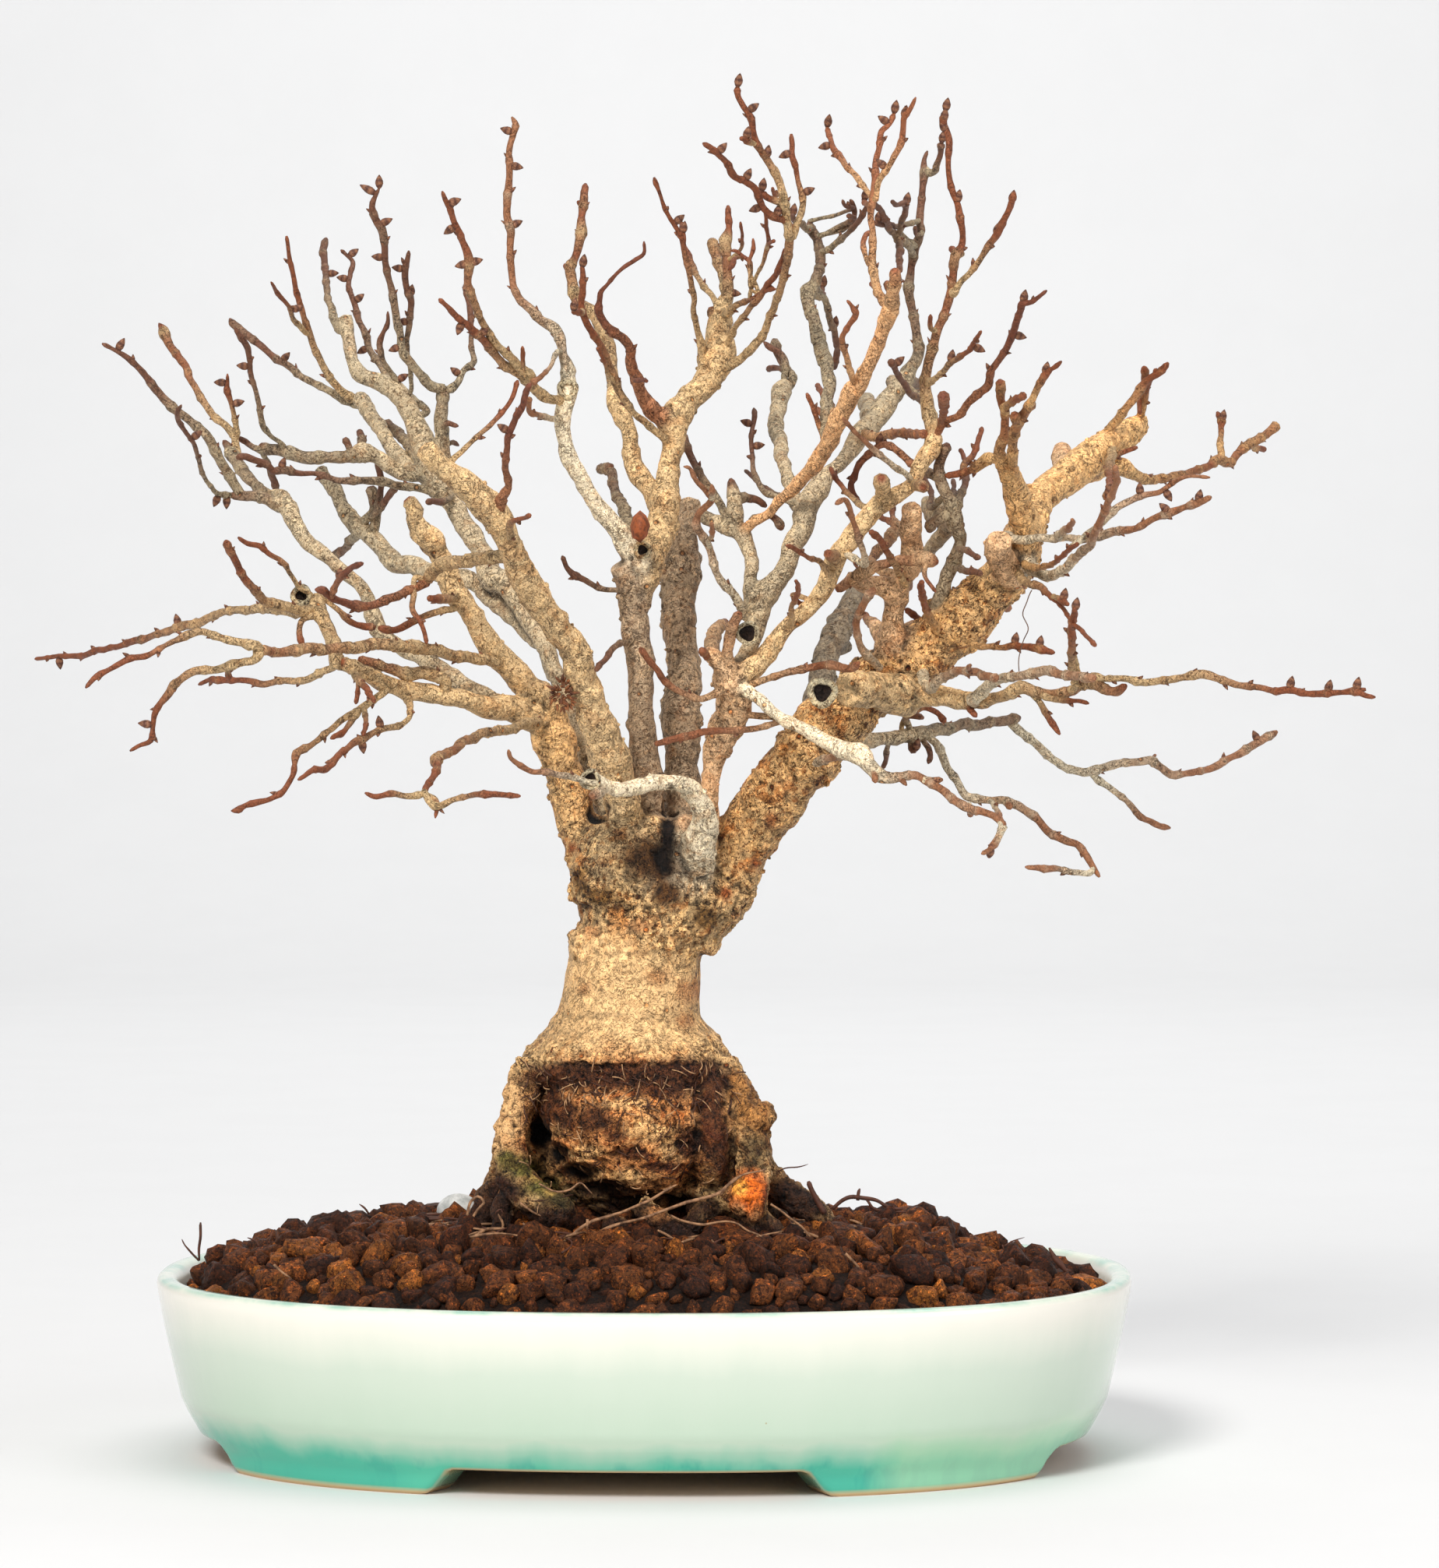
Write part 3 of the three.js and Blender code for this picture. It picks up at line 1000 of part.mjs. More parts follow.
function limbSolid(grown) {
  const spots = withEndBud(thinOut(grown.spots, ROUTE_TOLERANCE));
  const thickest = Math.max(...spots.map((spot) => spot.radius));
  return toSolid(taperedTube(spots, sidesFor(thickest)));
}

function trunkSolid(grow) {
  const rings = TRUNK_OUTLINE.map(([height, left, right, halfDepth], level) => {
    const leftEdge = place(left, height, 0);
    const rightEdge = place(right, height, 0);
    const centre = leftEdge.clone().add(rightEdge).multiplyScalar(0.5);
    const halfWidth = leftEdge.distanceTo(rightEdge) / 2 + grow;
    return Array.from({ length: TRUNK_SIDES }, (_, k) => {
      const angle = (k / TRUNK_SIDES) * Math.PI * 2;
      const swell = 1 + 0.03 * Math.sin(angle * 3 + level * 0.7);
      const x = centre.x + Math.cos(angle) * halfWidth;
      const y = Math.sin(angle) * (halfDepth + grow) * swell;
      return new THREE.Vector3(x, y, level === 0 ? ROOT_BOTTOM - grow : centre.z);
    });
  });
  return toSolid(skin(rings));
}

function rootSolids(grow) {
  return Object.values(ROOTS).map((route) => {
    const points = route.split(" ").map((point) => point.split(",").map(Number));
    const spots = points.map(([x, y, z, thickness]) => ({
      position: new THREE.Vector3(x, y, z),
      radius: thickness / 2 + grow,
    }));
    return toSolid(taperedTube(spots, 6));
  });
}

function footSolid(grow) {
  return joinAll([trunkSolid(grow), ...rootSolids(grow)]);
}

function lengthOf(grown) {
  const spots = grown.spots;
  return spots.slice(1).reduce((sum, spot, i) => sum + spot.position.distanceTo(spots[i].position), 0);
}

function treeSolid() {
  const grown = limbs.filter((each) => each.name !== "twig" || lengthOf(each) > SHORTEST_LIMB);
  return outerSkin(joinAll([footSolid(0), ...grown.map(limbSolid)]));
}

// one level of the pot: a rounded oval drawn in from the rim's outline
function ovalRing(inset, height, segments = POT_SEGMENTS) {
  return Array.from({ length: segments }, (_, k) => ovalPoint((k / segments) * Math.PI * 2, inset, height));
}

function ovalPoint(angle, inset, height) {
  const power = 2 / POT_SQUARENESS;
  const cos = Math.cos(angle);
  const sin = Math.sin(angle);
  const x = Math.sign(cos) * Math.abs(cos) ** power * (POT_HALF_LENGTH - inset);
  const y = Math.sign(sin) * Math.abs(sin) ** power * (POT_HALF_DEPTH - inset);
  return new THREE.Vector3(x, y, height);
}

function ovalSolid(profile, segments) {
  return toSolid(skin(profile.map(([inset, height]) => ovalRing(inset, height, segments))));
}

// a low wide trapezium tunnel under the pot, through its middle along Y
function archSolid({ bottom, top }, reach) {
  const outline = new THREE.Shape([
    new THREE.Vector2(-bottom - 2, -1),
    new THREE.Vector2(bottom + 2, -1),
    new THREE.Vector2(top, FOOT_HEIGHT),
    new THREE.Vector2(-top, FOOT_HEIGHT),
  ]);
  const tunnel = new THREE.ExtrudeGeometry(outline, { depth: reach * 2, bevelEnabled: false });
  tunnel.rotateX(Math.PI / 2);
  tunnel.translate(0, reach, 0);
  return tunnel;
}

function drainHoles() {
  return [-DRAIN_X, DRAIN_X].map((x) => {
    const hole = new THREE.CylinderGeometry(DRAIN_RADIUS, DRAIN_RADIUS, POT_FLOOR * 2, 20);
    hole.rotateX(Math.PI / 2);
    hole.translate(x, 0, POT_FLOOR - 4);
    return toSolid(hole);
  });
}

function potSolid() {
  const outside = ovalSolid(POT_OUTSIDE);
  const inside = ovalSolid([...POT_INSIDE, [5, POT_HEIGHT + 4]]);
  const recess = ovalSolid([[12.5 + FOOT_RING, -1], [13.5 + FOOT_RING, FOOT_HEIGHT]]);
  const longTunnel = toSolid(archSolid(LONG_ARCH, POT_HALF_DEPTH));
  const endTunnel = toSolid(archSolid(END_ARCH, POT_HALF_LENGTH).rotateZ(Math.PI / 2));
  const cuts = [inside, recess, longTunnel, endTunnel, ...drainHoles()];
  return cuts.reduce((pot, cut) => pot.subtract(cut), outside);
}

// height of the soil, from 0 in the middle to 1 at the pot's wall
function soilHeight(reach) {
  return SOIL_EDGE + SOIL_RISE * (1 - reach ** 6) ** 0.7;
}

function soilSolid() {
  const random = makeRandom(21);
  const rings = [[19.5, POT_FLOOR + GAP], [14.6, 15.4], [11.5, 20], [8.8, 30]].map(
    ([inset, height]) => ovalRing(inset, height, SOIL_SEGMENTS),
  );
  rings.push(ovalRing(POT_WALL + 1, SOIL_EDGE - 0.6, SOIL_SEGMENTS));
  for (let r = 0; r < SOIL_RINGS; r += 1) {
    const reach = Math.cos(((r + 1) / (SOIL_RINGS + 1)) * (Math.PI / 2));
    const turn = (r % 2) * (Math.PI / SOIL_SEGMENTS);
    rings.push(Array.from({ length: SOIL_SEGMENTS }, (_, k) => {
      const point = ovalPoint((k / SOIL_SEGMENTS) * Math.PI * 2 + turn, POT_WALL + 1.4, 0);
      const relief = (random() - 0.5) * GRAIN_RELIEF * 2;
      return new THREE.Vector3(point.x * reach, point.y * reach, soilHeight(reach) + relief);
    }));
  }
  return toSolid(skin(rings));
}

function pebbleGeometry(grow) {
  const pebble = new THREE.IcosahedronGeometry(PEBBLE.radius + grow, 1);
  pebble.scale(1, 0.85, 0.8);
  pebble.translate(PEBBLE.x, PEBBLE.y, PEBBLE.z);
  return pebble;
}

function boxSolid(sizeX, sizeY, sizeZ, x, y, z) {
  const box = new THREE.BoxGeometry(sizeX, sizeY, sizeZ);
  box.translate(x, y, z);
  return toSolid(box);
}

// plastic mesh laid over a drain hole
function screenSolid(x) {
  const height = POT_FLOOR + GAP + SCREEN.thickness / 2;
  const bars = [];
  for (let i = 0; i < SCREEN.bars; i += 1) {
    const offset = -SCREEN.half + SCREEN.bar / 2 + (i * (SCREEN.half * 2 - SCREEN.bar)) / (SCREEN.bars - 1);
    bars.push(boxSolid(SCREEN.bar, SCREEN.half * 2, SCREEN.thickness, x + offset, 0, height));
    bars.push(boxSolid(SCREEN.half * 2, SCREEN.bar, SCREEN.thickness, x, offset, height));
  }
  return joinAll(bars);
}

// wire that runs over a screen, down through the drain hole and out to both sides
function wireSolid(x) {
  const top = POT_FLOOR + GAP * 2 + SCREEN.thickness + WIRE.radius;
  const low = FOOT_HEIGHT - GAP - WIRE.radius;
  const route = [
    [x - WIRE.span - WIRE.foot, low],
    [x - WIRE.span, low],
    [x - WIRE.span, top],
    [x + WIRE.span, top],
    [x + WIRE.span, low],
    [x + WIRE.span + WIRE.foot, low],
  ];
  const spots = route.map(([px, pz]) => ({ position: new THREE.Vector3(px, 0, pz), radius: WIRE.radius }));
  return toSolid(taperedTube(spots, 8));
}

// the hollow that a screen and its wire leave in the soil
function screenPocket(x) {
  return boxSolid(SCREEN.half * 2 + 1, SCREEN.half * 2 + 1, 4, x, 0, POT_FLOOR + 1.6);
}

function turned(solid) {
  const geometry = toGeometry(solid);
  geometry.rotateZ(POT_TURN);
  geometry.translate(POT_X, 0, 0);
  return geometry;
}

function soilGeometry() {
  const filled = soilSolid().subtract(screenPocket(-DRAIN_X)).subtract(screenPocket(DRAIN_X));
  const soil = toSolid(turned(filled));
  return toGeometry(soil.subtract(footSolid(GAP + 0.1)).subtract(toSolid(pebbleGeometry(GAP))));
}

function material(color, roughness, metalness = 0) {
  return new THREE.MeshStandardMaterial({ color, roughness, metalness });
}

function piece(name, geometry, finish) {
  const mesh = new THREE.Mesh(geometry, finish);
  mesh.name = name;
  return mesh;
}

const plant = new THREE.Group();
plant.add(piece("tree", toGeometry(treeSolid()), material("#cdb08a", 0.85)));
plant.add(piece("pot", turned(potSolid()), material("#dcebdc", 0.2)));
plant.add(piece("soil", soilGeometry(), material("#5a3018", 0.95)));
plant.add(piece("pebble", pebbleGeometry(0), material("#c9c5bd", 0.8)));
[["left", -DRAIN_X], ["right", DRAIN_X]].forEach(([side, x]) => {
  plant.add(piece(`drain_screen_${side}`, turned(screenSolid(x)), material("#2b2d2c", 0.6)));
  plant.add(piece(`screen_wire_${side}`, turned(wireSolid(x)), material("#8a8d90", 0.35, 1)));
});

export default plant;
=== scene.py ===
# Leafless japanese zelkova bonsai in a glazed oval pot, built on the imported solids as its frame.
import json
import math

import bpy
import numpy as np
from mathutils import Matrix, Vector

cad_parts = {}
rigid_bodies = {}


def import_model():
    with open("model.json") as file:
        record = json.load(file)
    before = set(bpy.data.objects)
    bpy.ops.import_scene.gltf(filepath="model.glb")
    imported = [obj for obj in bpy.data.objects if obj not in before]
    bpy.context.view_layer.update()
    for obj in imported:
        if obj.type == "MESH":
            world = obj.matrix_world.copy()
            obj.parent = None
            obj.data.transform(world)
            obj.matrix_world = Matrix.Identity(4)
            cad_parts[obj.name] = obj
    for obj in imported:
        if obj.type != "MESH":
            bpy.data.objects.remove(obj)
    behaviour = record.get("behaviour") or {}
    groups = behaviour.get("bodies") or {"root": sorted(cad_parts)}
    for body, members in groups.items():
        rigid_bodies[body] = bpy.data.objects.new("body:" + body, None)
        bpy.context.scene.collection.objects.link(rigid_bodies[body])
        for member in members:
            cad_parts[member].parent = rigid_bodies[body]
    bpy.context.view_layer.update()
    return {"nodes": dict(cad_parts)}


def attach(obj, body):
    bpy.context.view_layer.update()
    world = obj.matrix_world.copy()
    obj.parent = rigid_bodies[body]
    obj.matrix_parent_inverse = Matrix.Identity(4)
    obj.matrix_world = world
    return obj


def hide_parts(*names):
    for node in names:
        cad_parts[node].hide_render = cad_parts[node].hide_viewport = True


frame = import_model()

# All sizes below are in millimetres, and become metres when a mesh is made.
MM = 0.001

# Middle of the pot along X. The whole plant stands around the origin.
POT_X = -2

# The limbs are placed from a straight front view of the tree. A point of that view is
# given in its pixels, 1848 wide and 2013 high, and stands at a chosen depth along Y.
VIEW_CENTRE = (924, 1006.5)
VIEW_HEIGHT_PIXELS = 2013
VIEW_FOCAL = 7500
VIEW_DISTANCE = 1500
VIEW_HEIGHT = 215
VIEW_TILT = math.radians(1.65)
VIEW_X = POT_X + 19.2
SENSOR_WIDTH = 36

# Pot: half sizes of its widest oval, how square the oval is, its floor and its four feet.
POT_TURN = math.radians(-2.3)
POT_HALF_LENGTH = 125
POT_HALF_DEPTH = 97
POT_SQUARENESS = 2.3
POT_SEGMENTS = 320
POT_FLOOR = 12
# height of the skirt that the feet are cut from, and where the rounded lip starts
POT_SKIRT = 12.5
LIP_HEIGHT = 43
# height of the feet, and how wide the ring is that the arches cut into four feet
FOOT_HEIGHT = 6.7
FOOT_RING = 12
# half width of the arch between two feet, at the ground and at its top
LONG_ARCH = (51, 42.5)
END_ARCH = (45, 38)
DRAIN_RADIUS = 9
DRAIN_X = 46
# how far the outside and the inside of the pot draw in from its widest oval: inset, height
POT_OUTSIDE = "12.5,0 11.8,5 9.6,9 7.6,12.5 6,16 4,24.5 1.9,34 0.3,42.5 0,44.9 0.25,46 0.9,46.6 2,46.8"
POT_INSIDE = "3.6,46.7 4.6,46.3 5.3,45.5 5.9,44.1 6.4,40 8.2,30 11,20 14,15 19,12"

# soil: height at the wall, how much higher the middle is, and the gap to the widest oval
SOIL_EDGE = 42
SOIL_RISE = 15.8
SOIL_INSET = 7.2

# trunk: each side's outline in the front view from the crotch down to the ledge, as "x,y"
TRUNK_LEFT = (
    "772,1045 748,1064 735,1080 727,1112 733,1120 729,1143 732,1157 743,1160 746,1183 741,1192 731,1198 "
    "730,1215 731,1232 727,1245 722,1280 716,1300 704,1318 694,1328 681,1343 671,1354"
)
TRUNK_RIGHT = (
    "892,1045 918,1064 930,1090 938,1118 942,1142 940,1158 936,1172 926,1196 906,1214 901,1228 "
    "899,1240 900,1255 898,1290 900,1306 910,1318 920,1326 929,1340 938,1353"
)
# half the trunk's depth from front to back at heights of the front view
TRUNK_DEPTH = "1045,11 1070,15 1105,17.5 1150,18 1185,17.5 1216,17 1255,17 1300,18.5 1325,22 1345,25 1356,26"
TRUNK_TOP = 1045
TRUNK_LEDGE = 1356
TRUNK_SIDES = 64

# bark colours: a limb has the first one, and turns to the second one at its thin young end
BARK_TONES = {
    "beige": ("#d2b182", "#8c4f30"),
    "tan": ("#e0b278", "#8c4e2e"),
    "grey": ("#b5a283", "#7a503a"),
    "dark": ("#877863", "#5c4436"),
    "white": ("#e4d3b3", "#a06c4a"),
    "taupe": ("#b2987a", "#7a503a"),
    "red": ("#ab7350", "#7c4630"),
    "orange": ("#d8a878", "#a0603e"),
    "knot": ("#d6ae84", "#8f5535"),
}
# the limbs of each bark colour; a twig has its carrier's, and every other limb is beige
LIMB_TONES = {
    "grey": "behind_centre left_back left_low_back left_back_right left_mid left_level left_lower_level "
    "left_upper left_upper_end left_far grey_right grey_up grey_thin grey_stem grey_lump grey_lean "
    "light_left_grey low_bar right_mid",
    "dark": "back_right",
    "taupe": "back_centre centre_stem",
    "white": "white_twig white_left white_loop white_arch white_link cross_twig grey_cut grey_cross "
    "low_light low_upper low_far low_drop centre_left right_level",
    "red": "left_red centre_brown front_red red_loop brown_right",
    "orange": "light_up light_up_left light_up_right link",
    "knot": "front_knot knot_column knot_left knot_bridge knot_stub right_rough right_knob",
    "tan": "right_limb left_fork right_upright right_upright_side right_rise right_rise_low",
}

# tint of a piece whose colour comes from its material alone
NO_TINT = [0, 0, 0, 1]


def numbers(text):
    """The rows of a list written as "a,b a,b", as an array."""
    return np.array([[float(value) for value in row.split(",")] for row in text.split()])


def running_total(steps):
    """The sum of the steps before each point, from 0 at the first."""
    return np.concatenate([[0], np.cumsum(steps)])


def lengths_along(path):
    """Distance of each spot of a path from its start."""
    return running_total(np.linalg.norm(np.diff(path[:, :3], axis=0), axis=1))


def unit(vector):
    """The vector at length 1."""
    return vector / max(np.linalg.norm(vector), 1e-9)


def circle_angles(count):
    """Angles of points spread evenly around a circle."""
    return np.arange(count) / count * 2 * math.pi


def flat_points(x, y, height):
    """Points of a level outline; the height is one number, or one for each point."""
    return np.stack([x, y, np.broadcast_to(height, x.shape)], axis=1)


def place(pixel_x, pixel_y, depth):
    """The point in millimetres that a pixel of the front view shows at a depth."""
    across = (pixel_x - VIEW_CENTRE[0]) / VIEW_FOCAL
    up = (VIEW_CENTRE[1] - pixel_y) / VIEW_FOCAL
    away = math.cos(VIEW_TILT) + up * math.sin(VIEW_TILT)
    rise = up * math.cos(VIEW_TILT) - math.sin(VIEW_TILT)
    reach = (depth + VIEW_DISTANCE) / away
    return np.array([VIEW_X + reach * across, depth, VIEW_HEIGHT + reach * rise])


def pixel_size(depth):
    """Size in millimetres of one pixel at a depth."""
    return (VIEW_DISTANCE + depth) / VIEW_FOCAL


def spot_at(pixel_x, pixel_y, thickness, depth):
    """x, y, z and radius of a round limb seen at a pixel."""
    return [*place(pixel_x, pixel_y, depth), thickness * pixel_size(depth) / 2]


def seen_at(points):
    """The pixels of the front view that show an array of points."""
    away = VIEW_DISTANCE + points[:, 1]
    across = (points[:, 0] - VIEW_X) / away
    drop = np.arctan((VIEW_HEIGHT - points[:, 2]) / away) - VIEW_TILT
    return VIEW_CENTRE[0] + VIEW_FOCAL * across, VIEW_CENTRE[1] + VIEW_FOCAL * np.tan(drop)


def colour(code):
    """A colour such as #c08040 as linear red, green and blue."""
    channels = [int(code[i : i + 2], 16) / 255 for i in (1, 3, 5)]
    return [c / 12.92 if c < 0.04045 else ((c + 0.055) / 1.055) ** 2.4 for c in channels]


def tinted(code, plainness=0):
    """A colour for vertices, and how plainly the material shows it."""
    return np.array([*colour(code), plainness])


def mixed(a, b, share):
    """Colour or point between a and b."""
    return [x + (y - x) * share for x, y in zip(a, b)]


# large primes that turn a whole-numbered cell into a number that looks random
CELL_KEYS = np.array([73856093, 19349663, 83492791])


def scrambled(key, factor=1274126177, shift=13):
    """Mixes the bits of a whole number."""
    return (key ^ (key >> shift)) * factor & 0x7FFFFFFF


def lattice_noise(points, size, seed):
    """Smooth noise between -1 and 1 with features of a size, for an array of points."""
    scaled = points / size + seed * 17.31
    cell = np.floor(scaled).astype(np.int64)
    part = scaled - cell
    part = part * part * (3 - 2 * part)
    total = np.zeros(len(points))
    for corner in range(8):
        shift = np.array([corner & 1, corner >> 1 & 1, corner >> 2 & 1])
        key = scrambled((cell + shift) @ CELL_KEYS + seed * 7919)
        value = scrambled(key, 668265263, 15) / 0x3FFFFFFF - 1
        weight = np.prod(np.where(shift == 1, part, 1 - part), axis=1)
        total += value * weight
    return total


def layered_noise(points, size, seed, layers=3):
    """Noise with finer and weaker layers on top of each other."""
    total = np.zeros(len(points))
    for layer in range(layers):
        total += lattice_noise(points, size / 2**layer, seed + layer) / 1.9**layer
    return total / 1.6


def cell_distance(points, size, seed):
    """Distance to the nearest of scattered seeds, one in each cell, as a share of the cell."""
    scaled = points / size
    cell = np.floor(scaled).astype(np.int64)
    nearest = np.full(len(points), 9.0)
    for dx in (-1, 0, 1):
        for dy in (-1, 0, 1):
            for dz in (-1, 0, 1):
                near = cell + np.array([dx, dy, dz])
                key = near @ CELL_KEYS + seed * 104729
                spot = near.astype(float)
                for axis in range(3):
                    key = scrambled(key)
                    spot[:, axis] += key % 4096 / 4096
                nearest = np.minimum(nearest, np.linalg.norm(scaled - spot, axis=1))
    return nearest


class Builder:
    """Collects vertices, faces and a tint for each vertex, and makes one mesh of them."""

    def __init__(self):
        self.points = []
        self.faces = []
        self.tints = []
        self.count = 0

    def add(self, points, faces, tint=NO_TINT):
        """Adds a skin; the tint is one for all, or one for each point, and its fourth value is plainness."""
        self.points.append(np.asarray(points, float))
        self.faces.extend([[i + self.count for i in face] for face in faces])
        self.tints.append(np.broadcast_to(np.asarray(tint, float), (len(points), 4)))
        self.count += len(points)

    def add_strand(self, path, step, sides, tint=NO_TINT):
        """Adds a closed tube through spots of x, y, z and radius."""
        self.add(*capped_rings(swept_rings(fine_path(np.array(path), step), sides)), tint)

    def make(self, name, material):
        """The collected skins as one object."""
        mesh = bpy.data.meshes.new(name)
        mesh.from_pydata((np.concatenate(self.points) * MM).tolist(), [], self.faces)
        set_tint(mesh, np.concatenate(self.tints))
        shade_smooth(mesh)
        mesh.materials.append(material)
        return add_piece(name, mesh)


def set_tint(mesh, tints):
    """Stores a tint for each vertex, for the materials to read."""
    attribute = mesh.color_attributes.get("tint")
    if attribute is None:
        attribute = mesh.color_attributes.new(name="tint", type="FLOAT_COLOR", domain="POINT")
    attribute.data.foreach_set("color", np.asarray(tints, np.float32).ravel())


def shade_smooth(mesh):
    """Hides the edges between the faces of a mesh."""
    mesh.polygons.foreach_set("use_smooth", np.ones(len(mesh.polygons), bool))


def add_piece(name, mesh):
    """An object in the scene that shows a mesh."""
    piece = bpy.data.objects.new(name, mesh)
    bpy.context.scene.collection.objects.link(piece)
    return piece


def after_modifiers(piece):
    """A new mesh of the piece with its modifiers applied; the piece itself is removed."""
    shown = piece.evaluated_get(bpy.context.evaluated_depsgraph_get())
    mesh = bpy.data.meshes.new_from_object(shown)
    name = piece.name
    bpy.data.objects.remove(piece)
    mesh.name = name
    return mesh


def ring_faces(rings, sides):
    """Quads between rings that follow each other, each with the same number of points."""
    faces = []
    for ring in range(rings - 1):
        start = ring * sides
        for k in range(sides):
            after = (k + 1) % sides
            faces.append([start + k, start + after, start + sides + after, start + sides + k])
    return faces


def capped_rings(rings):
    """Points and faces of a closed skin through rings, with a flat fan at both ends."""
    sides = len(rings[0])
    points = np.concatenate([*rings, [rings[0].mean(axis=0)], [rings[-1].mean(axis=0)]])
    faces = ring_faces(len(rings), sides)
    low = len(points) - 2
    high = len(points) - 1
    last = (len(rings) - 1) * sides
    for k in range(sides):
        after = (k + 1) % sides
        faces.append([low, after, k])
        faces.append([high, last + k, last + after])
    return points, faces


def fine_path(spots, step):
    """A smooth curve through spots of x, y, z and radius, with a point at every step."""
    gaps = np.linalg.norm(np.diff(spots[:, :3], axis=0), axis=1)
    kept = np.concatenate([[True], gaps > 0.01])
    spots = spots[kept]
    along = lengths_along(spots)
    if len(spots) > 2:
        slope = np.gradient(spots, along, axis=0)
    else:
        slope = np.diff(spots, axis=0).repeat(2, 0) / along[-1]
    wanted = np.linspace(0, along[-1], max(3, round(along[-1] / step) + 1))
    before = np.clip(np.searchsorted(along, wanted, side="right") - 1, 0, len(along) - 2)
    span = (along[before + 1] - along[before])[:, None]
    t = (wanted - along[before])[:, None] / span
    path = (
        spots[before] * (2 * t**3 - 3 * t**2 + 1)
        + spots[before + 1] * (3 * t**2 - 2 * t**3)
        + slope[before] * span * (t**3 - 2 * t**2 + t)
        + slope[before + 1] * span * (t**3 - t**2)
    )
    path[:, 3] = np.interp(wanted, along, spots[:, 3])
    return path


def swept_rings(path, sides):
    """Rings of points around a path, turned as little as possible from one to the next."""
    ahead = np.gradient(path[:, :3], axis=0)
    ahead /= np.maximum(np.linalg.norm(ahead, axis=1), 1e-9)[:, None]
    side = np.array([0.0, 1.0, 0.05])
    angles = circle_angles(sides)
    rings = []
    for spot, direction in zip(path, ahead):
        side = unit(side - direction * side.dot(direction))
        across = np.cross(direction, side)
        circle = np.cos(angles)[:, None] * side + np.sin(angles)[:, None] * across
        rings.append(spot[:3] + circle * spot[3])
    return rings


# Every limb is drawn from its base to its tip: its own name, the limb that carries it, the depth
# of its tip in mm, then its route as "x,y,thickness" in pixels of the front view. A limb on the
# trunk may state the depth of its base. Side twigs have no names: each is the depth of its tip,
# a colon and its route, and a semicolon ends all but the last.
limbs = []
limb_named = {}


def limb(name, parent_name, tip_depth, route, base_depth=0):
    """Keeps one limb; on another limb it starts from that one's nearest point."""
    points = numbers(route)
    parent = limb_named.get(parent_name)
    if parent:
        near = np.argmin(np.hypot(*(parent["points"][:, :2] - points[0, :2]).T))
        base_depth = parent["depths"][near]
        x, y, thickness = parent["points"][near]
        points = np.vstack([[x, y, min(points[0, 2], thickness)], points])
    grown = grow(points, base_depth, tip_depth)
    grown["tone"] = tone_of(name, parent)
    grown["parent"] = parent
    limbs.append(grown)
    if name != "twig":
        limb_named[name] = grown


def twigs(parent_name, rows):
    """Keeps the side twigs of one limb."""
    for row in rows.split(";"):
        tip_depth, route = row.split(":")
        limb("twig", parent_name, float(tip_depth), route)


def grow(points, base, tip):
    """Gives each point of a route its depth, with a slow sway so that no limb lies in a plane."""
    along = running_total(np.hypot(*np.diff(points[:, :2], axis=0).T))
    whole = along[-1]
    along = along / whole
    sway = min(whole * 0.006, 5)
    wave = sway * np.sin(along * 9 + points[0, 0]) * 4 * along * (1 - along)
    depths = base + (tip - base) * along + wave
    spots = [spot_at(*point, depth) for point, depth in zip(points, depths)]
    return {"points": points, "depths": depths, "spots": np.array(spots)}


def tone_of(name, parent):
    """Name of a limb's bark colour."""
    for tone, names in LIMB_TONES.items():
        if name in names.split():
            return tone
    if name == "twig" and parent:
        return parent["tone"]
    return "beige"


limb("right_limb", "trunk", -14, """
    868,1200,100 905,1150,104 935,1105,98 968,1060,88 995,1020,84 1022,985,81 1050,950,82 1080,918,80
    1110,892,74 1145,868,76 1180,845,76 1205,822,76 1235,797,76 1262,770,72 1285,745,62 1305,722,54
    1318,700,46""")
# left fork and the limbs that leave it
limb("left_fork", "trunk", 2, "770,1120,84 750,1080,62 737,1040,52 727,1000,50 716,960,50 705,925,48")
limb("left_inner", "left_fork", -14, """
    705,925,46 702,905,40 680,883,38 660,864,36 641,841,34 624,819,32 607,794,30 592,770,31 579,750,34
    573,736,34 564,712,26 554,691,32 540,680,28 532,666,20 530,652,20 522,640,18""")
limb("left_front", "trunk", -66, """
    808,1075,52 800,1040,50 786,985,50 772,942,44 758,900,40 747,866,40 739,838,38 722,813,36 697,780,36
    683,755,35 666,727,36 652,696,34 641,668,34 624,646,38 607,629,36 579,610,28 557,587,28 546,576,26
""", base_depth=-8)
twigs("left_front", "-84: 655,690,10 655,672,8 668,667,6 681,661,6")
limb("left_bridge", "left_front", -18, """
    652,718,18 613,719,18 590,720,18 568,724,18 557,733,18 548,747,14""")
limb("left_red", "left_bridge", -46, """
    548,747,12 537,754,11 518,761,11 495,771,11 478,776,11 459,778,14 442,773,10 425,766,9 414,758,13
    405,757,6""")
twigs("left_red", "-62: 425,766,8 431,752,8 442,736,9 456,727,8 466,723,6")
twigs("left_bridge", "-30: 536,742,8 531,766,7 529,783,8 540,798,6 548,826,6")
twigs("left_inner", "-26: 585,768,10 570,770,12 550,768,9")
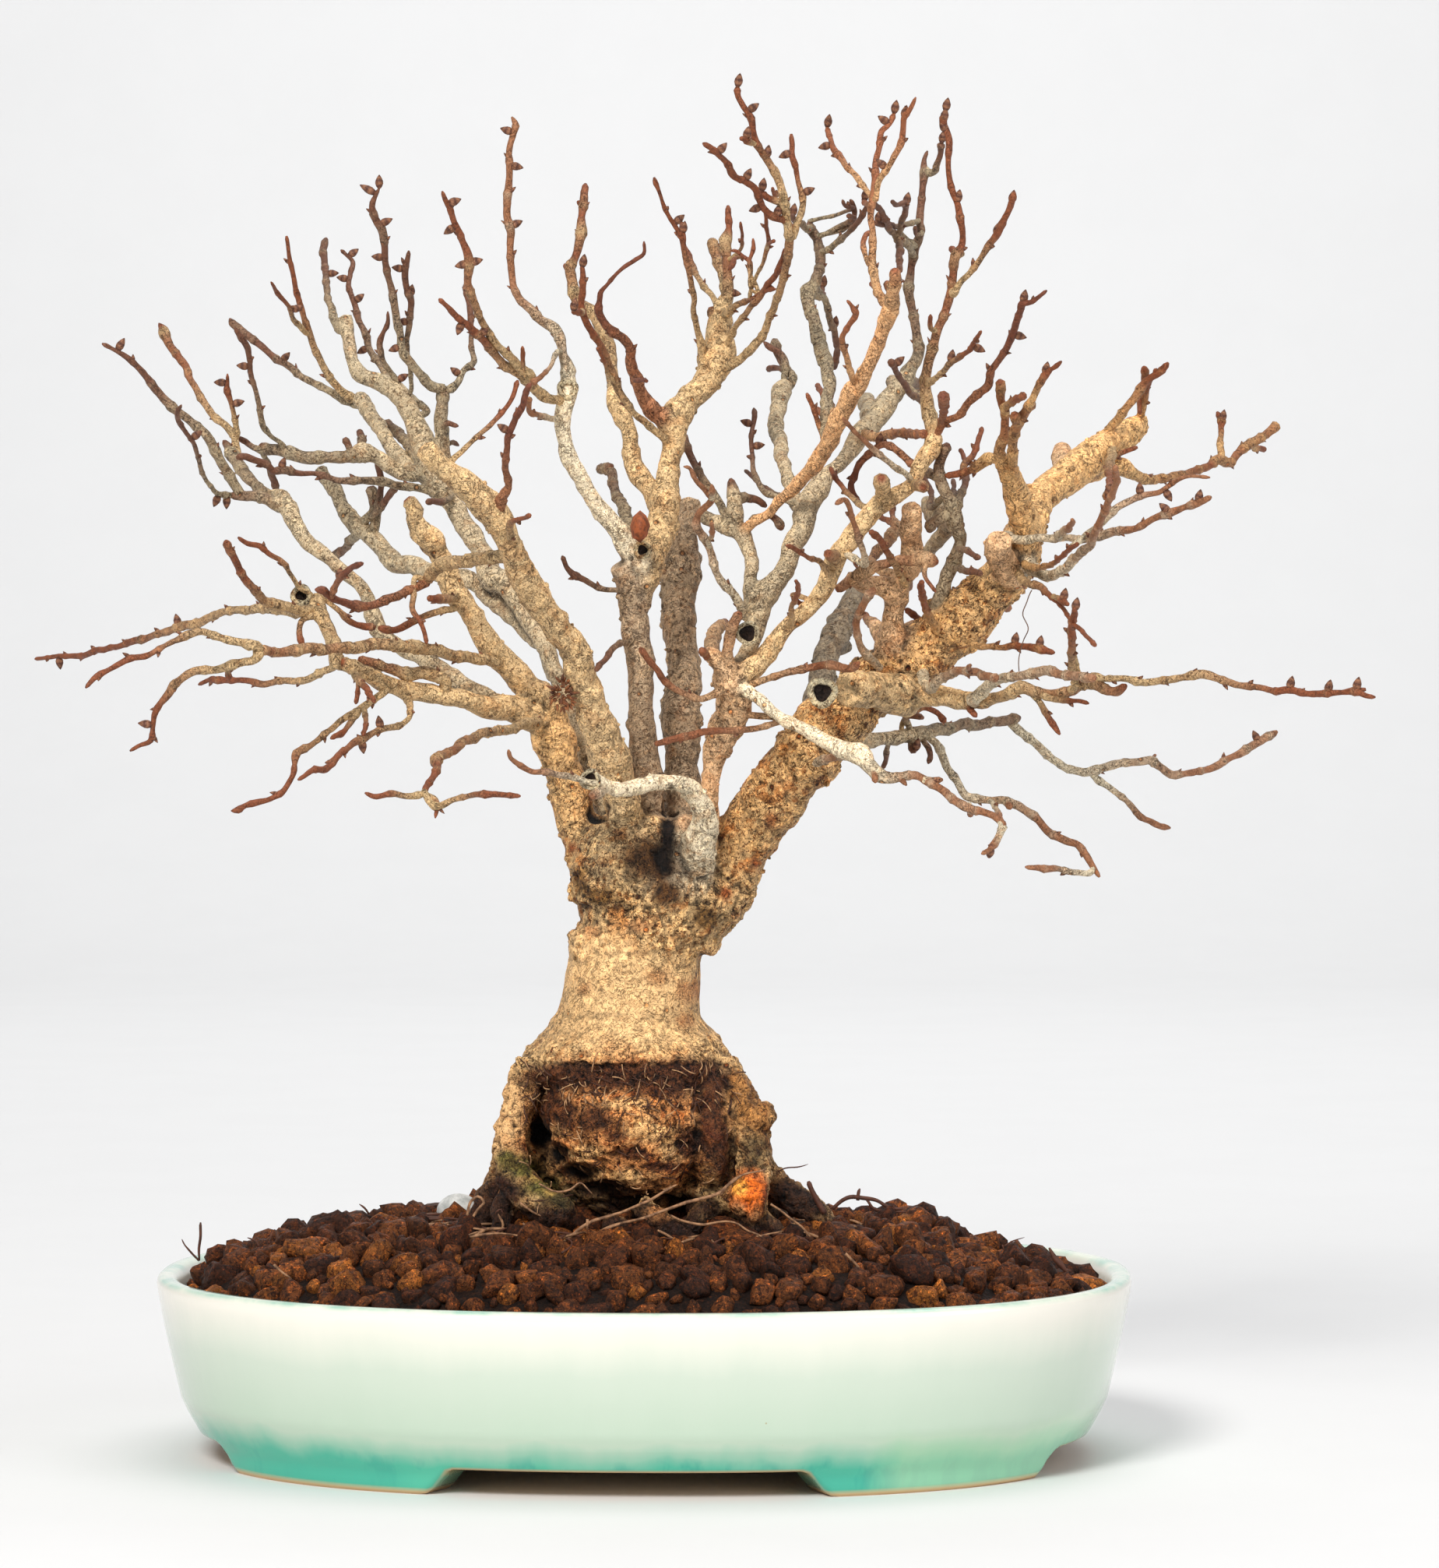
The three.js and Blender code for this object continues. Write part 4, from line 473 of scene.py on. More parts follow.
# grey limbs behind on the left
limb("left_back", "trunk", 74, """
    800,1095,44 784,1045,38 770,1010,34 757,985,32 745,960,30 730,905,26 712,860,22 697,826,24 680,797,22
    663,772,24 652,752,32 632,741,34 621,713,28 607,691,26 593,668,24 582,649,24 566,625,32 552,603,34
    545,580,34 540,560,28 532,537,24 518,514,26 504,498,26 484,489,22 467,484,20 456,467,18 450,447,16
    446,428,18 443,408,20""", base_depth=4)
limb("left_low_back", "left_back", 92, """
    711,866,20 705,844,20 697,824,24 683,813,26 666,796,24 646,780,24 630,769,22 615,755,20 600,745,22
    575,740,22 551,733,22 531,724,24 509,723,28 495,708,24 476,691,22 459,677,24 442,654,18 431,635,18
    420,618,18 411,601,16""")
twigs("left_low_back", """
    100: 456,688,14 443,703,11 428,715,12;
    74: 478,684,13 481,660,13 480,640,14 476,624,15;
    62: 484,655,10 501,635,9 512,621,9;
    66: 487,640,9 487,605,9 485,593,10""")
limb("left_back_right", "left_back", 54, """
    560,612,24 568,573,20 567,554,18 565,534,18 567,514,15 569,500,18""")
twigs("left_back_right", """
    48: 572,545,8 588,547,5;
    62: 570,573,7 582,568,6 589,572,5""")
twigs("left_back", "88: 545,600,18 534,585,16 520,566,15 508,553,14 496,543,11")
twigs("left_back_right", """
    24: 569,500,14 557,496,14 540,482,12 526,465,12 515,445,11 511,426,10 508,403,11 506,386,11 502,364,9
        497,342,9 495,319,9 491,297,12 481,280,9 478,258,8 480,254,6 487,242,5;
    78: 575,500,10 596,476,8 607,466,9 606,445,7 605,420,6 603,400,8 598,372,7 596,365,4""")
twigs("left_back", """
    108: 548,527,9 534,515,9 518,501,8 501,490,9 490,473,9 476,451,9 466,426,9 459,409,8 456,392,8
        446,367,7 449,353,7 452,333,6 446,328,5 438,321,4;
    50: 510,492,7 504,484,7 492,462,7 488,442,9 493,425,6 497,417,6 498,400,4;
    36: 528,503,6 529,487,6 523,455,6 523,442,7 525,414,8 527,384,10 523,370,8 520,347,9 523,336,7
        525,322,5;
    118: 438,425,10 431,411,12 425,394,9 420,358,9 417,333,9 416,312,10 419,306,6""")
limb("left_mid", "left_back", 96, "530,607,24 515,587,22 501,570,18 487,548,20 470,523,20 461,511,22")
twigs("left_mid", """
    116: 461,518,12 444,514,12 422,502,9 397,489,9 372,470,9 352,458,9 327,440,9 306,422,12 299,415,8
        295,409,5""")
limb("left_mid_up", "left_mid", 76, """
    458,512,12 444,506,11 428,492,10 414,467,9 402,442,9 397,428,10 390,408,8 384,383,8 379,365,7
    372,335,6 368,303,5""")
twigs("left_mid_up", "60: 396,428,8 386,420,7 377,411,7 371,395,6 358,378,6 348,362,4")
limb("left_level", "left_back", 48, """
    520,607,20 506,601,20 484,587,18 467,582,24 450,586,16 422,587,15 400,589,18 380,583,16 360,577,17
    338,574,16 334,570,8""")
twigs("left_level", """
    66: 463,575,11 463,562,11 462,553,9;
    52: 450,580,10 442,562,9;
    16: 362,575,8 346,559,6 337,548,8 332,520,7 327,498,6 321,478,7 320,458,7 316,442,9 306,428,7
        302,421,6""")
limb("left_lower_level", "left_back", 26, """
    575,635,12 557,632,12 534,626,11 512,624,11 484,619,11 456,618,10 436,617,9 417,610,8 402,607,7
    380,607,8 366,604,12 352,605,10 344,598,9 327,591,9 313,586,9 304,588,8""")
twigs("left_lower_level", "34: 579,636,8 568,643,9 548,645,8")
twigs("left_level", "62: 338,584,7 346,598,7 349,610,9 355,632,8")
# low limb on the left
limb("left_low", "left_inner", -38, """
    705,925,46 680,917,40 652,910,34 624,906,30 596,897,26 568,894,24 540,890,24 518,886,26 495,878,22
    473,868,20 453,857,18 438,850,20""")
limb("left_low_up", "left_low", -24, "434,850,20 431,833,18 422,813,18 414,791,20 407,774,22 402,768,16")
twigs("left_low_up", """
    92: 400,784,18 383,785,17 360,781,16 338,782,14 318,782,11 299,785,10 276,790,10 254,801,12 232,806,12
        204,814,9 176,822,10 153,828,8 125,836,8 97,842,8 72,843,6 45,846,5;
    -62: 400,782,14 370,780,14 352,775,15 338,768,13 321,750,11 307,730,10 296,710,10 290,695,11;
    -44: 400,764,8 388,755,6 374,738,6 362,720,7 346,712,7 334,702,8 318,698,7 306,690,5;
    -16: 404,766,9 419,772,8 428,780,7 445,795,9 464,802,9 482,806,10""")
twigs("left_inner", "-20: 590,775,10 568,784,9 546,792,9 520,803,10 501,808,9 486,806,10")
twigs("left_low_up", "-34: 405,790,9 388,794,8 386,816,8 388,828,7 369,831,5")
limb("left_long", "left_inner", -72, """
    640,850,14 621,847,14 596,844,16 568,838,15 551,833,16 529,829,18 501,827,16 481,827,14 462,830,18
    439,831,14 417,833,14 400,833,15 380,837,15 360,838,12 344,836,12 332,835,16""")
twigs("left_long", """
    -98: 332,832,13 316,827,12 299,823,11 282,817,10 260,812,9 243,815,12 226,822,7 209,831,7 187,844,8
        167,846,8 142,858,7 122,871,8 110,883,5""")
limb("left_long_low", "left_long", -52, """
    332,839,12 313,850,11 296,855,12 276,859,10 251,862,11 237,868,10 223,879,11 218,890,11 206,903,8
    199,917,8 197,934,6 192,953,8 180,957,6 167,964,5""")
twigs("left_long_low", "-62: 293,858,8 294,872,7")
twigs("left_low", """
    4: 430,853,11 422,858,10 405,868,10 386,873,9 363,874,9 338,877,9 313,873,8 290,873,8 282,873,11
        268,874,6 255,879,5;
    -30: 572,876,16 546,864,16 523,865,18 498,858,14 476,851,12 460,846,12;
    -84: 523,897,12 526,906,10 526,920,7 518,928,8 498,935,8 476,943,8 462,950,11 445,962,9 428,977,9
        417,987,10 402,990,8 383,1001,5""")
limb("left_hang", "left_low", -66, """
    498,884,10 484,897,9 467,908,11 456,913,9 439,924,8 425,936,8 408,950,8 399,956,8 381,965,12 379,981,7
    377,992,8 370,1006,7 363,1016,8 346,1025,7 327,1030,8 313,1036,7 306,1040,10 297,1041,4""")
twigs("left_hang", """
    -48: 460,913,9 453,925,8 442,939,8 425,948,7;
    -60: 467,910,8 470,925,7 467,943,6""")
twigs("left_low", """
    -52: 455,862,7 459,883,6 457,903,6;
    -56: 453,860,10 470,883,9 481,901,7""")
limb("left_under", "left_low", -92, """
    690,928,16 669,932,13 646,938,12 621,942,13 596,953,12 576,966,12 560,977,16 562,985,11 557,998,9
    547,1012,8 545,1019,9""")
twigs("left_under", """
    -104: 545,1019,9 526,1023,8 504,1020,8 481,1022,7 469,1018,5;
    -116: 545,1017,9 551,1026,9 560,1034,10 579,1027,8 602,1022,7 624,1018,9 646,1020,8 668,1022,6;
    -98: 560,1030,8 559,1050,4""")
# upper left limb from the low one
limb("left_upper", "left_low", 20, """
    640,905,20 625,893,20 602,883,20 582,872,24 565,861,24 548,850,22 531,841,20 515,830,19 501,820,18
    487,810,20 479,792,24 473,772,18 464,752,18 444,733,18 422,716,18 402,702,20 388,685,22 377,666,22
    369,649,24 352,645,18 332,638,14 310,636,12 296,636,10""")
limb("left_upper_end", "left_upper", 44, """
    366,640,20 344,634,14 327,621,14 310,604,16 300,587,18 292,573,12 287,566,7""")
limb("left_outer", "left_upper_end", 70, """
    303,587,12 303,572,11 301,560,10 293,548,10 279,537,9 262,517,10 248,492,9 237,470,10 226,456,9
    216,438,11 211,425,14 204,415,4""")
twigs("left_outer", "34: 303,560,9 303,545,8 300,528,6 295,514,7 290,499,8 292,488,5 292,480,4")
twigs("left_level", "46: 338,578,10 327,575,8 313,565,8 304,562,8")
limb("left_far", "left_upper", -8, """
    308,633,13 303,624,13 290,601,13 276,579,13 261,555,12 243,540,11 226,526,12 199,498,11 176,472,8
    160,458,8 153,453,6 131,441,5""")
twigs("left_upper", """
    -30: 292,636,8 281,635,7 271,624,6 260,607,6 254,590,6 248,570,6 237,554,6 227,534,7 233,520,4""")
# centre: the cut stem and the two stems of its fork
limb("centre_stem", "trunk", -12, """
    835,1100,46 836,1040,40 832,992,34 827,970,32 823,914,31 823,859,31 818,822,38 812,785,38 806,745,40
    797,724,30""", base_depth=-2)
limb("centre_left", "centre_stem", -34, """
    822,765,34 823,742,36 812,713,34 803,694,30 789,677,28 775,660,24 761,640,22 747,615,24 733,593,22
    725,565,20 722,537,22 726,515,24 729,496,22 728,470,16 722,454,12 719,437,13 714,423,16 697,412,12
    683,398,12 669,386,11 660,370,9 657,347,9 654,319,9 655,293,11 651,280,10 650,258,10 653,232,9
    653,216,9 653,196,8 659,174,9 663,161,8 657,150,5""")
limb("centre_left_side", "centre_left", -70, """
    722,515,14 714,514,12 700,510,14 686,498,14 672,487,14 663,479,14 646,465,11 630,448,11 610,428,11
    596,414,9 579,398,8 564,384,5""")
twigs("centre_left_side", """
    -86: 683,486,14 666,470,13 652,456,11 638,440,10 624,420,9 613,398,10 606,378,11 602,361,11 602,342,13
        600,322,11 593,305,9 583,286,8 575,263,8 568,246,5;
    -50: 671,478,7 671,462,6 671,445,5""")
twigs("centre_left", """
    -44: 720,452,7 705,473,6 691,486,7 684,492,8;
    -50: 718,538,9 706,538,8 691,533,8 679,528,8 680,511,7""")
limb("front_red", "left_front", -96, """
    640,660,18 646,640,14 652,622,10 648,604,9 651,587,9 652,568,8 660,545,9 669,526,9 676,503,8 681,493,8
""")
twigs("left_front", "-60: 579,594,8 596,576,7 613,560,6 632,543,7 649,524,6 660,504,6 665,488,6")
limb("behind_centre", "centre_left", 26, """
    806,690,16 806,672,16 795,643,14 786,621,13 781,604,14 777,600,18""")
twigs("behind_centre", """
    30: 779,602,10 768,603,12;
    22: 779,602,10 787,598,11""")
twigs("centre_stem", """
    -34: 806,758,9 790,758,7 764,752,7 744,741,9 728,727,7 722,714,5;
    -38: 806,826,9 797,826,8 778,844,8 765,861,7""")
limb("centre_right", "centre_stem", 18, """
    824,750,36 832,732,36 840,706,38 847,686,40 852,665,40 856,640,36 858,620,30 861,594,28 865,566,34
    866,540,44 880,518,38 898,500,36 910,485,38 918,468,42 925,450,42 924,432,32 924,412,28 926,396,24
    934,380,16 935,359,12 934,334,12 932,308,18 936,292,8 935,264,8""")
twigs("centre_right", """
    24: 932,376,12 928,359,12 922,337,12 916,318,14 914,308,16;
    12: 922,412,14 916,404,14 913,394,14""")
limb("centre_right_light", "centre_right", 40, """
    848,650,26 838,632,24 822,612,26 814,594,24 810,575,21 808,558,21 799,536,22 789,516,20 788,496,16
    786,474,16 784,449,16 775,426,16 766,410,16 757,398,16 744,389,14 738,376,16 733,359,13 732,345,14
    740,331,10 743,312,12 747,298,15 747,278,10 750,256,11 752,236,8""")
twigs("centre_right_light", """
    42: 748,262,8 742,259,7;
    46: 733,350,9 726,340,7""")
limb("centre_brown", "centre_right", -30, """
    866,545,30 851,535,28 841,530,24 830,513,20 822,499,16 816,482,14 810,463,13 809,449,12 799,432,12
    788,426,12 777,418,11 768,401,10 770,387,8 771,376,7 780,365,5 788,356,5 805,341,6 816,334,5 827,326,5
    827,310,4""")
twigs("centre_brown", "-34: 815,488,6 824,489,6 831,489,5")
limb("centre_straight", "centre_right", -44, """
    862,572,12 850,562,10 830,544,9 810,527,9 799,510,10 791,491,10 782,468,9 774,449,9 763,429,9
    752,410,9 747,398,9 747,376,9 749,354,8 747,340,6""")
twigs("centre_straight", """
    -48: 748,400,8 736,400,8;
    -38: 790,490,6 780,478,5 772,455,5 767,446,5""")
limb("centre_right_twig", "centre_right", -26, """
    908,468,14 902,447,11 899,432,10 893,412,8 890,397,7 890,380,7 887,362,8 883,343,8 879,325,7 874,305,7
    864,288,7 856,275,6 848,252,5 842,236,6 840,228,6""")
twigs("centre_right", """
    50: 926,398,9 920,388,8 908,373,8 897,356,7 891,342,8 884,328,7 878,312,7 876,299,8 875,285,6""")
limb("centre_fan", "centre_right", -22, """
    932,404,12 941,395,10 952,390,8 963,386,7 975,378,7 990,372,6 996,371,4""")
limb("centre_fan_up", "centre_fan", -40, """
    963,386,6 965,370,5 970,358,5 980,338,5 985,320,6 987,308,6 984,290,5 983,275,5 981,265,5""")
twigs("centre_fan_up", "-44: 986,315,5 994,309,5")
twigs("centre_fan", """
    -10: 965,372,5 963,350,5 962,335,6 955,330,5 945,322,5 938,322,4;
    -12: 962,338,5 968,322,5 967,306,4""")
twigs("centre_right", """
    -6: 952,330,5 944,330,6 940,342,7 936,346,5;
    -8: 948,324,5 953,302,4 951,285,4;
    -34: 934,442,10 942,424,8 952,410,8 963,394,8 978,376,8 992,359,8 1003,340,8 1010,320,8""")
limb("arch", "centre_right", -78, """
    928,470,16 936,470,12 950,463,11 964,449,11 976,435,11 984,421,10 992,401,10 1001,376,10 1006,354,11
    1012,331,11 1014,314,12 1015,298,11 1006,284,10 992,278,9 984,270,9 976,256,9 967,242,9 956,233,8
    939,222,10 934,208,8 922,197,8 908,187,8 903,184,6""")
limb("arch_mid", "arch", -60, """
    1014,304,12 1010,286,12 1008,264,12 1005,247,12 997,225,11 987,208,11 978,196,9 970,184,9 967,168,9
    966,152,9 955,136,8 948,124,8 947,112,10""")
twigs("arch_mid", """
    -64: 968,184,8 960,182,9 951,177,6;
    -50: 1004,262,9 996,258,8 983,252,9 978,246,8;
    -66: 996,250,6 992,241,4""")
twigs("arch", """
    -40: 1016,306,11 1024,288,9 1030,268,9 1031,250,8 1026,232,7 1020,212,7 1016,200,9 1017,186,7
        1016,172,6""")
# thick grey centre stem behind and the knotted front one
limb("back_centre", "trunk", 34, """
    868,1105,54 877,1040,48 877,1000,46 875,952,46 874,910,46 878,870,44 876,840,44 871,800,44 870,770,46
    873,740,56 872,712,52 874,690,44 880,668,30 886,650,26 887,642,26""", base_depth=6)
limb("front_knot", "trunk", -26, """
    902,1090,46 906,1060,36 910,1032,26 912,1008,24 915,985,28 920,962,38 928,945,46 940,915,50 944,892,50
    938,872,44 930,856,30 918,843,22 905,836,16""", base_depth=-8)
twigs("front_knot", """
    -38: 906,843,10 901,834,10;
    -44: 938,880,14 925,888,10 914,893,9 900,897,9 886,893,9 872,888,8 852,874,9 841,857,8 832,845,8
        822,832,9;
    14: 928,860,18 918,840,18 914,826,20 922,808,18 932,797,9;
    -32: 940,870,18 934,835,14 937,815,16 943,800,13 950,786,14""")
limb("grey_right", "front_knot", 52, """
    934,874,40 953,850,26 962,832,24 967,812,26 970,790,28 974,772,34 986,757,32 998,744,26 1009,728,24
    1020,700,25 1032,675,28 1038,652,34 1048,632,32 1062,612,20 1076,596,17 1090,580,22 1107,556,28
    1124,540,27 1138,522,26 1150,505,26 1160,492,24 1168,478,18 1176,462,15 1180,448,14 1177,430,13
    1172,404,12 1167,381,12 1166,368,14 1170,350,10 1173,331,11 1176,317,12 1180,306,12 1183,297,10
    1181,283,10 1183,264,10 1184,247,9 1186,230,11 1188,218,12 1188,205,6 1191,194,5""")
limb("grey_up", "grey_right", 6, """
    968,790,24 964,765,20 966,738,18 966,715,18 958,695,20 948,682,22 930,674,20 915,668,18 900,662,16""")
twigs("grey_up", """
    2: 946,678,22 944,655,24 943,638,20 940,624,13 938,614,5;
    10: 940,655,12 952,638,12 966,640,11 984,650,8;
    -6: 956,682,12 972,665,9 990,662,9 1000,670,11 1004,680,11""")
limb("grey_thin", "grey_up", 20, """
    932,668,12 927,652,11 915,634,11 903,614,11 893,594,10 884,574,10 877,558,12""")
limb("white_twig", "grey_right", -52, """
    956,792,14 951,780,12 942,762,11 928,748,11 919,726,10 911,703,10 900,686,10 892,672,12 896,660,8
    905,652,9 914,641,9 905,630,7 892,614,6 884,600,5 878,599,4""")
twigs("white_twig", """
    -48: 914,641,8 915,628,8 914,622,4;
    -56: 911,698,6 914,682,7 914,672,5""")
limb("grey_stem", "grey_right", 66, """
    1026,652,22 1019,636,20 1012,616,18 1006,594,18 1001,566,20 996,540,20 1000,516,22 1003,502,27
    1008,494,22""")
twigs("grey_stem", """
    78: 1010,498,14 1018,488,12 1009,472,11 1001,456,11 996,442,13 993,436,10;
    74: 999,452,9 990,447,7 981,439,5;
    84: 1006,474,7 994,472,8 986,474,7""")
twigs("grey_right", """
    34: 1012,642,9 1002,640,8 985,632,8 973,619,8 966,606,7 966,590,6 966,570,6 967,550,6 970,535,7
        968,524,5;
    38: 973,619,7 965,611,6 957,604,6""")
limb("light_up", "grey_up", -56, """
    960,676,14 970,668,12 984,661,12 1001,645,13 1018,629,16 1034,610,18 1048,596,22 1057,582,24
    1066,560,22 1075,538,24 1086,518,22 1096,500,26 1104,494,22 1113,474,19 1124,448,19 1132,426,18
    1142,404,20 1146,392,22""")
limb("light_up_left", "light_up", -40, """
    1144,398,15 1138,390,13 1130,377,11 1124,355,11 1121,336,11 1120,316,9 1120,297,8 1117,272,9
    1120,255,9 1124,232,9 1126,204,8 1129,180,8 1133,166,9 1143,158,6 1148,146,8""")
twigs("light_up_left", """
    -36: 1120,340,8 1110,328,7 1109,311,7 1114,300,7 1120,299,7;
    -38: 1128,378,9 1124,370,8 1119,364,6;
    -64: 1121,256,8 1130,232,8 1144,208,8 1155,188,8 1158,171,8 1161,152,8 1169,140,6 1176,125,4;
    -20: 1119,252,7 1107,238,8 1096,224,8 1082,208,8 1071,194,9 1067,180,6 1062,164,8;
    -20: 1120,262,8 1113,262,7 1109,256,7""")
limb("light_up_right", "light_up", -66, "1146,392,20 1146,372,18 1149,358,15 1149,346,14")
twigs("grey_right", """
    -10: 1172,324,9 1158,308,9 1146,297,9 1136,279,9 1122,260,7;
    2: 1142,290,7 1132,287,9 1123,286,6;
    -4: 1152,303,10 1155,317,10 1156,334,9 1155,348,8;
    -14: 1155,306,8 1160,280,8 1162,262,8 1152,264,6 1145,258,6;
    38: 1190,222,11 1200,221,9 1202,212,8 1207,198,7 1209,184,10;
    30: 1184,300,6 1177,300,5 1175,291,5""")
twigs("light_up_left", "-44: 1148,384,12 1142,368,12 1138,362,9")
limb("light_left_grey", "light_up", 28, """
    1062,556,18 1062,530,16 1064,505,15 1063,480,17 1058,455,20 1050,430,18 1046,410,16 1038,392,17
    1036,376,20 1046,362,15 1052,345,13 1054,325,14 1049,305,12 1041,292,12 1039,284,6""")
twigs("light_left_grey", """
    -20: 1040,294,9 1028,286,8 1016,278,8 1006,270,7;
    -14: 1056,324,9 1066,318,8 1078,307,9 1090,298,7 1101,284,8 1110,272,7 1117,262,8;
    8: 1098,280,7 1097,265,6 1092,257,7;
    4: 1096,278,6 1088,277,6;
    0: 1094,266,5 1085,264,5 1082,257,5;
    46: 1046,378,10 1057,380,9 1064,401,9 1071,420,9 1074,440,9 1075,457,9 1072,474,6;
    38: 1057,380,8 1056,369,7""")
twigs("light_up", """
    -70: 1096,490,8 1093,479,8 1088,460,8 1083,443,8 1083,435,8 1090,418,7 1099,401,9 1093,392,5
        1088,386,5;
    -30: 1060,575,8 1056,558,7 1049,540,7 1042,520,7 1036,505,7;
    14: 1070,524,9 1058,508,8 1050,494,7;
    0: 1064,548,12 1055,530,10 1048,524,6""")
twigs("grey_right", """
    64: 1120,540,24 1116,524,22 1113,514,22;
    72: 1118,530,10 1126,515,8;
    60: 1152,500,20 1146,490,16;
    -30: 1190,522,10 1175,510,9 1163,496,8 1152,481,8 1143,463,9;
    62: 1168,488,12 1180,497,12""")
# limb that runs up and right to the brown crown
limb("brown_up", "front_knot", -40, """
    942,880,40 956,868,28 970,857,26 992,829,22 1012,804,20 1026,792,20 1046,773,24 1060,752,26
    1068,728,27 1080,706,27 1094,688,26 1110,668,26 1124,652,25 1138,642,24 1158,633,20 1172,622,20
    1180,603,20 1189,588,25 1198,573,22 1197,556,20 1193,535,18 1191,515,17 1190,495,14 1192,470,13
    1197,446,13 1203,425,12 1212,405,11 1219,387,11 1223,368,11 1225,348,11 1227,328,14 1233,316,9
    1235,300,8 1232,280,9 1229,261,9 1222,241,8 1218,220,7 1218,202,7 1218,182,9 1215,168,8 1211,156,9
    1214,143,7""")
twigs("brown_up", """
    -48: 1182,622,14 1186,626,14;
    -46: 1136,640,22 1133,622,20 1132,613,17;
    -52: 1072,716,16 1063,710,13;
    -76: 1015,801,8 1016,782,7 1023,767,7 1025,756,7 1022,745,5;
    -20: 1020,765,7 1028,775,6 1034,774,5;
    -66: 1066,738,8 1052,722,8 1038,716,6 1018,704,7 1010,700,5""")
limb("cross_twig", "brown_up", -60, "1170,618,9 1144,595,8 1124,578,8 1107,564,6 1088,544,6 1082,536,4")
twigs("brown_up", """
    -58: 1224,378,9 1236,362,8 1250,348,8 1261,331,8 1270,314,9 1278,303,10 1289,280,8 1298,264,9
        1303,247,6;
    -40: 1196,422,7 1195,412,6 1195,404,4;
    -82: 1192,492,9 1203,485,8 1214,474,8 1230,460,8 1244,451,7 1250,440,6 1260,425,5;
    -24: 1236,326,8 1228,324,9 1220,318,7""")
limb("brown_right", "brown_up", -88, """
    1202,556,10 1208,546,9 1216,541,9 1229,534,9 1242,520,10 1257,504,11 1268,494,11 1275,476,9 1284,460,9
    1295,440,9 1303,420,9 1309,401,9 1313,389,11 1322,388,6 1331,383,6 1344,373,5""")
twigs("brown_right", "-74: 1208,542,9 1212,526,10 1211,508,16")
limb("link", "grey_right", -34, "1127,561,13 1146,557,12 1160,558,12 1188,557,12")
limb("red_loop", "brown_up", -6, """
    1127,572,9 1117,580,9 1106,592,9 1098,606,9 1092,622,9 1098,640,9 1110,652,9""")
twigs("brown_up", "-8: 1108,650,8 1090,634,7 1076,617,7 1066,600,6")
limb("white_left", "brown_up", -62, """
    1112,724,9 1110,707,8 1102,687,8 1096,670,7 1090,651,7 1083,642,7 1073,647,6""")
# knotted part on the main right limb
limb("knot_column", "right_limb", -14, """
    1146,860,66 1146,838,56 1147,815,48 1147,796,32 1149,777,29 1152,758,28 1158,742,26""")
limb("knot_left", "knot_column", -20, """
    1150,762,28 1136,754,26 1120,752,24 1106,750,20 1098,741,18 1086,750,14 1074,758,12""")
limb("knot_bridge", "knot_column", -34, """
    1098,741,16 1112,732,20 1128,726,14 1145,721,11 1160,719,13 1175,718,16 1192,720,20 1204,722,13""")
limb("knot_stub", "knot_column", -30, """
    1158,742,24 1166,736,28 1172,722,34 1173,700,30 1170,676,32 1170,652,27""")
twigs("knot_stub", """
    10: 1165,742,14 1166,754,12;
    18: 1118,720,12 1128,706,14 1140,694,15 1148,682,18""")
limb("dark_cross", "knot_stub", -52, "1163,749,10 1152,732,9 1141,712,9 1132,693,9 1118,682,8")
twigs("knot_stub", """
    0: 1155,682,8 1141,670,8 1127,659,8;
    4: 1150,670,8 1146,662,7 1147,645,6""")
twigs("knot_column", """
    22: 1140,832,24 1132,815,22 1120,800,14 1110,788,9;
    8: 1155,826,28 1168,808,22 1176,801,12""")
twigs("right_limb", """
    2: 1192,810,12 1177,794,9 1163,782,8;
    -50: 1201,805,12 1194,791,9 1186,774,9 1183,760,10 1184,746,7""")
twigs("knot_bridge", "-38: 1186,736,6 1197,754,5 1202,760,5")
limb("white_loop", "right_limb", -42, """
    1148,874,12 1130,858,11 1113,841,11 1104,822,10 1099,802,10 1106,782,10 1116,766,11 1122,756,12""")
twigs("front_knot", """
    -46: 964,880,10 976,875,9 992,869,9 1018,862,10 1048,855,10 1068,854,12 1096,856,11 1104,850,6""")
limb("back_right", "trunk", 82, """
    925,1110,44 955,1050,38 985,1010,34 1010,975,30 1035,935,28 1043,905,28 1052,880,30 1060,850,32
    1070,822,36 1082,796,33 1093,774,30 1101,755,24""", base_depth=4)
twigs("back_right", "74: 1076,832,24 1090,828,14")
limb("cut_stub", "right_limb", -34, "1160,892,50 1135,888,48 1108,885,47 1090,884,45")
limb("grey_cross", "front_knot", -84, """
    938,878,20 950,882,15 970,893,16 988,910,15 1006,922,17 1032,936,16 1062,953,19 1085,962,24
    1104,968,27 1118,984,19 1130,995,17 1146,998,15 1160,997,12 1177,996,11 1191,1004,11 1208,1015,11
    1225,1026,11 1242,1035,13 1261,1043,9 1281,1053,9 1291,1062,5""")
twigs("grey_cross", """
    -92: 1284,1056,7 1280,1075,7 1272,1090,9 1270,1101,6;
    -96: 1273,1090,7 1261,1096,6;
    -66: 1186,1000,8 1197,1001,7 1211,1001,6;
    -68: 1244,1036,10 1246,1047,8;
    -60: 1122,990,8 1124,1004,7;
    -62: 1152,998,8 1158,1002,7 1164,1008,5""")
limb("white_link", "right_limb", -38, "1040,985,13 1055,977,12 1070,972,11 1088,968,13 1102,968,18")
twigs("front_knot", """
    -46: 1004,926,9 995,930,8 970,935,9 942,938,9 914,938,9 886,944,10 858,952,9 841,955,8""")
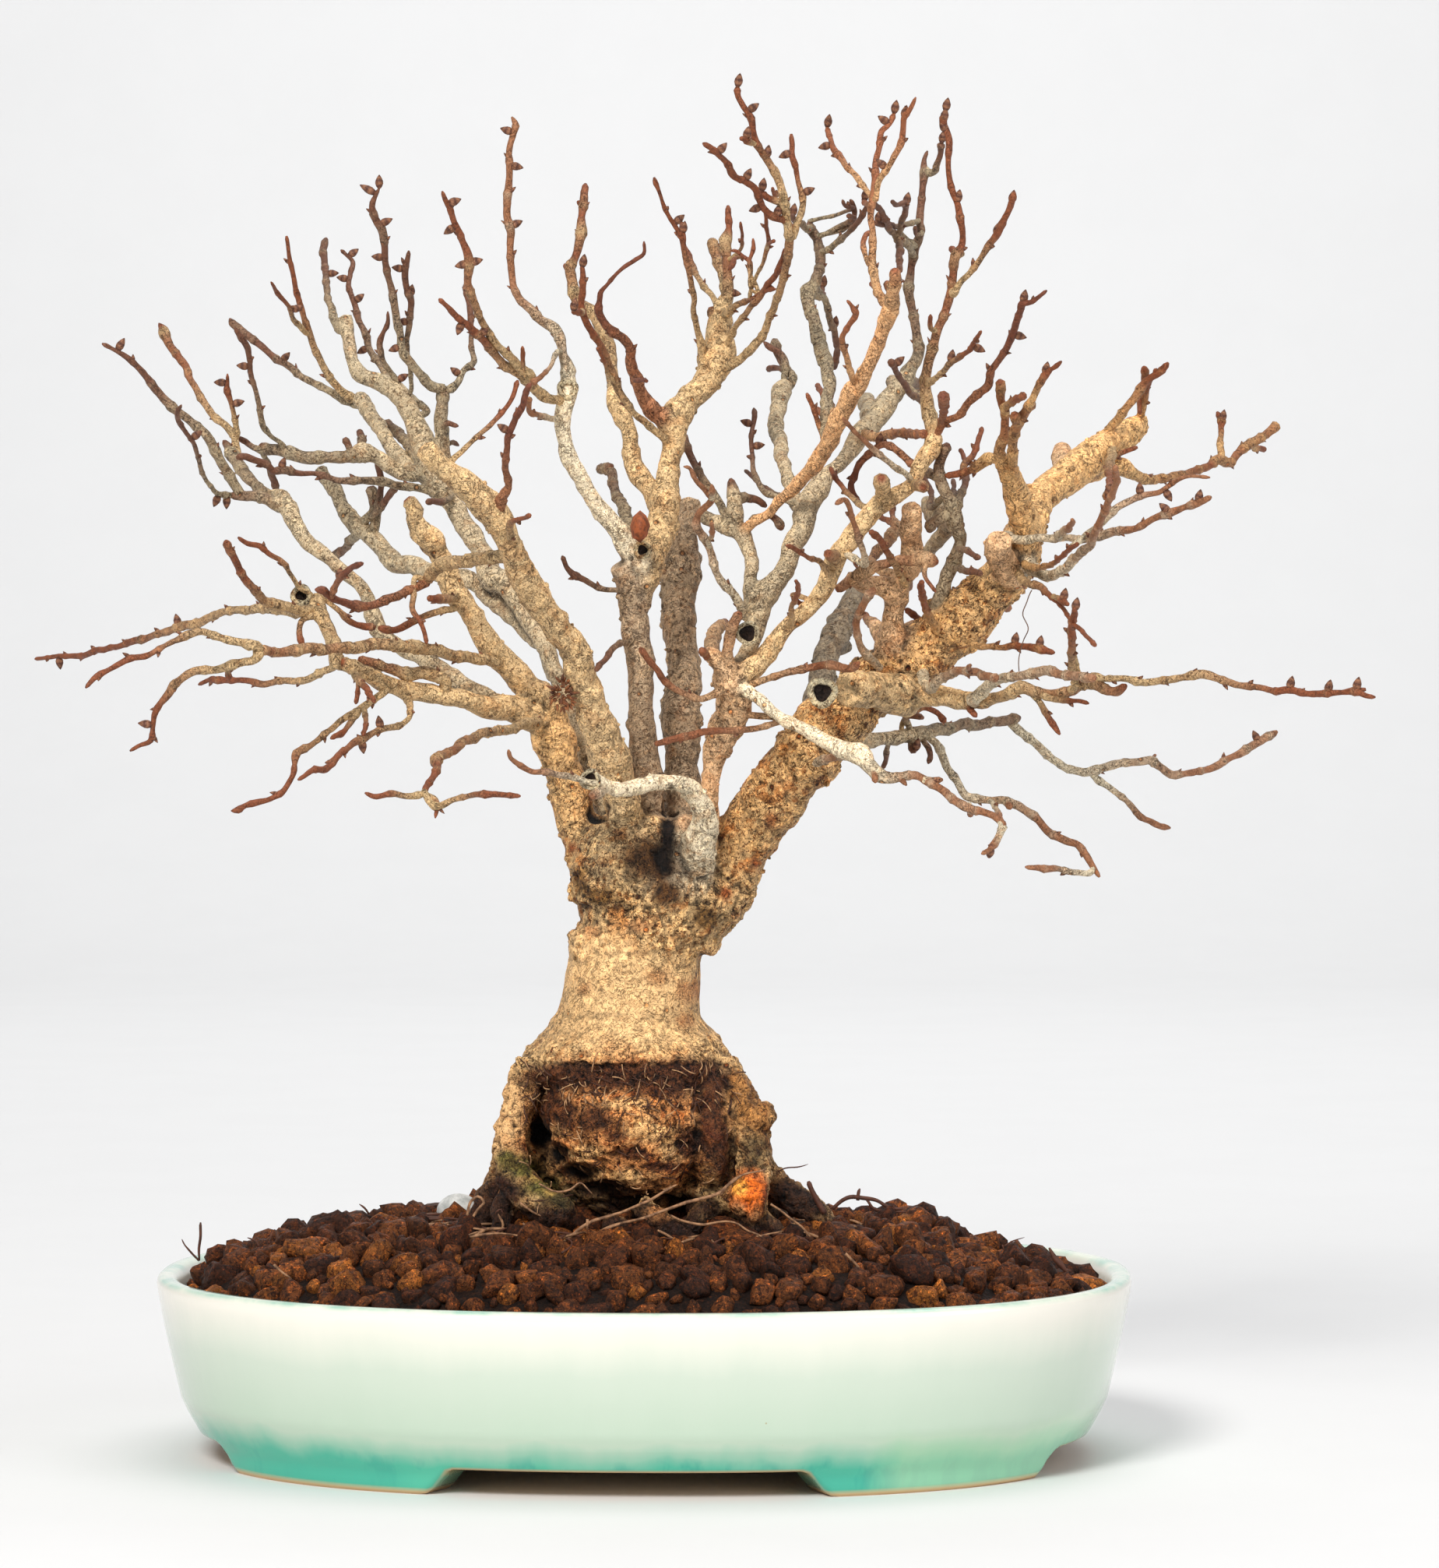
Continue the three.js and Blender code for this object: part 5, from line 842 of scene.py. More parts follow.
limb("grey_cut", "trunk", -46, """
    895,1112,50 900,1080,46 905,1050,38 898,1028,28 880,1010,22 855,1004,20 820,1010,20 792,1014,19
    775,1008,19 760,1001,22""", base_depth=-12)
twigs("grey_cut", """
    -50: 775,1012,14 764,1020,13 760,1023,14;
    -66: 766,1004,8 742,1001,8 722,995,8 702,991,8 683,991,7 669,984,7 656,973,7 653,963,6""")
# main right limb and its ends
limb("right_upright", "right_limb", -58, """
    1318,705,46 1318,678,42 1311,655,36 1303,628,28 1296,608,26 1288,595,20 1284,586,18 1289,564,13
    1290,547,12 1291,530,11 1287,514,11 1285,498,12 1284,489,15""")
limb("right_upright_side", "right_upright", -70, """
    1302,625,20 1303,608,13 1300,590,13 1300,572,14 1303,556,13 1309,539,14 1317,528,13 1326,517,13""")
twigs("right_upright_side", """
    -68: 1306,543,12 1303,531,11;
    -88: 1322,520,9 1330,503,9 1334,493,9 1342,482,11 1350,474,6 1363,464,5""")
twigs("right_upright", """
    -84: 1290,528,12 1302,515,10 1314,508,9;
    -30: 1284,588,15 1276,589,14 1264,589,11 1261,592,10 1247,603,10 1230,609,9 1214,611,10;
    -14: 1238,605,8 1240,592,8 1248,585,8 1254,572,8 1259,558,7 1261,549,6;
    -10: 1240,592,7 1235,582,6 1233,577,5""")
limb("right_rise", "right_limb", 48, """
    1312,700,48 1322,668,46 1332,645,46 1345,632,42 1360,620,40 1378,607,44 1396,594,42 1412,579,38
    1428,566,34 1443,560,40 1454,551,34 1464,546,28""")
limb("right_knob", "right_rise", 40, "1368,604,30 1365,590,25 1364,577,25")
twigs("right_rise", """
    20: 1422,560,13 1436,538,12 1450,518,10 1461,507,11 1472,490,10 1484,482,9 1500,466,8;
    26: 1470,494,9 1471,483,11 1469,471,8;
    22: 1480,484,6 1485,474,6;
    34: 1463,512,6 1464,532,5;
    30: 1430,585,7 1444,580,6 1461,574,6""")
limb("right_rise_low", "right_rise", 96, """
    1352,636,20 1376,622,20 1394,612,20 1411,607,21 1428,602,18 1442,600,22 1453,608,17 1470,614,13
    1492,613,12 1512,610,10 1531,605,10 1551,599,10 1566,591,14 1578,593,11 1590,582,11 1607,570,14
    1624,558,11 1640,546,13""")
twigs("right_rise_low", """
    84: 1567,590,11 1566,568,8 1568,552,8 1568,541,11 1563,529,7;
    104: 1610,574,8 1624,577,8""")
limb("drop", "right_rise", -20, "1427,575,12 1426,590,12 1424,610,10 1424,626,9 1422,638,12")
limb("right_rough", "right_limb", -30, "1300,735,44 1290,722,42 1280,705,38 1284,692,28")
limb("right_level", "right_limb", -76, """
    1312,698,20 1300,690,14 1292,688,14 1309,693,12 1337,690,10 1362,690,10 1390,692,9 1408,688,12
    1428,682,13 1444,682,10 1467,675,9 1486,666,9 1500,659,12 1520,652,8 1537,647,11 1555,638,7""")
twigs("right_level", """
    -84: 1360,690,9 1370,679,9 1376,672,7 1377,667,5;
    -52: 1376,702,7 1402,683,8 1422,666,8 1430,658,10 1450,644,9 1467,636,8 1489,631,7 1506,622,6
        1526,612,5 1554,613,4""")
limb("white_arch", "right_limb", -100, """
    1316,722,24 1324,730,18 1337,738,14 1354,738,13 1373,726,13 1387,710,12 1401,698,11 1406,684,10
    1414,668,10 1422,650,10 1430,634,9 1433,614,9 1432,599,9""")
twigs("right_limb", "-82: 1330,728,9 1351,724,7 1368,710,7 1384,698,6")
limb("droop", "right_limb", -72, "1308,738,12 1314,746,10 1331,752,10 1351,766,7 1365,780,6 1374,795,5")
twigs("droop", "-78: 1352,766,6 1362,771,9 1372,776,6")
twigs("right_limb", """
    -36: 1250,826,10 1261,829,8 1278,829,8 1290,830,8 1303,827,10 1318,829,8 1334,833,11 1354,838,7;
    20: 1288,775,12 1296,781,9""")
limb("right_mid", "right_limb", -32, """
    1200,820,32 1203,797,22 1207,772,19 1213,748,17 1219,730,20 1228,712,17 1233,695,15 1230,678,17
    1224,655,20 1216,635,17 1209,614,15 1206,600,14 1210,585,13 1217,570,13""")
twigs("right_mid", """
    -44: 1232,702,9 1247,710,8 1258,716,7;
    -40: 1222,729,9 1242,732,9 1260,737,8""")
limb("grey_lump", "right_mid", 14, "1226,672,22 1214,664,30 1203,658,34 1194,650,26 1190,643,16")
limb("grey_lean", "right_mid", 12, "1224,670,20 1210,688,20 1198,704,19 1188,716,20 1178,726,22")
twigs("right_mid", """
    -22: 1206,668,14 1196,674,14 1193,683,14;
    -4: 1228,650,13 1233,637,11 1240,624,9 1242,609,8;
    2: 1224,648,8 1226,632,7 1224,616,6;
    16: 1228,668,12 1234,674,9;
    -20: 1205,614,12 1192,608,14 1186,605,12;
    4: 1195,650,8 1196,632,7 1190,620,6 1186,612,6""")
# low limbs on the right
limb("low_right", "right_limb", -70, """
    1160,892,34 1185,892,30 1208,894,27 1236,898,23 1258,900,22 1278,897,15 1298,890,15 1312,884,18
    1325,888,14 1342,891,13 1362,891,13 1376,886,14 1390,879,14 1404,876,18 1420,884,12 1434,886,12
    1446,880,10""")
limb("long_right", "low_right", -122, """
    1404,872,16 1422,871,8 1439,872,8 1454,873,11 1475,874,10 1498,871,10 1520,870,9 1545,867,13
    1562,871,10 1582,877,10 1598,881,9 1621,884,8 1646,886,9 1655,886,11 1677,889,8 1699,892,10 1724,889,7
    1741,887,10 1752,893,7 1766,895,5""")
twigs("long_right", "-118: 1740,887,9 1754,885,7")
limb("low_upper", "low_right", -88, """
    1250,898,18 1262,888,16 1272,878,14 1288,872,13 1306,870,12 1326,864,13 1345,859,14 1358,864,12
    1376,867,12 1393,869,12 1406,871,12""")
limb("low_light", "right_limb", -66, """
    1196,884,16 1208,872,12 1222,865,11 1244,863,11 1264,867,11 1280,871,11""")
twigs("low_light", "-72: 1243,862,6 1246,854,5")
twigs("low_right", """
    -96: 1380,884,12 1380,870,11 1377,850,10 1376,827,10 1377,802,9 1379,788,10 1380,781,6;
    -108: 1379,803,6 1393,813,6 1407,829,6;
    -50: 1325,890,8 1332,899,8 1342,914,8 1352,928,9 1361,943,6;
    -62: 1340,892,9 1359,899,8 1376,899,6 1398,903,5;
    -36: 1244,902,13 1248,912,9 1254,920,6""")
limb("low_bar", "right_limb", 40, """
    1092,958,24 1107,953,20 1132,948,17 1158,946,19 1172,944,22 1191,940,17 1211,935,16 1236,931,15
    1256,930,15 1278,926,13 1300,923,14 1310,921,10""")
limb("low_far", "low_bar", 84, """
    1298,924,12 1306,934,11 1323,948,11 1340,965,11 1356,978,10 1376,987,10 1400,989,13 1416,986,11
    1444,980,11 1464,979,11 1478,977,11 1489,985,11 1501,994,11 1520,994,9 1540,991,9 1562,983,10
    1582,973,9 1597,965,11 1615,953,10 1632,944,10 1640,939,8""")
twigs("low_far", """
    70: 1402,992,9 1425,1012,8 1444,1026,8 1461,1046,9 1475,1054,8 1486,1059,9 1503,1063,5;
    70: 1478,976,6 1484,969,4""")
limb("low_drop", "low_bar", -8, """
    1192,944,12 1200,953,11 1208,965,11 1219,990,11 1233,1010,10 1244,1022,12 1256,1026,11 1270,1028,10
    1289,1028,11 1306,1032,11 1320,1043,11 1337,1057,10 1354,1071,10 1370,1081,11 1384,1085,9 1393,1096,9
    1404,1113,8 1412,1126,5""")
twigs("low_drop", """
    -24: 1403,1117,7 1382,1120,8 1362,1117,8 1342,1116,9 1317,1113,6;
    -18: 1275,1032,7 1283,1046,7 1290,1060,6;
    2: 1292,1030,9 1298,1038,7""")
limb("loop", "low_bar", 14, """
    1158,944,7 1158,930,7 1164,920,7 1176,915,7 1186,910,7 1204,914,8 1214,928,8""")
twigs("low_bar", """
    6: 1164,920,8 1176,918,9 1186,922,8;
    20: 1140,950,7 1138,965,7 1137,978,7 1133,987,6;
    10: 1170,950,8 1170,962,8 1176,964,10;
    8: 1186,950,8 1194,963,8 1195,972,7 1192,980,6""")


# radius in mm above which a limb is part of the blended wood of the trunk and main limbs
BLENDED_RADIUS = 2.0
# size of the grid in which the thick wood is blended
WOOD_VOXEL = 0.62
TWIG_STEP = 0.9
TWIG_SIDES = 8
# distance between the knobs of a twig, and how far along each next twig's knobs are shifted
NODE_SPACING = 8.5
NODE_SHIFT = 3.7


def tint_along(grown, radii, share):
    """Colour of a limb's bark at shares of its length: the thin young end has the second tone."""
    old, young = (np.array(colour(code)) for code in BARK_TONES[grown["tone"]])
    thinness = np.clip((1.9 - radii) / 0.9, 0, 1)
    youth = np.clip(share * 2.2 - 0.45, 0, 1) * thinness
    tints = old + (young - old) * youth[:, None]
    plain = np.maximum(youth, np.clip((7 - radii) / 6, 0, 0.45))
    return np.hstack([tints, plain[:, None]])


def blended_part(grown):
    """The thick first part of a limb, or nothing."""
    spots = grown["spots"]
    thick = np.flatnonzero(spots[:, 3] > BLENDED_RADIUS)
    if len(thick) < 2:
        return None
    return spots[: min(thick[-1] + 2, len(spots))]


def twig_part(grown):
    """The thin rest of a limb, or nothing."""
    spots = grown["spots"]
    thick = np.flatnonzero(spots[:, 3] > BLENDED_RADIUS)
    if len(thick) < 2:
        return spots
    if thick[-1] >= len(spots) - 2:
        return None
    return spots[thick[-1] :]


def node_phase(path, seed):
    """How many knob spacings each spot of a path is from its start; a knob is at every half."""
    return (lengths_along(path) + seed * NODE_SHIFT) / NODE_SPACING


def knobbly(path, seed):
    """Widens a path's radius at its nodes and makes it a little uneven and crooked."""
    along = lengths_along(path)
    rough = path.copy()
    thin = np.clip((3 - path[:, 3]) / 2, 0, 1)
    node = np.exp(-(((node_phase(path, seed) % 1) - 0.5) * NODE_SPACING / 0.8) ** 2)
    rough[:, 3] *= 1 + 0.28 * node * thin + 0.1 * lattice_noise(path[:, :3], 2.2, seed)
    rough[:, 3] *= 1 + 0.16 * np.clip(lattice_noise(path[:, :3], 9, seed + 40), -0.4, 1) * (1 - thin)
    for axis in range(3):
        bend = lattice_noise(path[:, :3] + 50 * axis, 5, seed + axis)
        ends = np.clip(np.minimum(along, along[-1] - along) / 4, 0, 1)
        rough[:, axis] += bend * ends * np.clip(path[:, 3], 0.3, 0.9) * 0.55
    return rough


def add_twig(builder, grown, spots, seed):
    """Adds the thin part of a limb, and returns its path."""
    path = knobbly(fine_path(spots, TWIG_STEP), seed)
    radii = path[:, 3]
    radii[-1] *= 0.5
    rings = swept_rings(path, TWIG_SIDES)
    points, faces = capped_rings(rings)
    centres = np.concatenate([path[:, :3].repeat(TWIG_SIDES, 0), path[:1, :3], path[-1:, :3]])
    rough = 1 + 0.1 * lattice_noise(points, 1.1, seed)
    points = centres + (points - centres) * rough[:, None]
    share = np.linspace(1 - len(spots) / len(grown["spots"]), 1, len(path))
    tints = tint_along(grown, radii, share)
    tints = np.concatenate([tints.repeat(TWIG_SIDES, 0), tints[:1], tints[-1:]])
    builder.add(points, faces, tints)
    return path


def outline_at(text, heights):
    """x of one side's outline at heights of the front view."""
    rows = numbers(text)
    return np.interp(heights, rows[:, 1], rows[:, 0])


def trunk_rings():
    """The trunk from its ledge up to the crotch."""
    heights = np.linspace(TRUNK_LEDGE, TRUNK_TOP, 90)
    left = outline_at(TRUNK_LEFT, heights)
    right = outline_at(TRUNK_RIGHT, heights)
    depth_rows = numbers(TRUNK_DEPTH)
    depths = np.interp(heights, depth_rows[:, 0], depth_rows[:, 1])
    angles = circle_angles(TRUNK_SIDES)
    rings = []
    for height, x0, x1, depth in zip(heights, left, right, depths):
        low = place(x0, height, 0)
        high = place(x1, height, 0)
        centre = (low + high) / 2
        half = (high[0] - low[0]) / 2
        rings.append(centre + flat_points(np.cos(angles) * half, np.sin(angles) * depth, 0))
    return rings


# the lumps of the swollen foot below the ledge: x, y and z of the middle, then the half sizes
FOOT_LUMPS = {
    "core": "-5,6,84,26,20,26",
    "collar": "-6.5,-1,99,27.5,23.8,8.5",
    "ball": "-6,-6.5,88,22.5,21.5,18.5",
    "ball_low": "-3,-9,80,16,16.5,13.5",
    "ball_brow": "-8,-14,84,14,13.5,8",
    "right_lobe": "15,-9,84,6.5,12,17",
    "right_burl": "25.5,-13,87,6,6,5",
    "back_swell": "-5,12,80,29,20,26",
    "red_knob": "24.6,-21,66.4,5,5.2,5.8",
    "moss_knob": "-24.6,-26,64.4,5.4,5.2,4.9",
    "root_knob": "1.5,-27,61.5,3.6,3.4,3.6",
    "right_filler": "16.5,-6,66,8,9,7",
    "left_root_knob": "-9,-26,61,3.2,3.4,2.8",
}
# the roots that stand on the soil: x, y, z and thickness along each
FOOT_ROOTS = {
    "left_leg": "-31,-7,101,8 -33.4,-10,93,8.2 -35.4,-12.5,86,8.4 -36.4,-15,79.5,8.8 "
    "-35.4,-18,73.5,9.4 -31.8,-21.5,69,9.8 -27.4,-24.5,66,10 -24.6,-26,64,9",
    "left_wing": "-30,-1,99,9 -32.5,1,90,11 -33.4,3,80,12.5 -34,5,68,14 -35,6,56,16",
    "left_back_root": "-36,-5,76,6 -38,-7,71.5,7 -40.5,-8.5,66.5,7.6 -43.5,-9.5,60.5,7.6 -47,-11,53,7",
    "left_low_root": "-36,-15,70,5 -37.5,-18,65,5.4 -38,-21,60,5.4 -39,-23,54,5",
    "right_leg": "17.5,-8,101,8.4 20.8,-10.5,93,8.4 23.6,-13,87,9 25.2,-15,80,9 "
    "26,-17,73,8.6 25.4,-19,66,8 24,-20,56,7",
    "right_wing": "18,0,98,10 22.5,2,88,12.5 24,3,78,13.5 25,4,68,14 28,4,56,16",
    "right_back_root": "27,-4,75,8 31,-6,70,8 36.5,-7,65.5,7.6 42,-8,62,7 48,-9,56,6",
    "right_low_root": "27,-17,62,5 31,-19,59,5 35,-22,54,4.6",
    "front_root": "-3,-24,66,6 2,-28,62,6 8,-30,58,5.4 13,-31,54,5",
    "front_slip": "14,-22,66,5 11,-26,62,5 6,-30,57,4.6",
    "back_root_left": "-26,14,92,15 -32,20,78,16 -37,26,66,14 -41,31,55,12",
    "back_root_middle": "-6,20,94,14 -5,27,80,16 -4,32,66,15 -2,36,55,12",
    "back_root_right": "13,14,92,14 19,20,78,16 24,26,66,14 29,31,55,12",
}
LUMP_RINGS = 22
LUMP_SIDES = 40


def lump(text):
    """Rings of a closed egg-shaped lump."""
    x, y, z, half_x, half_y, half_z = numbers(text)[0]
    angles = circle_angles(LUMP_SIDES)
    rings = []
    for level in np.linspace(-0.985, 0.985, LUMP_RINGS):
        reach = math.sqrt(1 - level**2)
        ring = flat_points(np.cos(angles) * half_x * reach, np.sin(angles) * half_y * reach, level * half_z)
        rings.append(np.array([x, y, z]) + ring)
    return rings


def wood_solids(builder):
    """All the closed skins that blend into the trunk and the main limbs."""
    builder.add(*capped_rings(trunk_rings()))
    for text in FOOT_LUMPS.values():
        builder.add(*capped_rings(lump(text)))
    for text in FOOT_ROOTS.values():
        builder.add_strand(numbers(text) * [1, 1, 1, 0.5], 1.5, 20)
    for seed, grown in enumerate(limbs):
        spots = blended_part(grown)
        if spots is None:
            continue
        path = knobbly(fine_path(spots, 1.1), seed)
        sides = 12 if path[:, 3].max() < 4 else 22
        builder.add(*capped_rings(swept_rings(path, sides)))


def neighbour_sums(mesh, values):
    """For each vertex the sum of a value over its neighbours, and the number of neighbours."""
    edges = np.zeros(len(mesh.edges) * 2, np.int64)
    mesh.edges.foreach_get("vertices", edges)
    a, b = edges.reshape(-1, 2).T
    size = len(mesh.vertices)
    count = np.bincount(a, minlength=size) + np.bincount(b, minlength=size)
    sums = [np.bincount(a, column[b], size) + np.bincount(b, column[a], size) for column in values.T]
    return np.stack(sums, axis=1), np.maximum(count, 1)[:, None]


def smoothed(mesh, values, rounds):
    """Values of the vertices, each drawn towards its neighbours again and again."""
    for _ in range(rounds):
        sums, count = neighbour_sums(mesh, values)
        values = values * 0.4 + sums / count * 0.6
    return values


def points_of(mesh):
    """The vertices of a mesh in millimetres."""
    points = np.zeros(len(mesh.vertices) * 3)
    mesh.vertices.foreach_get("co", points)
    return points.reshape(-1, 3) / MM


def normals_of(mesh):
    """The direction that the skin faces at each vertex."""
    normals = np.zeros(len(mesh.vertices) * 3, np.float32)
    mesh.vertex_normals.foreach_get("vector", normals)
    return normals.reshape(-1, 3).astype(float)


def set_points(mesh, points):
    """Moves the vertices of a mesh to points in millimetres."""
    mesh.vertices.foreach_set("co", (points * MM).astype(np.float32).ravel())
    mesh.update()


# how many triangles the thick wood keeps, and how many flakes of bark stand on it
WOOD_TRIANGLES = 195000
CHIPS = 1100
# how many points are compared with the limbs at once, which keeps the tables small
BATCH = 4000
# depth of the hollows and grooves that are painted dark as shade
SUNK_DEPTH = 1.6
FIBRE_TONES = ("#c99a6c", "#4c2a17")
# heights in mm where the look of the bark changes
TRUNK_HEIGHT = 150
LEDGE_HEIGHT = 98
SOIL_HEIGHT = 63.5
BURRS_HEIGHT = 152
NECK_HEIGHT = 120
# Patches of the trunk and its foot in the front view: plainness, colour, then for each spot
# x, y, half width and half height. Most are the bark's own colours; some are painted shade in the
# hollows, the grooves and under the ball, and painted highlights on the ball, the moss and the red knob.
TRUNK_PATCHES = {
    "grey_top": (0, "#b4966c", "790,1110,50,44 770,1075,40,24"),
    "smooth": (0.75, "#f8ca8e", "800,1275,80,56 770,1240,54,50 800,1325,104,30"),
    "rough": (0, "#573819", "842,1104,40,34 856,1146,22,16"),
    "burrs": (0, "#87602f", "770,1150,24,12 905,1180,16,16 745,1130,10,20"),
    # painted shade: near black in the hollows of the crotch, which are also sunk a little
    "hollow": (0, "#22140a", "860,1062,11,38 852,1102,14,22 768,1042,13,12"),
    "stain": (0.3, "#d39a64", "845,1255,13,11 885,1275,16,14 750,1270,10,8 760,1196,12,8 "
              "820,1190,16,10 880,1310,12,9"),
    "knots": (0.2, "#a8602e", "990,1053,9,10 970,1108,7,8 932,1146,7,9 736,1088,5,6 762,1023,7,8"),
    "ball": (0, "#e49a5a", "800,1440,120,80 820,1490,80,40"),
    # painted highlights on the ball where it bulges most
    "ball_highlight": (0, "#f6bf7e", "835,1452,34,18 750,1480,30,11 790,1512,46,9 862,1478,20,15 "
                   "800,1416,30,8 716,1452,10,9"),
    # painted shade where the ball curves away and in its creases
    "ball_shade": (0, "#6c3d1c", "762,1440,28,20 884,1468,18,22 724,1428,16,24 812,1482,26,8 "
                  "790,1460,14,8 850,1500,30,7"),
    # dirt on the band under the ledge, and painted shade in the grooves between the ball and the legs
    "dirt_and_groove_shade": (0, "#5c3216", "928,1476,9,46 880,1385,80,24 740,1384,80,16 915,1440,20,66 "
             "800,1380,120,16 700,1420,20,40"),
    # painted shade: near black in the grooves around the ball, which are also sunk a little
    "groove_shade": (0, "#0d0704", "694,1458,11,18 713,1484,16,14 740,1506,23,11 770,1526,25,9 850,1540,56,6"),
    "left_leg": (0.5, "#d3a671", "652,1425,18,50 648,1465,15,26"),
    "moss": (0.3, "#655c28", "672,1500,26,14 698,1524,24,14 650,1488,13,12"),
    "moss_end": (0.2, "#4c4020", "724,1541,26,16"),
    # painted highlight on the moss
    "moss_highlight": (0.3, "#a8894a", "706,1530,8,6 684,1512,10,5"),
    "right_leg": (0.3, "#a9753f", "960,1415,26,40 978,1440,16,26"),
    "right_dark": (0.2, "#6a5434", "968,1480,22,26"),
    # painted shade under the ball
    "shade_under_ball": (0, "#46301a", "835,1546,95,14 906,1552,24,12 770,1528,40,9"),
    "red_knob": (1, "#f0731c", "962,1532,24,27"),
    # painted highlight on the red knob
    "knob_highlight": (1, "#ffb04a", "950,1525,10,12"),
    "foot_dark": (0, "#3c2110", "620,1560,40,34 1030,1540,50,30 800,1575,170,22 700,1564,56,14 "
                  "640,1530,24,24"),
    "root_knob": (0, "#a06c40", "846,1556,16,14"),
}


def painted(tints, paint, share):
    """Tints under a paint that covers its share of each point."""
    share = share[:, None]
    return tints * (1 - share) + paint * share


def front_face(points, normals):
    """Each point's place in the front view, how much it faces the front, and a wobble for edges."""
    facing = np.clip(-normals[:, 1] * 1.6 + 0.5, 0, 1) * (points[:, 1] < 6)
    return (*seen_at(points), facing, layered_noise(points, 4, 5))


def patch_shares(face, patches):
    """How much each patch covers each point of the front face."""
    pixel_x, pixel_y, seen, wobble = face
    for x, y, half_x, half_y in numbers(patches):
        far = np.hypot((pixel_x - x) / half_x, (pixel_y - y) / half_y) + wobble * 0.35
        yield np.clip(1.35 - far, 0, 0.7) / 0.7 * seen


def paint_patches(face, tints):
    """Lays each patch of the trunk over the ones before it."""
    for plainness, code, patches in TRUNK_PATCHES.values():
        for share in patch_shares(face, patches):
            tints = painted(tints, tinted(code, plainness), share)
    return tints


def sunk(face):
    """How deep the hollows and grooves painted dark as shade go at each point of the front face."""
    depth = np.zeros(len(face[0]))
    for name in ("hollow", "groove_shade"):
        for share in patch_shares(face, TRUNK_PATCHES[name][2]):
            depth = np.maximum(depth, share * SUNK_DEPTH)
    return depth


def outside_parent(path, grown):
    """Which spots of a limb's path lie outside the limb that carries it."""
    if grown["parent"] is None:
        return np.full(len(path), True)
    carrier = fine_path(grown["parent"]["spots"], 2.5)
    gaps = np.linalg.norm(path[:, None, :3] - carrier[None, :, :3], axis=2) - carrier[:, 3]
    outside = gaps.min(axis=1) > -0.2
    outside[-3:] = True
    return outside


def nearest_limb_tints(points):
    """Tint and radius of the limb whose skin is nearest to each point."""
    spots, tints = [], []
    for grown in limbs:
        part = blended_part(grown)
        if part is None:
            continue
        path = fine_path(part, 3)
        share = np.linspace(0, len(part) / len(grown["spots"]), len(path))
        path_tints = tint_along(grown, path[:, 3], share)
        outside = outside_parent(path, grown)
        spots.append(path[outside])
        tints.append(path_tints[outside])
    spots = np.concatenate(spots).astype(np.float32)
    tints = np.concatenate(tints)
    points = points.astype(np.float32)
    lengths = (spots[:, :3] ** 2).sum(axis=1)
    nearest = np.zeros(len(points), int)
    for start in range(0, len(points), BATCH):
        part = points[start : start + BATCH]
        squares = (part**2).sum(axis=1)[:, None] + lengths - 2 * part @ spots[:, :3].T
        nearest[start : start + BATCH] = (np.sqrt(np.maximum(squares, 0)) - spots[:, 3]).argmin(axis=1)
    return tints[nearest], spots[nearest, 3]


def bark_relief(points, radii, on_trunk):
    """How far the bark rises or sinks at each point: burrs, flakes, pits and fine wrinkles."""
    size = np.clip(radii / 6, 0.22, 1)
    size = size * (1 - on_trunk) + on_trunk
    height = points[:, 2]
    low = np.clip((LEDGE_HEIGHT + 8 - height) / 5, 0, 1)
    burr = np.exp(-(((height - BURRS_HEIGHT) / 18) ** 2)) * on_trunk
    neck = np.exp(-(((height - NECK_HEIGHT) / 12) ** 2)) * on_trunk
    rise = 0.9 * layered_noise(points, 8, 12) * size * (0.5 + 1.1 * burr + 0.5 * low)
    rise += 0.45 * layered_noise(points, 2.6, 11) * size * (0.8 + 1.2 * burr + 0.9 * low)
    flakes = np.clip(layered_noise(points, 4.5, 33) * 5 - 0.9, 0, 1)
    rise += 0.55 * flakes * size * (0.6 + burr)
    creases = np.clip(1 - abs(layered_noise(points, 3.4, 41)) / 0.09, 0, 1)
    rise -= 0.4 * creases * size * (0.6 + burr + low)
    rise *= 1 - 0.72 * neck
    pits = np.clip(0.40 - cell_distance(points, 3.8, 3), 0, 1)
    rise -= 1.7 * pits * size * (0.3 + 1.2 * burr + 1.1 * low) * (1 - 0.8 * neck)
    spurs = np.clip(0.26 - cell_distance(points, 7.5, 9), 0, 1)
    rise += 5.5 * spurs * size * (1 - 0.8 * neck) * (1 - 0.5 * low)
    rise += 0.18 * layered_noise(points, 1.3, 21, 2) * (0.5 + low + burr)
    return rise


def with_fewer_faces(piece):
    """The piece's mesh with its flatter parts in larger triangles."""
    piece.data.calc_loop_triangles()
    fewer = piece.modifiers.new("fewer_faces", "DECIMATE")
    fewer.ratio = WOOD_TRIANGLES / len(piece.data.loop_triangles)
    return after_modifiers(piece)


def blended_mesh(material):
    """Trunk, foot and thick limbs grown together in one skin, still smooth."""
    builder = Builder()
    wood_solids(builder)
    raw = builder.make("trunk_and_limbs", material)
    union = raw.modifiers.new("union", "REMESH")
    union.mode = "VOXEL"
    union.voxel_size = WOOD_VOXEL * MM
    soften = raw.modifiers.new("soften", "SMOOTH")
    soften.factor = 0.5
    soften.iterations = 3
    return after_modifiers(raw)


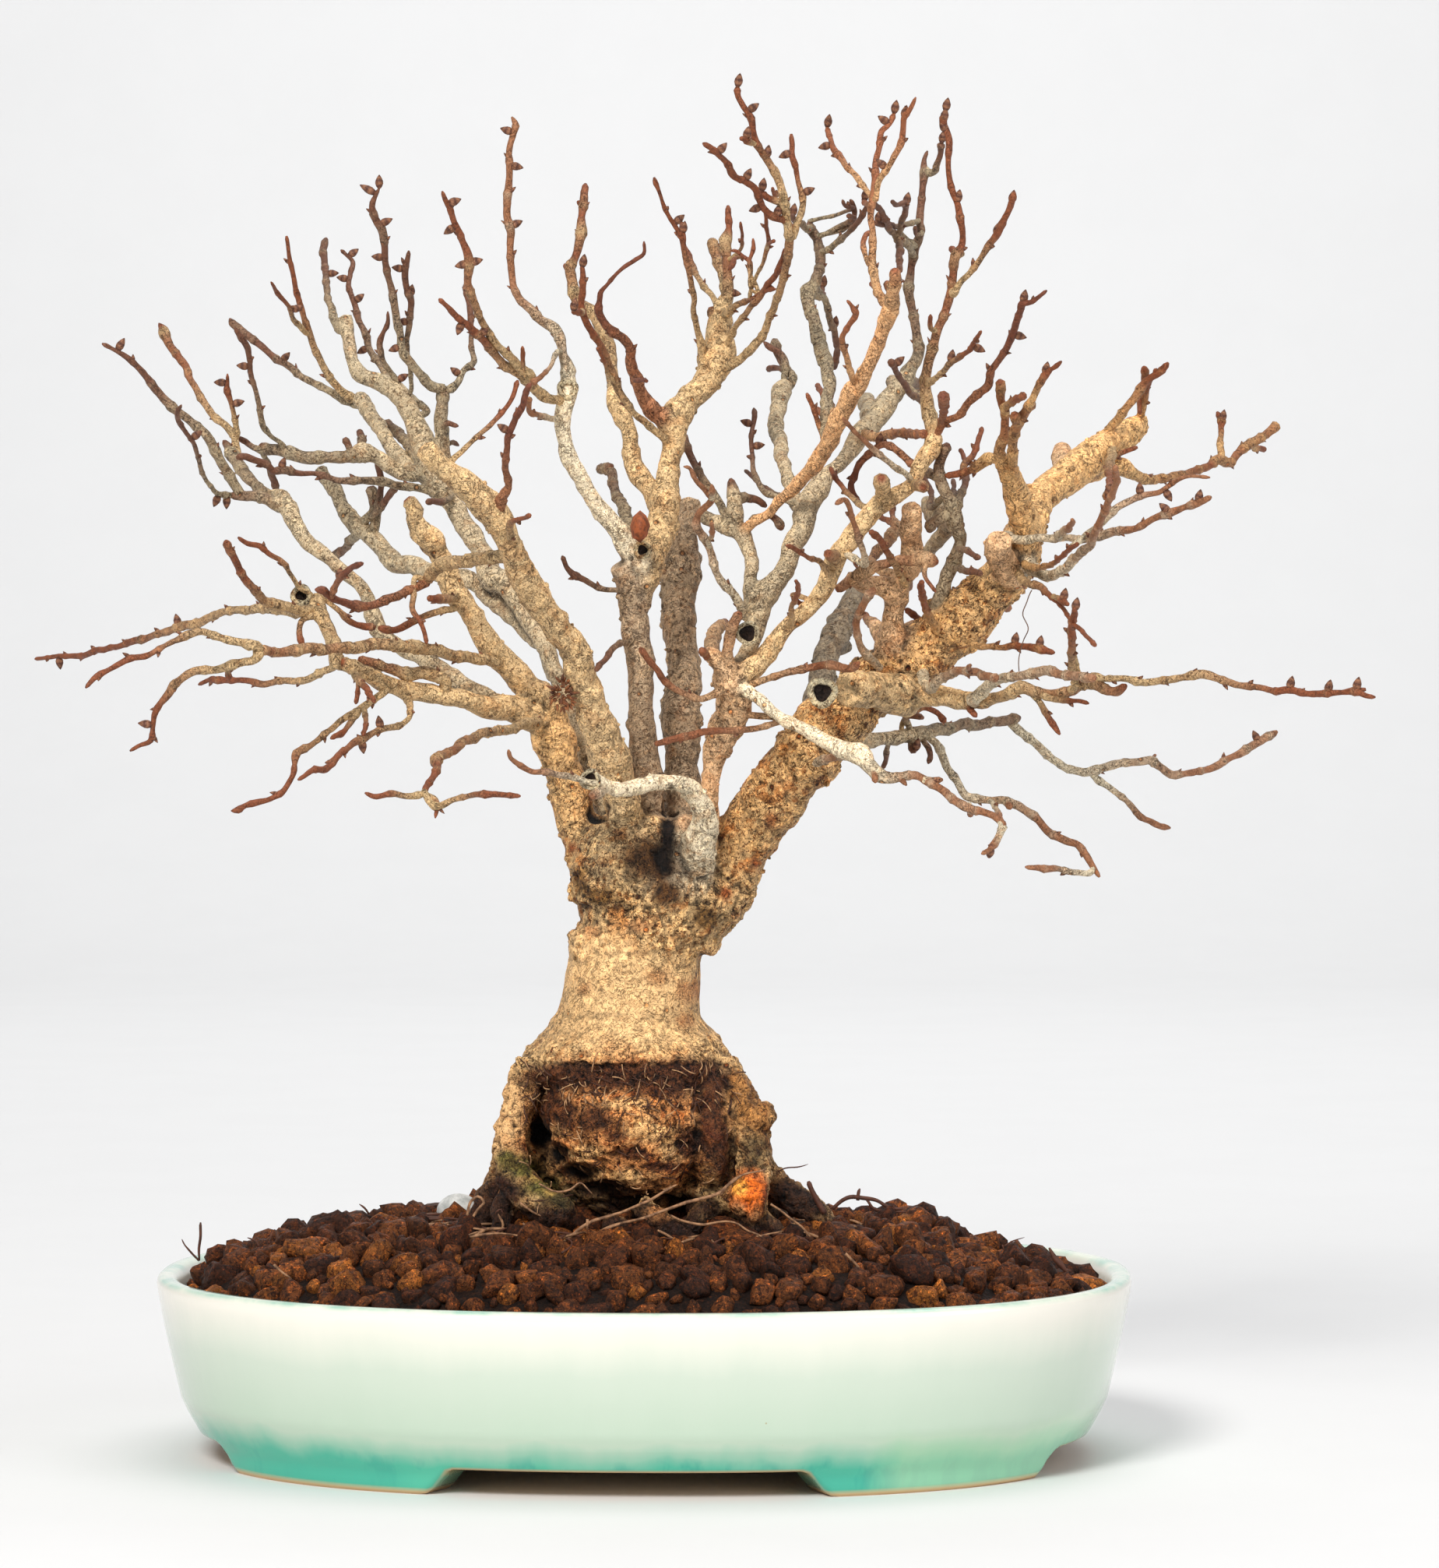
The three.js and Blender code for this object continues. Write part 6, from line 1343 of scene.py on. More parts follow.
def bark_tints(mesh, points, limb_tints, on_trunk):
    """Colours of the limbs, the trunk and the streaked wood under the ledge."""
    tints = smoothed(mesh, limb_tints, 10)
    tints = painted(tints, tinted("#e0b67e"), on_trunk)
    streaks = np.clip(0.55 + layered_noise(points * [1, 1, 0.3], 5, 61), 0, 1)
    under_ledge = np.clip((LEDGE_HEIGHT - points[:, 2]) / 5, 0, 1) * streaks
    return painted(tints, tinted("#8a6238"), under_ledge)


def hollow_shade(mesh, points, normals):
    """Darker in fine and in wide hollows, lighter on what stands out."""
    around = smoothed(mesh, points, 7)
    fine = ((around - points) * normals).sum(axis=1)
    wide = ((smoothed(mesh, around, 18) - points) * normals).sum(axis=1)
    return np.clip(1 - 2.8 * fine, 0.2, 1.35) * np.clip(1 - 0.4 * wide, 0.35, 1.1)


def make_wood(material):
    """Trunk, foot and main limbs as one blended skin with rough bark, and that skin's own data."""
    mesh = blended_mesh(material)
    points = points_of(mesh)
    height = points[:, 2].copy()
    limb_tints, radii = nearest_limb_tints(points)
    on_trunk = np.clip((TRUNK_HEIGHT - height) / 8, 0, 1)
    tints = bark_tints(mesh, points, limb_tints, on_trunk)
    normals = normals_of(mesh)
    face = front_face(points, normals)
    points += normals * (bark_relief(points, radii, on_trunk) - sunk(face))[:, None]
    set_points(mesh, points)
    normals = normals_of(mesh)
    tints = paint_patches(face, tints)
    # painted light: above the neck, skin that faces up is made lighter and skin that faces down darker
    lit_from_above = 1 + 0.26 * normals[:, 2] * np.clip((height - NECK_HEIGHT) / 30, 0, 1)
    tints[:, :3] *= lit_from_above[:, None]
    tints[:, :3] *= hollow_shade(mesh, points, normals)[:, None]
    buried = np.clip((SOIL_HEIGHT - height) / 4, 0, 1)
    tints = painted(tints, tinted("#341c0d"), buried)
    set_tint(mesh, tints)
    shade_smooth(mesh)
    skin = {"points": points, "normals": normals, "tints": tints, "radii": radii}
    mesh = with_fewer_faces(add_piece("trunk_and_limbs", mesh))
    mesh.materials.clear()
    mesh.materials.append(material)
    return add_piece("trunk_and_limbs", mesh), skin


def make_bark_chips(skin, material):
    """Loose flakes and small burrs that break the outline of the rough bark."""
    random = np.random.default_rng(21)
    ball, faces = ball_points(1)
    points = skin["points"]
    burr = (points[:, 2] > 128) & (points[:, 2] < 178)
    rough = np.flatnonzero((skin["radii"] > 3.2) & (points[:, 2] > 150) | burr)
    builder = Builder()
    for vertex in random.choice(rough, CHIPS, replace=False):
        normal = skin["normals"][vertex]
        size = random.uniform(0.35, 0.85) * min(1.2, 0.6 + skin["radii"][vertex] / 12)
        stretched = ball * random.uniform(0.6, 1.5, 3)
        shape = stretched * (1 + 0.25 * layered_noise(ball + vertex, 0.8, 2, 2))[:, None]
        turn = np.array(Vector(normal).to_track_quat("Z", "Y").to_matrix())
        shape[:, 2] *= 0.8
        tint = skin["tints"][vertex] * [*[random.uniform(0.45, 1.15)] * 3, 1]
        builder.add(points[vertex] + shape @ turn.T * size, faces, tint)
    return builder.make("bark_chips", material)


def make_root_fibres(skin, material):
    """Curled fine roots that cling to the band under the ledge and to the ball."""
    random = np.random.default_rng(17)
    points = skin["points"]
    height = points[:, 2]
    front = (points[:, 1] < -9) & (abs(points[:, 0] + 6) < 27)
    band = np.flatnonzero(front & (height > 90) & (height < 100.5))
    ball = np.flatnonzero(front & (height > 66) & (height < 92))
    builder = Builder()
    for spots, count, longest in ((band, 170, 5.5), (ball, 90, 4.5)):
        for vertex in random.choice(spots, count, replace=False):
            normal = skin["normals"][vertex]
            along = unit(np.cross(normal, random.normal(size=3)))
            bend = np.cross(normal, along) * random.uniform(-0.5, 0.5)
            length = random.uniform(2, longest)
            path = []
            for share in np.linspace(0, 1, 6):
                lift = 0.15 + 0.55 * math.sin(share * math.pi) - 0.3 * share
                spot = points[vertex] + along * length * share + bend * length * share**2 + normal * lift
                path.append([*spot, random.uniform(0.11, 0.2)])
            tone = FIBRE_TONES[int(random.random() < 0.5)]
            builder.add_strand(path, 0.7, 5, tinted(tone, 0.5))
    return builder.make("root_fibres", material)


# buds seen on the twigs, as "x,y" of their tips in the front view
BUDS = (
    "434,745 487,230 467,240 499,283 485,330 508,447 589,480 439,357 453,325 467,449 457,386 518,484 "
    "519,413 528,381 516,345 427,351 368,457 378,397 314,470 362,598 281,491 306,517 157,439 249,561 "
    "279,640 291,648 660,213 653,168 661,288 592,417 618,430 580,260 579,294 593,340 609,336 650,552 "
    "77,854 228,798 183,929 488,931 466,960 747,345 736,400 876,299 868,285 941,376 924,194 960,225 "
    "970,268 978,244 984,202 998,276 1034,247 1012,197 966,139 947,112 957,180 1018,276 1135,154 "
    "1148,146 1160,152 1135,213 1062,163 1062,187 1110,258 1127,286 1162,264 1057,370 1071,423 957,542 "
    "974,572 1152,466 1127,571 1214,143 1211,157 1215,168 1209,184 1229,261 1278,303 1300,260 1219,465 "
    "1256,447 1313,388 1305,430 1342,482 1422,638 1365,773 1464,631 1499,634 1500,656 1537,647 1303,827 "
    "1334,833 1655,884 1705,893 1741,886 1568,541 1615,950 1379,785 1176,962 1270,1101"
)
BUD_LENGTH = 3.6
LONGEST_BUD = 6.5
BUD_WIDTH = 2.1
BUD_SIDES = 8
# a bud from foot to tip: share of its length, share of its greatest width
BUD_SHAPE = "0,0.4 0.15,0.75 0.35,1 0.55,0.95 0.78,0.6 0.93,0.25 1,0.04"
BUD_TINT = tinted("#5a3428", 1)
SCALE_TINT = tinted("#9a6a4c", 1)


def add_bud(builder, foot, direction, length, width):
    """A pointed bud with overlapping scales; its foot is sunk into the twig."""
    ahead = unit(direction)
    rows = numbers(BUD_SHAPE)
    path = np.array([[*(foot + ahead * (length * along)), width / 2 * wide] for along, wide in rows])
    points, faces = capped_rings(swept_rings(path, BUD_SIDES))
    tints = np.array([BUD_TINT if level % 2 else SCALE_TINT for level in range(len(rows))])
    tints = np.concatenate([tints.repeat(BUD_SIDES, 0), tints[:1], tints[-1:]])
    builder.add(points, faces, tints)


def add_seen_buds(builder, paths):
    """Buds at the tips read from the front view, each on the nearest thin limb."""
    spots = np.concatenate(paths)
    thin = spots[spots[:, 3] < 2.2]
    pixel_x, pixel_y = seen_at(thin)
    for x, y in numbers(BUDS):
        nearest = np.argmin(np.hypot(pixel_x - x, pixel_y - y))
        foot = thin[nearest]
        tip = place(x, y, foot[1])
        reach = tip - foot[:3]
        length = max(np.linalg.norm(reach) + 1.2, BUD_LENGTH)
        if np.linalg.norm(reach) < 0.5:
            reach = np.array([0.2, -0.3, 1])
        add_bud(builder, foot[:3], reach, min(length, LONGEST_BUD), BUD_WIDTH)


def add_node_buds(builder, path, seed):
    """Small buds at the nodes of a twig, on its two sides in turn."""
    random = np.random.default_rng(seed)
    phase = node_phase(path, seed)
    for turn in range(int(phase[0]) + 1, int(phase[-1])):
        k = int(np.argmin(abs(phase - turn - 0.5)))
        if path[k, 3] > 2.0 or random.random() < 0.5 or k < 5:
            continue
        ahead = unit(path[min(k + 1, len(path) - 1), :3] - path[k - 1, :3])
        side = unit(np.cross(ahead, [0.25, 1, 0.1]) * (1 if turn % 2 else -1))
        length = random.uniform(0.9, 1.8) + path[k, 3]
        add_bud(builder, path[k, :3], ahead * 1.1 + side, length, random.uniform(0.8, 1.3))


def make_twigs(material):
    """The thin wood in two pieces, left and right, and the buds in a third."""
    halves = {"twigs_left": Builder(), "twigs_right": Builder()}
    buds = Builder()
    paths = []
    for seed, grown in enumerate(limbs):
        spots = twig_part(grown)
        if spots is None:
            continue
        side = "twigs_left" if spots[-1, 0] < 0 else "twigs_right"
        path = add_twig(halves[side], grown, spots, seed)
        paths.append(path)
        add_node_buds(buds, path, seed)
    add_seen_buds(buds, paths)
    pieces = [builder.make(name, material) for name, builder in halves.items()]
    pieces.append(buds.make("buds", material))
    return pieces


def oval_point(angle, inset):
    """A point of the pot's rounded oval, drawn in by the inset."""
    power = 2 / POT_SQUARENESS
    cos, sin = np.cos(angle), np.sin(angle)
    x = np.sign(cos) * abs(cos) ** power * (POT_HALF_LENGTH - inset)
    y = np.sign(sin) * abs(sin) ** power * (POT_HALF_DEPTH - inset)
    return x, y


def pot_angles(count):
    """Angles that spread points evenly around the oval."""
    fine = np.linspace(0, 2 * math.pi, 4001)
    x, y = oval_point(fine, 0)
    along = running_total(np.hypot(np.diff(x), np.diff(y)))
    return np.interp(np.arange(count) / count * along[-1], along, fine)


def turned(points):
    """From the pot's own place to its place under the tree."""
    cos, sin = math.cos(POT_TURN), math.sin(POT_TURN)
    x = points[:, 0] * cos - points[:, 1] * sin + POT_X
    y = points[:, 0] * sin + points[:, 1] * cos
    return np.stack([x, y, points[:, 2]], axis=1)


def ramp(distance, arch):
    """1 inside an arch, 0 outside it, smooth between its two half widths."""
    bottom, top = arch
    share = np.clip((bottom - distance) / (bottom - top), 0, 1)
    return share * share * (3 - 2 * share)


def arch_lift(x, y):
    """How far the lower edge stands above the ground at a point of the outline."""
    long_side = ramp(abs(x), LONG_ARCH) * (abs(x) < 80)
    end_side = ramp(abs(y), END_ARCH) * (abs(y) < 60)
    return FOOT_HEIGHT * np.maximum(long_side, end_side)


def pot_rings():
    """Rings from the middle of the underside out, up the wall, over the rim and down inside."""
    angles = pot_angles(POT_SEGMENTS)
    outside = numbers(POT_OUTSIDE)
    inside = numbers(POT_INSIDE)
    lift = arch_lift(*oval_point(angles, outside[0, 0]))

    def ring(inset, height):
        """The pot's oval, drawn in by an inset, at a height."""
        return flat_points(*oval_point(angles, inset), height)

    rings = [ring(inset, FOOT_HEIGHT) for inset in (96, 80, 60, 40, 30, FOOT_RING + 13.6)]
    rings.append(ring(FOOT_RING + 13, np.maximum(lift, FOOT_HEIGHT - 0.7)))
    rings.append(ring(FOOT_RING + 12.6, np.minimum(lift + 0.6, FOOT_HEIGHT)))
    rings.append(ring(FOOT_RING + 12, lift))
    rings.append(ring(outside[0, 0] + 2, lift))
    for height in np.linspace(0, POT_SKIRT, 12):
        level = lift + height / POT_SKIRT * (POT_SKIRT - lift)
        inset = np.interp(level, outside[:, 1], outside[:, 0])
        rounding = np.exp(-height / 0.5) * 0.8
        rings.append(ring(inset + rounding, level))
    for height in np.linspace(POT_SKIRT + 1.2, LIP_HEIGHT, 26):
        rings.append(ring(np.interp(height, outside[:, 1], outside[:, 0]), height))
    lip = outside[outside[:, 1] > LIP_HEIGHT]
    rings += [ring(inset, height) for inset, height in (*lip, *inside)]
    rings += [ring(inset, POT_FLOOR) for inset in (30, 50, 75, 96)]
    return rings


def drill(piece, x):
    """Cuts a drain hole through the floor of the pot."""
    angles = circle_angles(40)
    circle = np.cos(angles) * DRAIN_RADIUS + x, np.sin(angles) * DRAIN_RADIUS
    rings = [turned(flat_points(*circle, height)) for height in (FOOT_HEIGHT - 3, POT_FLOOR + 3)]
    builder = Builder()
    builder.add(*capped_rings(rings))
    tool = builder.make("drill", piece.data.materials[0])
    cut = piece.modifiers.new("drill", "BOOLEAN")
    cut.operation = "DIFFERENCE"
    cut.object = tool
    mesh = after_modifiers(piece)
    bpy.data.objects.remove(tool)
    return add_piece("glazed_pot", mesh)


def make_pot(material):
    """The glazed pot with its feet and its two drain holes."""
    points, faces = capped_rings(pot_rings())
    builder = Builder()
    builder.add(turned(points), faces)
    pot = builder.make("glazed_pot", material)
    for x in (-DRAIN_X, DRAIN_X):
        pot = drill(pot, x)
    return pot


# how many shapes the grains are picked from, and the radius in mm from which a grain is coarse
GRAIN_SHAPES = 48
COARSE_RADIUS = 1.8
GRAIN_TONES = ("#633718", "#703f1b", "#47250f", "#7d4922", "#3c1e0c", "#975b24", "#522d13", "#683b19")
# sizes of the grains from coarse to fine: least and greatest radius, and how many are tried
GRAIN_SIZES = "3.1,4.5,2600 2.2,3.0,7000 1.2,1.9,9000"


def soil_level(x, y):
    """Height of the soil at a point of the pot's own place."""
    half_x = POT_HALF_LENGTH - SOIL_INSET
    half_y = POT_HALF_DEPTH - SOIL_INSET
    across = (abs(x) / half_x) ** POT_SQUARENESS + (abs(y) / half_y) ** POT_SQUARENESS
    reach = np.clip(across ** (1 / POT_SQUARENESS), 0, 1)
    lumps = 1.2 * lattice_noise(np.stack([x, y, 0 * x], axis=1), 26, 4)
    right_drop = 6 * np.clip((x - 74) / 14, 0, 1)
    return SOIL_EDGE + (SOIL_RISE + lumps) * (1 - reach**5) ** 0.8 - right_drop * (1 - reach**8)


def ball_points(fineness):
    """Points and faces of a round ball that the grains are shaped from."""
    bpy.ops.mesh.primitive_ico_sphere_add(subdivisions=fineness, radius=1)
    ball = bpy.context.object
    points = np.array([v.co[:] for v in ball.data.vertices])
    faces = [list(p.vertices) for p in ball.data.polygons]
    bpy.data.objects.remove(ball)
    return points, faces


def lump_shape(ball, seed):
    """A broken lump with flat faces, blunt corners and a pitted skin, about 1 in radius."""
    random = np.random.default_rng(seed)
    flats = random.normal(size=(9, 3))
    flats = np.concatenate([flats, -flats[:4]])
    flats /= np.linalg.norm(flats, axis=1)[:, None]
    reach = random.uniform(0.55, 0.8, 13)
    facing = ball @ flats.T
    cut = np.where(facing > 0.05, reach / np.maximum(facing, 0.05), 9)
    soft = (np.minimum(cut, 1.25) ** -40).sum(axis=1) ** (-1 / 40)
    shape = ball * (soft * 1.25)[:, None]
    rough = 0.1 * layered_noise(shape + seed, 0.4, 3, 2)
    return shape * (1 + rough)[:, None] * random.uniform(0.75, 1.2, 3)


def scattered_grains():
    """Places of the grains: x, y and radius in the pot's own place, the coarse ones first."""
    random = np.random.default_rng(8)
    cell = 9
    grid = {}
    placed = []
    for least, greatest, tries in numbers(GRAIN_SIZES):
        for _ in range(int(tries)):
            radius = random.uniform(least, greatest)
            x = random.uniform(-POT_HALF_LENGTH, POT_HALF_LENGTH)
            y = random.uniform(-POT_HALF_DEPTH, POT_HALF_DEPTH)
            half_x = POT_HALF_LENGTH - SOIL_INSET - radius
            half_y = POT_HALF_DEPTH - SOIL_INSET - radius
            if abs(x / half_x) ** POT_SQUARENESS + abs(y / half_y) ** POT_SQUARENESS > 1:
                continue
            column, row = int(x // cell), int(y // cell)
            near = [
                other
                for i in (-1, 0, 1)
                for j in (-1, 0, 1)
                for other in grid.get((column + i, row + j), ())
            ]
            if any(math.hypot(x - ox, y - oy) < (radius + other) * 0.8 for ox, oy, other in near):
                continue
            grid.setdefault((column, row), []).append((x, y, radius))
            placed.append((x, y, radius))
    return np.array(placed)


def make_soil_bed(material):
    """The bed that shows between the grains: damp soil, painted darker still as the shade in the gaps."""
    angles = pot_angles(160)
    rim_x, rim_y = oval_point(angles, SOIL_INSET - 0.6)
    rings = [turned(flat_points(*oval_point(angles, 16), POT_FLOOR + 4))]
    for share in np.linspace(1, 0.01, 60):
        x, y = rim_x * share, rim_y * share
        relief = layered_noise(flat_points(x, y, 0), 5, 31)
        rings.append(turned(flat_points(x, y, soil_level(x, y) - 1.2 + relief * 0.8)))
    builder = Builder()
    # near-black: damp soil, and painted shade in the gaps between the grains
    builder.add(*capped_rings(rings), tinted("#1c0e06", 0.5))
    return builder.make("soil_bed", material)


def make_grains(material):
    """Loose grains in three pieces: finely shaped ones in front, plainer ones behind, and small ones."""
    kinds = {}
    for kind, fineness in (("fine", 3), ("plain", 2)):
        ball, faces = ball_points(fineness)
        kinds[kind] = [lump_shape(ball, seed) for seed in range(GRAIN_SHAPES)], faces
    places = scattered_grains()
    random = np.random.default_rng(5)
    tones = [colour(code) for code in GRAIN_TONES]
    builders = {"grains_front": Builder(), "grains_back": Builder(), "grains_small": Builder()}
    levels = soil_level(places[:, 0], places[:, 1])
    centres = turned(flat_points(places[:, 0], places[:, 1], levels))
    for index, ((_, y, radius), centre) in enumerate(zip(places, centres)):
        turn = Vector(random.normal(size=3)).normalized().to_track_quat("Z", "Y").to_matrix()
        if radius <= COARSE_RADIUS:
            name = "grains_small"
        else:
            name = "grains_front" if y < 10 else "grains_back"
        shapes, faces = kinds["fine" if name == "grains_front" else "plain"]
        shape = shapes[index % GRAIN_SHAPES] @ np.array(turn)
        centre = centre + [0, 0, radius * random.uniform(-0.5, 0.4) - 0.6]
        tone = mixed(tones[random.integers(len(tones))], colour("#34190c"), random.random() * 0.6)
        builders[name].add(shape * radius + centre, faces, [*tone, random.random()])
    return [builder.make(name, material) for name, builder in builders.items()]


# fine roots and dry stalks on the soil: their depth, then points of the front view as "x,y,thickness"
FINE_ROOTS = {
    "loop_left": (-24, "604,1577,3 601,1555,4 606,1540,4 616,1535,4 622,1542,4 612,1552,4 604,1575,4 "
                  "612,1592,4 628,1598,4 640,1588,4 646,1572,4 640,1558,3"),
    "loop_right": (-22, "640,1580,3 636,1560,3 643,1552,3 648,1566,3 644,1585,3"),
    "cross_long": (-36, "700,1615,4 730,1590,5 762,1566,5 800,1556,4 840,1538,4 868,1520,3"),
    "cross_low": (-40, "742,1625,4 760,1600,4 775,1580,4 798,1568,3"),
    "cross_right": (-34, "745,1600,4 775,1578,4 830,1562,4 880,1545,5 925,1530,5 952,1508,4"),
    "left_slip": (-34, "672,1570,3 690,1590,3 705,1612,3"),
    "left_hair": (-30, "668,1545,3 690,1560,3 720,1566,2"),
    "moss_hair": (-34, "692,1520,2 715,1530,3 735,1527,3 745,1518,2 760,1532,2"),
    "stub_a": (-42, "770,1598,5 776,1612,5 784,1625,4"),
    "stub_b": (-42, "800,1584,5 797,1604,5 794,1628,4"),
    "stub_c": (-40, "755,1566,4 754,1580,4"),
    "right_slip": (-32, "860,1560,3 900,1572,4 935,1568,3 980,1590,3"),
    "right_wave": (-34, "845,1580,3 862,1590,4 878,1600,3"),
    "right_long": (-30, "990,1545,3 1010,1560,3 1030,1575,3 1042,1590,3"),
    "knob_hair": (-28, "926,1535,3 938,1518,4 955,1508,3 985,1500,2"),
    "stalk_left": (-10, "256,1618,3 255,1600,4 257,1580,4 258,1570,4"),
    "stalk_left_side": (-10, "256,1618,3 243,1606,3 236,1597,2 233,1590,2"),
    "stalk_low": (-12, "334,1602,3 326,1592,3 318,1588,2"),
    "stalk_thin": (-12, "330,1600,2 338,1592,1 337,1582,1"),
    "stalk_fork": (0, "474,1560,3 468,1550,3 462,1546,2"),
    "stalk_right": (-8, "995,1508,2 1008,1500,2 1024,1498,2 1038,1493,1"),
    "root_stub": (-12, "1058,1558,8 1050,1544,8 1043,1528,7 1037,1516,8"),
    "dead_twig": (8, "1068,1552,5 1090,1536,6 1110,1538,6 1130,1542,5 1146,1552,5 1160,1552,4"),
    "dead_twig_up": (8, "1100,1540,5 1102,1530,5 1104,1526,4"),
    "dead_twig_low": (8, "1112,1540,4 1122,1552,4 1140,1556,3 1164,1556,2"),
    "right_hair": (-18, "1290,1600,2 1300,1594,2 1316,1588,1"),
    "right_hair_low": (-18, "1288,1598,2 1290,1606,2"),
    "rim_leaf": (-20, "1348,1602,3 1352,1612,8 1362,1622,10 1372,1634,4"),
    "front_stick": (-62, "1085,1608,4 1098,1622,4 1112,1636,3"),
    "front_hair": (-60, "352,1622,3 362,1632,3 374,1640,2"),
}
ROOT_TONES = {"light": "#b0825c", "brown": "#5b3322"}
# names that start with one of these words are brown
DARK_ROOTS = "stalk root_stub dead rim loop_right right_hair"
# number of short roots scattered around the foot
LOOSE_ROOTS = 70
# a dry thread that hangs from a limb on the right
THREAD = "1326,757,1.6 1320,771,1.6 1313,789,1.6 1321,808,1.6 1314,822,1.5 1309,850,1.5 1308,864,1.4"
THREAD_DEPTH = -34


def add_root(builder, depth, route, tint):
    """Adds a slightly crooked root seen in the front view."""
    path = fine_path(np.array([spot_at(*point, depth) for point in numbers(route)]), 0.8)
    path[:, :3] += 0.35 * np.stack([lattice_noise(path[:, :3] + 9 * k, 4, k) for k in range(3)], axis=1)
    path[-1, 3] *= 0.5
    builder.add(*capped_rings(swept_rings(path, 6)), tint)


def make_fine_roots(material):
    """The roots and stalks seen on the soil, the hanging thread, and short roots around the foot."""
    builder = Builder()
    for name, (depth, route) in FINE_ROOTS.items():
        dark = name.startswith(tuple(DARK_ROOTS.split()))
        tone = ROOT_TONES["brown" if dark else "light"]
        add_root(builder, depth, route, tinted(tone, 0.5))
    add_root(builder, THREAD_DEPTH, THREAD, tinted("#6e5240", 0.5))
    random = np.random.default_rng(12)
    for _ in range(LOOSE_ROOTS):
        angle = random.uniform(0, 2 * math.pi)
        reach = random.uniform(30, 44)
        x, y = -5 + math.cos(angle) * reach * 1.05, 2 + math.sin(angle) * reach
        turn = angle + random.uniform(-0.9, 0.9)
        path = []
        for step in range(6):
            level = soil_level(np.array([x - POT_X]), np.array([y]))
            arch = 1.6 * math.sin(step / 5 * math.pi)
            path.append([x, y, level[0] + 0.6 + arch, random.uniform(0.2, 0.42)])
            x += math.cos(turn) * 3.4
            y += math.sin(turn) * 3.4
            turn += random.uniform(-0.6, 0.6)
        tone = ROOT_TONES["light" if random.random() < 0.6 else "brown"]
        builder.add_strand(path, 0.9, 5, tinted(tone, 0.5))
    return builder.make("fine_roots", material)


# middle and half sizes of the pebble in mm
PEBBLE_MIDDLE = [-51, 22, 59.5]
PEBBLE_HALF = [5.8, 4.9, 4.6]


def make_pebble(material):
    """A rounded stone that lies on the soil."""
    points, faces = ball_points(3)
    shape = points * (1 + 0.05 * layered_noise(points, 1.1, 6))[:, None]
    builder = Builder()
    builder.add(shape * PEBBLE_HALF + PEBBLE_MIDDLE, faces)
    return builder.make("stone", material)


# Old cuts in the front view: x, y, then the outer and inner radius of the rolled lip, all in pixels.
# Below them are the limbs that carry them, in the same order.
CUT_RINGS = "387,764,14,7 758,1001,14,8 729,500,14,6 1056,889,20,11 960,813,16,10 825,706,12,6"
CUT_LIMBS = "left_low_up grey_cut centre_left cut_stub front_knot centre_stem"
LIP_SIDES = 8
CUT_SIDES = 28


def add_cut(builder, centre, reach, lip, shift):
    """A rolled lip of pale new bark around a hollow middle that faces the front, painted dark as shade."""
    angles = circle_angles(CUT_SIDES)
    spin = circle_angles(LIP_SIDES)
    rings = []
    for angle in angles:
        wide = reach * (1 + 0.08 * math.sin(angle * 3 + shift)) + np.cos(spin) * lip
        ring = [math.cos(angle) * wide, np.sin(spin) * lip, math.sin(angle) * wide]
        rings.append(centre + np.stack(ring, axis=1))
    faces = ring_faces(CUT_SIDES, LIP_SIDES)
    last = (CUT_SIDES - 1) * LIP_SIDES
    faces += [[last + k, last + (k + 1) % LIP_SIDES, (k + 1) % LIP_SIDES, k] for k in range(LIP_SIDES)]
    builder.add(np.concatenate(rings), faces, tinted("#d9c7a2"))

    # painted shade: the shallow middle is dark to stand for the shade inside the hole
    disc = np.stack([np.cos(angles) * reach, 0 * angles + lip * 0.3, np.sin(angles) * reach], axis=1)
    points = np.concatenate([disc + centre, [centre + [0, lip * 1.6, 0]]])
    fan = [[CUT_SIDES, k, (k + 1) % CUT_SIDES] for k in range(CUT_SIDES)]
    builder.add(points, fan, tinted("#2a1a0f"))


def make_cut_rings(material):
    """The old cuts, each on the front of the limb that carries it."""
    builder = Builder()
    for (x, y, outer, inner), name in zip(numbers(CUT_RINGS), CUT_LIMBS.split()):
        spots = limb_named[name]["spots"]
        middle = place(x, y, 0)
        near = spots[np.argmin(np.hypot(spots[:, 0] - middle[0], spots[:, 2] - middle[2]))]
        scale = pixel_size(near[1])
        centre = place(x, y, near[1] - near[3] * 0.93)
        add_cut(builder, centre, (outer + inner) / 2 * scale, (outer - inner) / 2 * scale, x)
    return builder.make("cut_rings", material)


# outline of the dry leaf and place of the frayed knot in the front view
LEAF = "822,655 830,662 835,674 831,688 822,697 812,690 809,676 813,663"
LEAF_DEPTH = -24
FRAYED_KNOT = (723, 890)
FRAYED_FLAKES = 60


def make_dry_leaf(material):
    """A curled dry leaf caught in a fork."""
    builder = Builder()
    outline = numbers(LEAF)
    middle = outline.mean(axis=0)
    rings = []
    for share in (0.02, 0.35, 0.7, 1):
        around = middle + (outline - middle) * share
        cupped = LEAF_DEPTH - 2.5 + 3.2 * share**2
        depths = cupped + 0.04 * (around[:, 0] - middle[0]) ** 2 * 0.2
        rings.append(np.array([place(x, y, depth) for (x, y), depth in zip(around, depths)]))
    back = [ring + [0, 0.35, 0] for ring in reversed(rings)]
    builder.add(*capped_rings(rings + back), tinted("#a5562c"))
    return builder.make("dry_leaf", material)


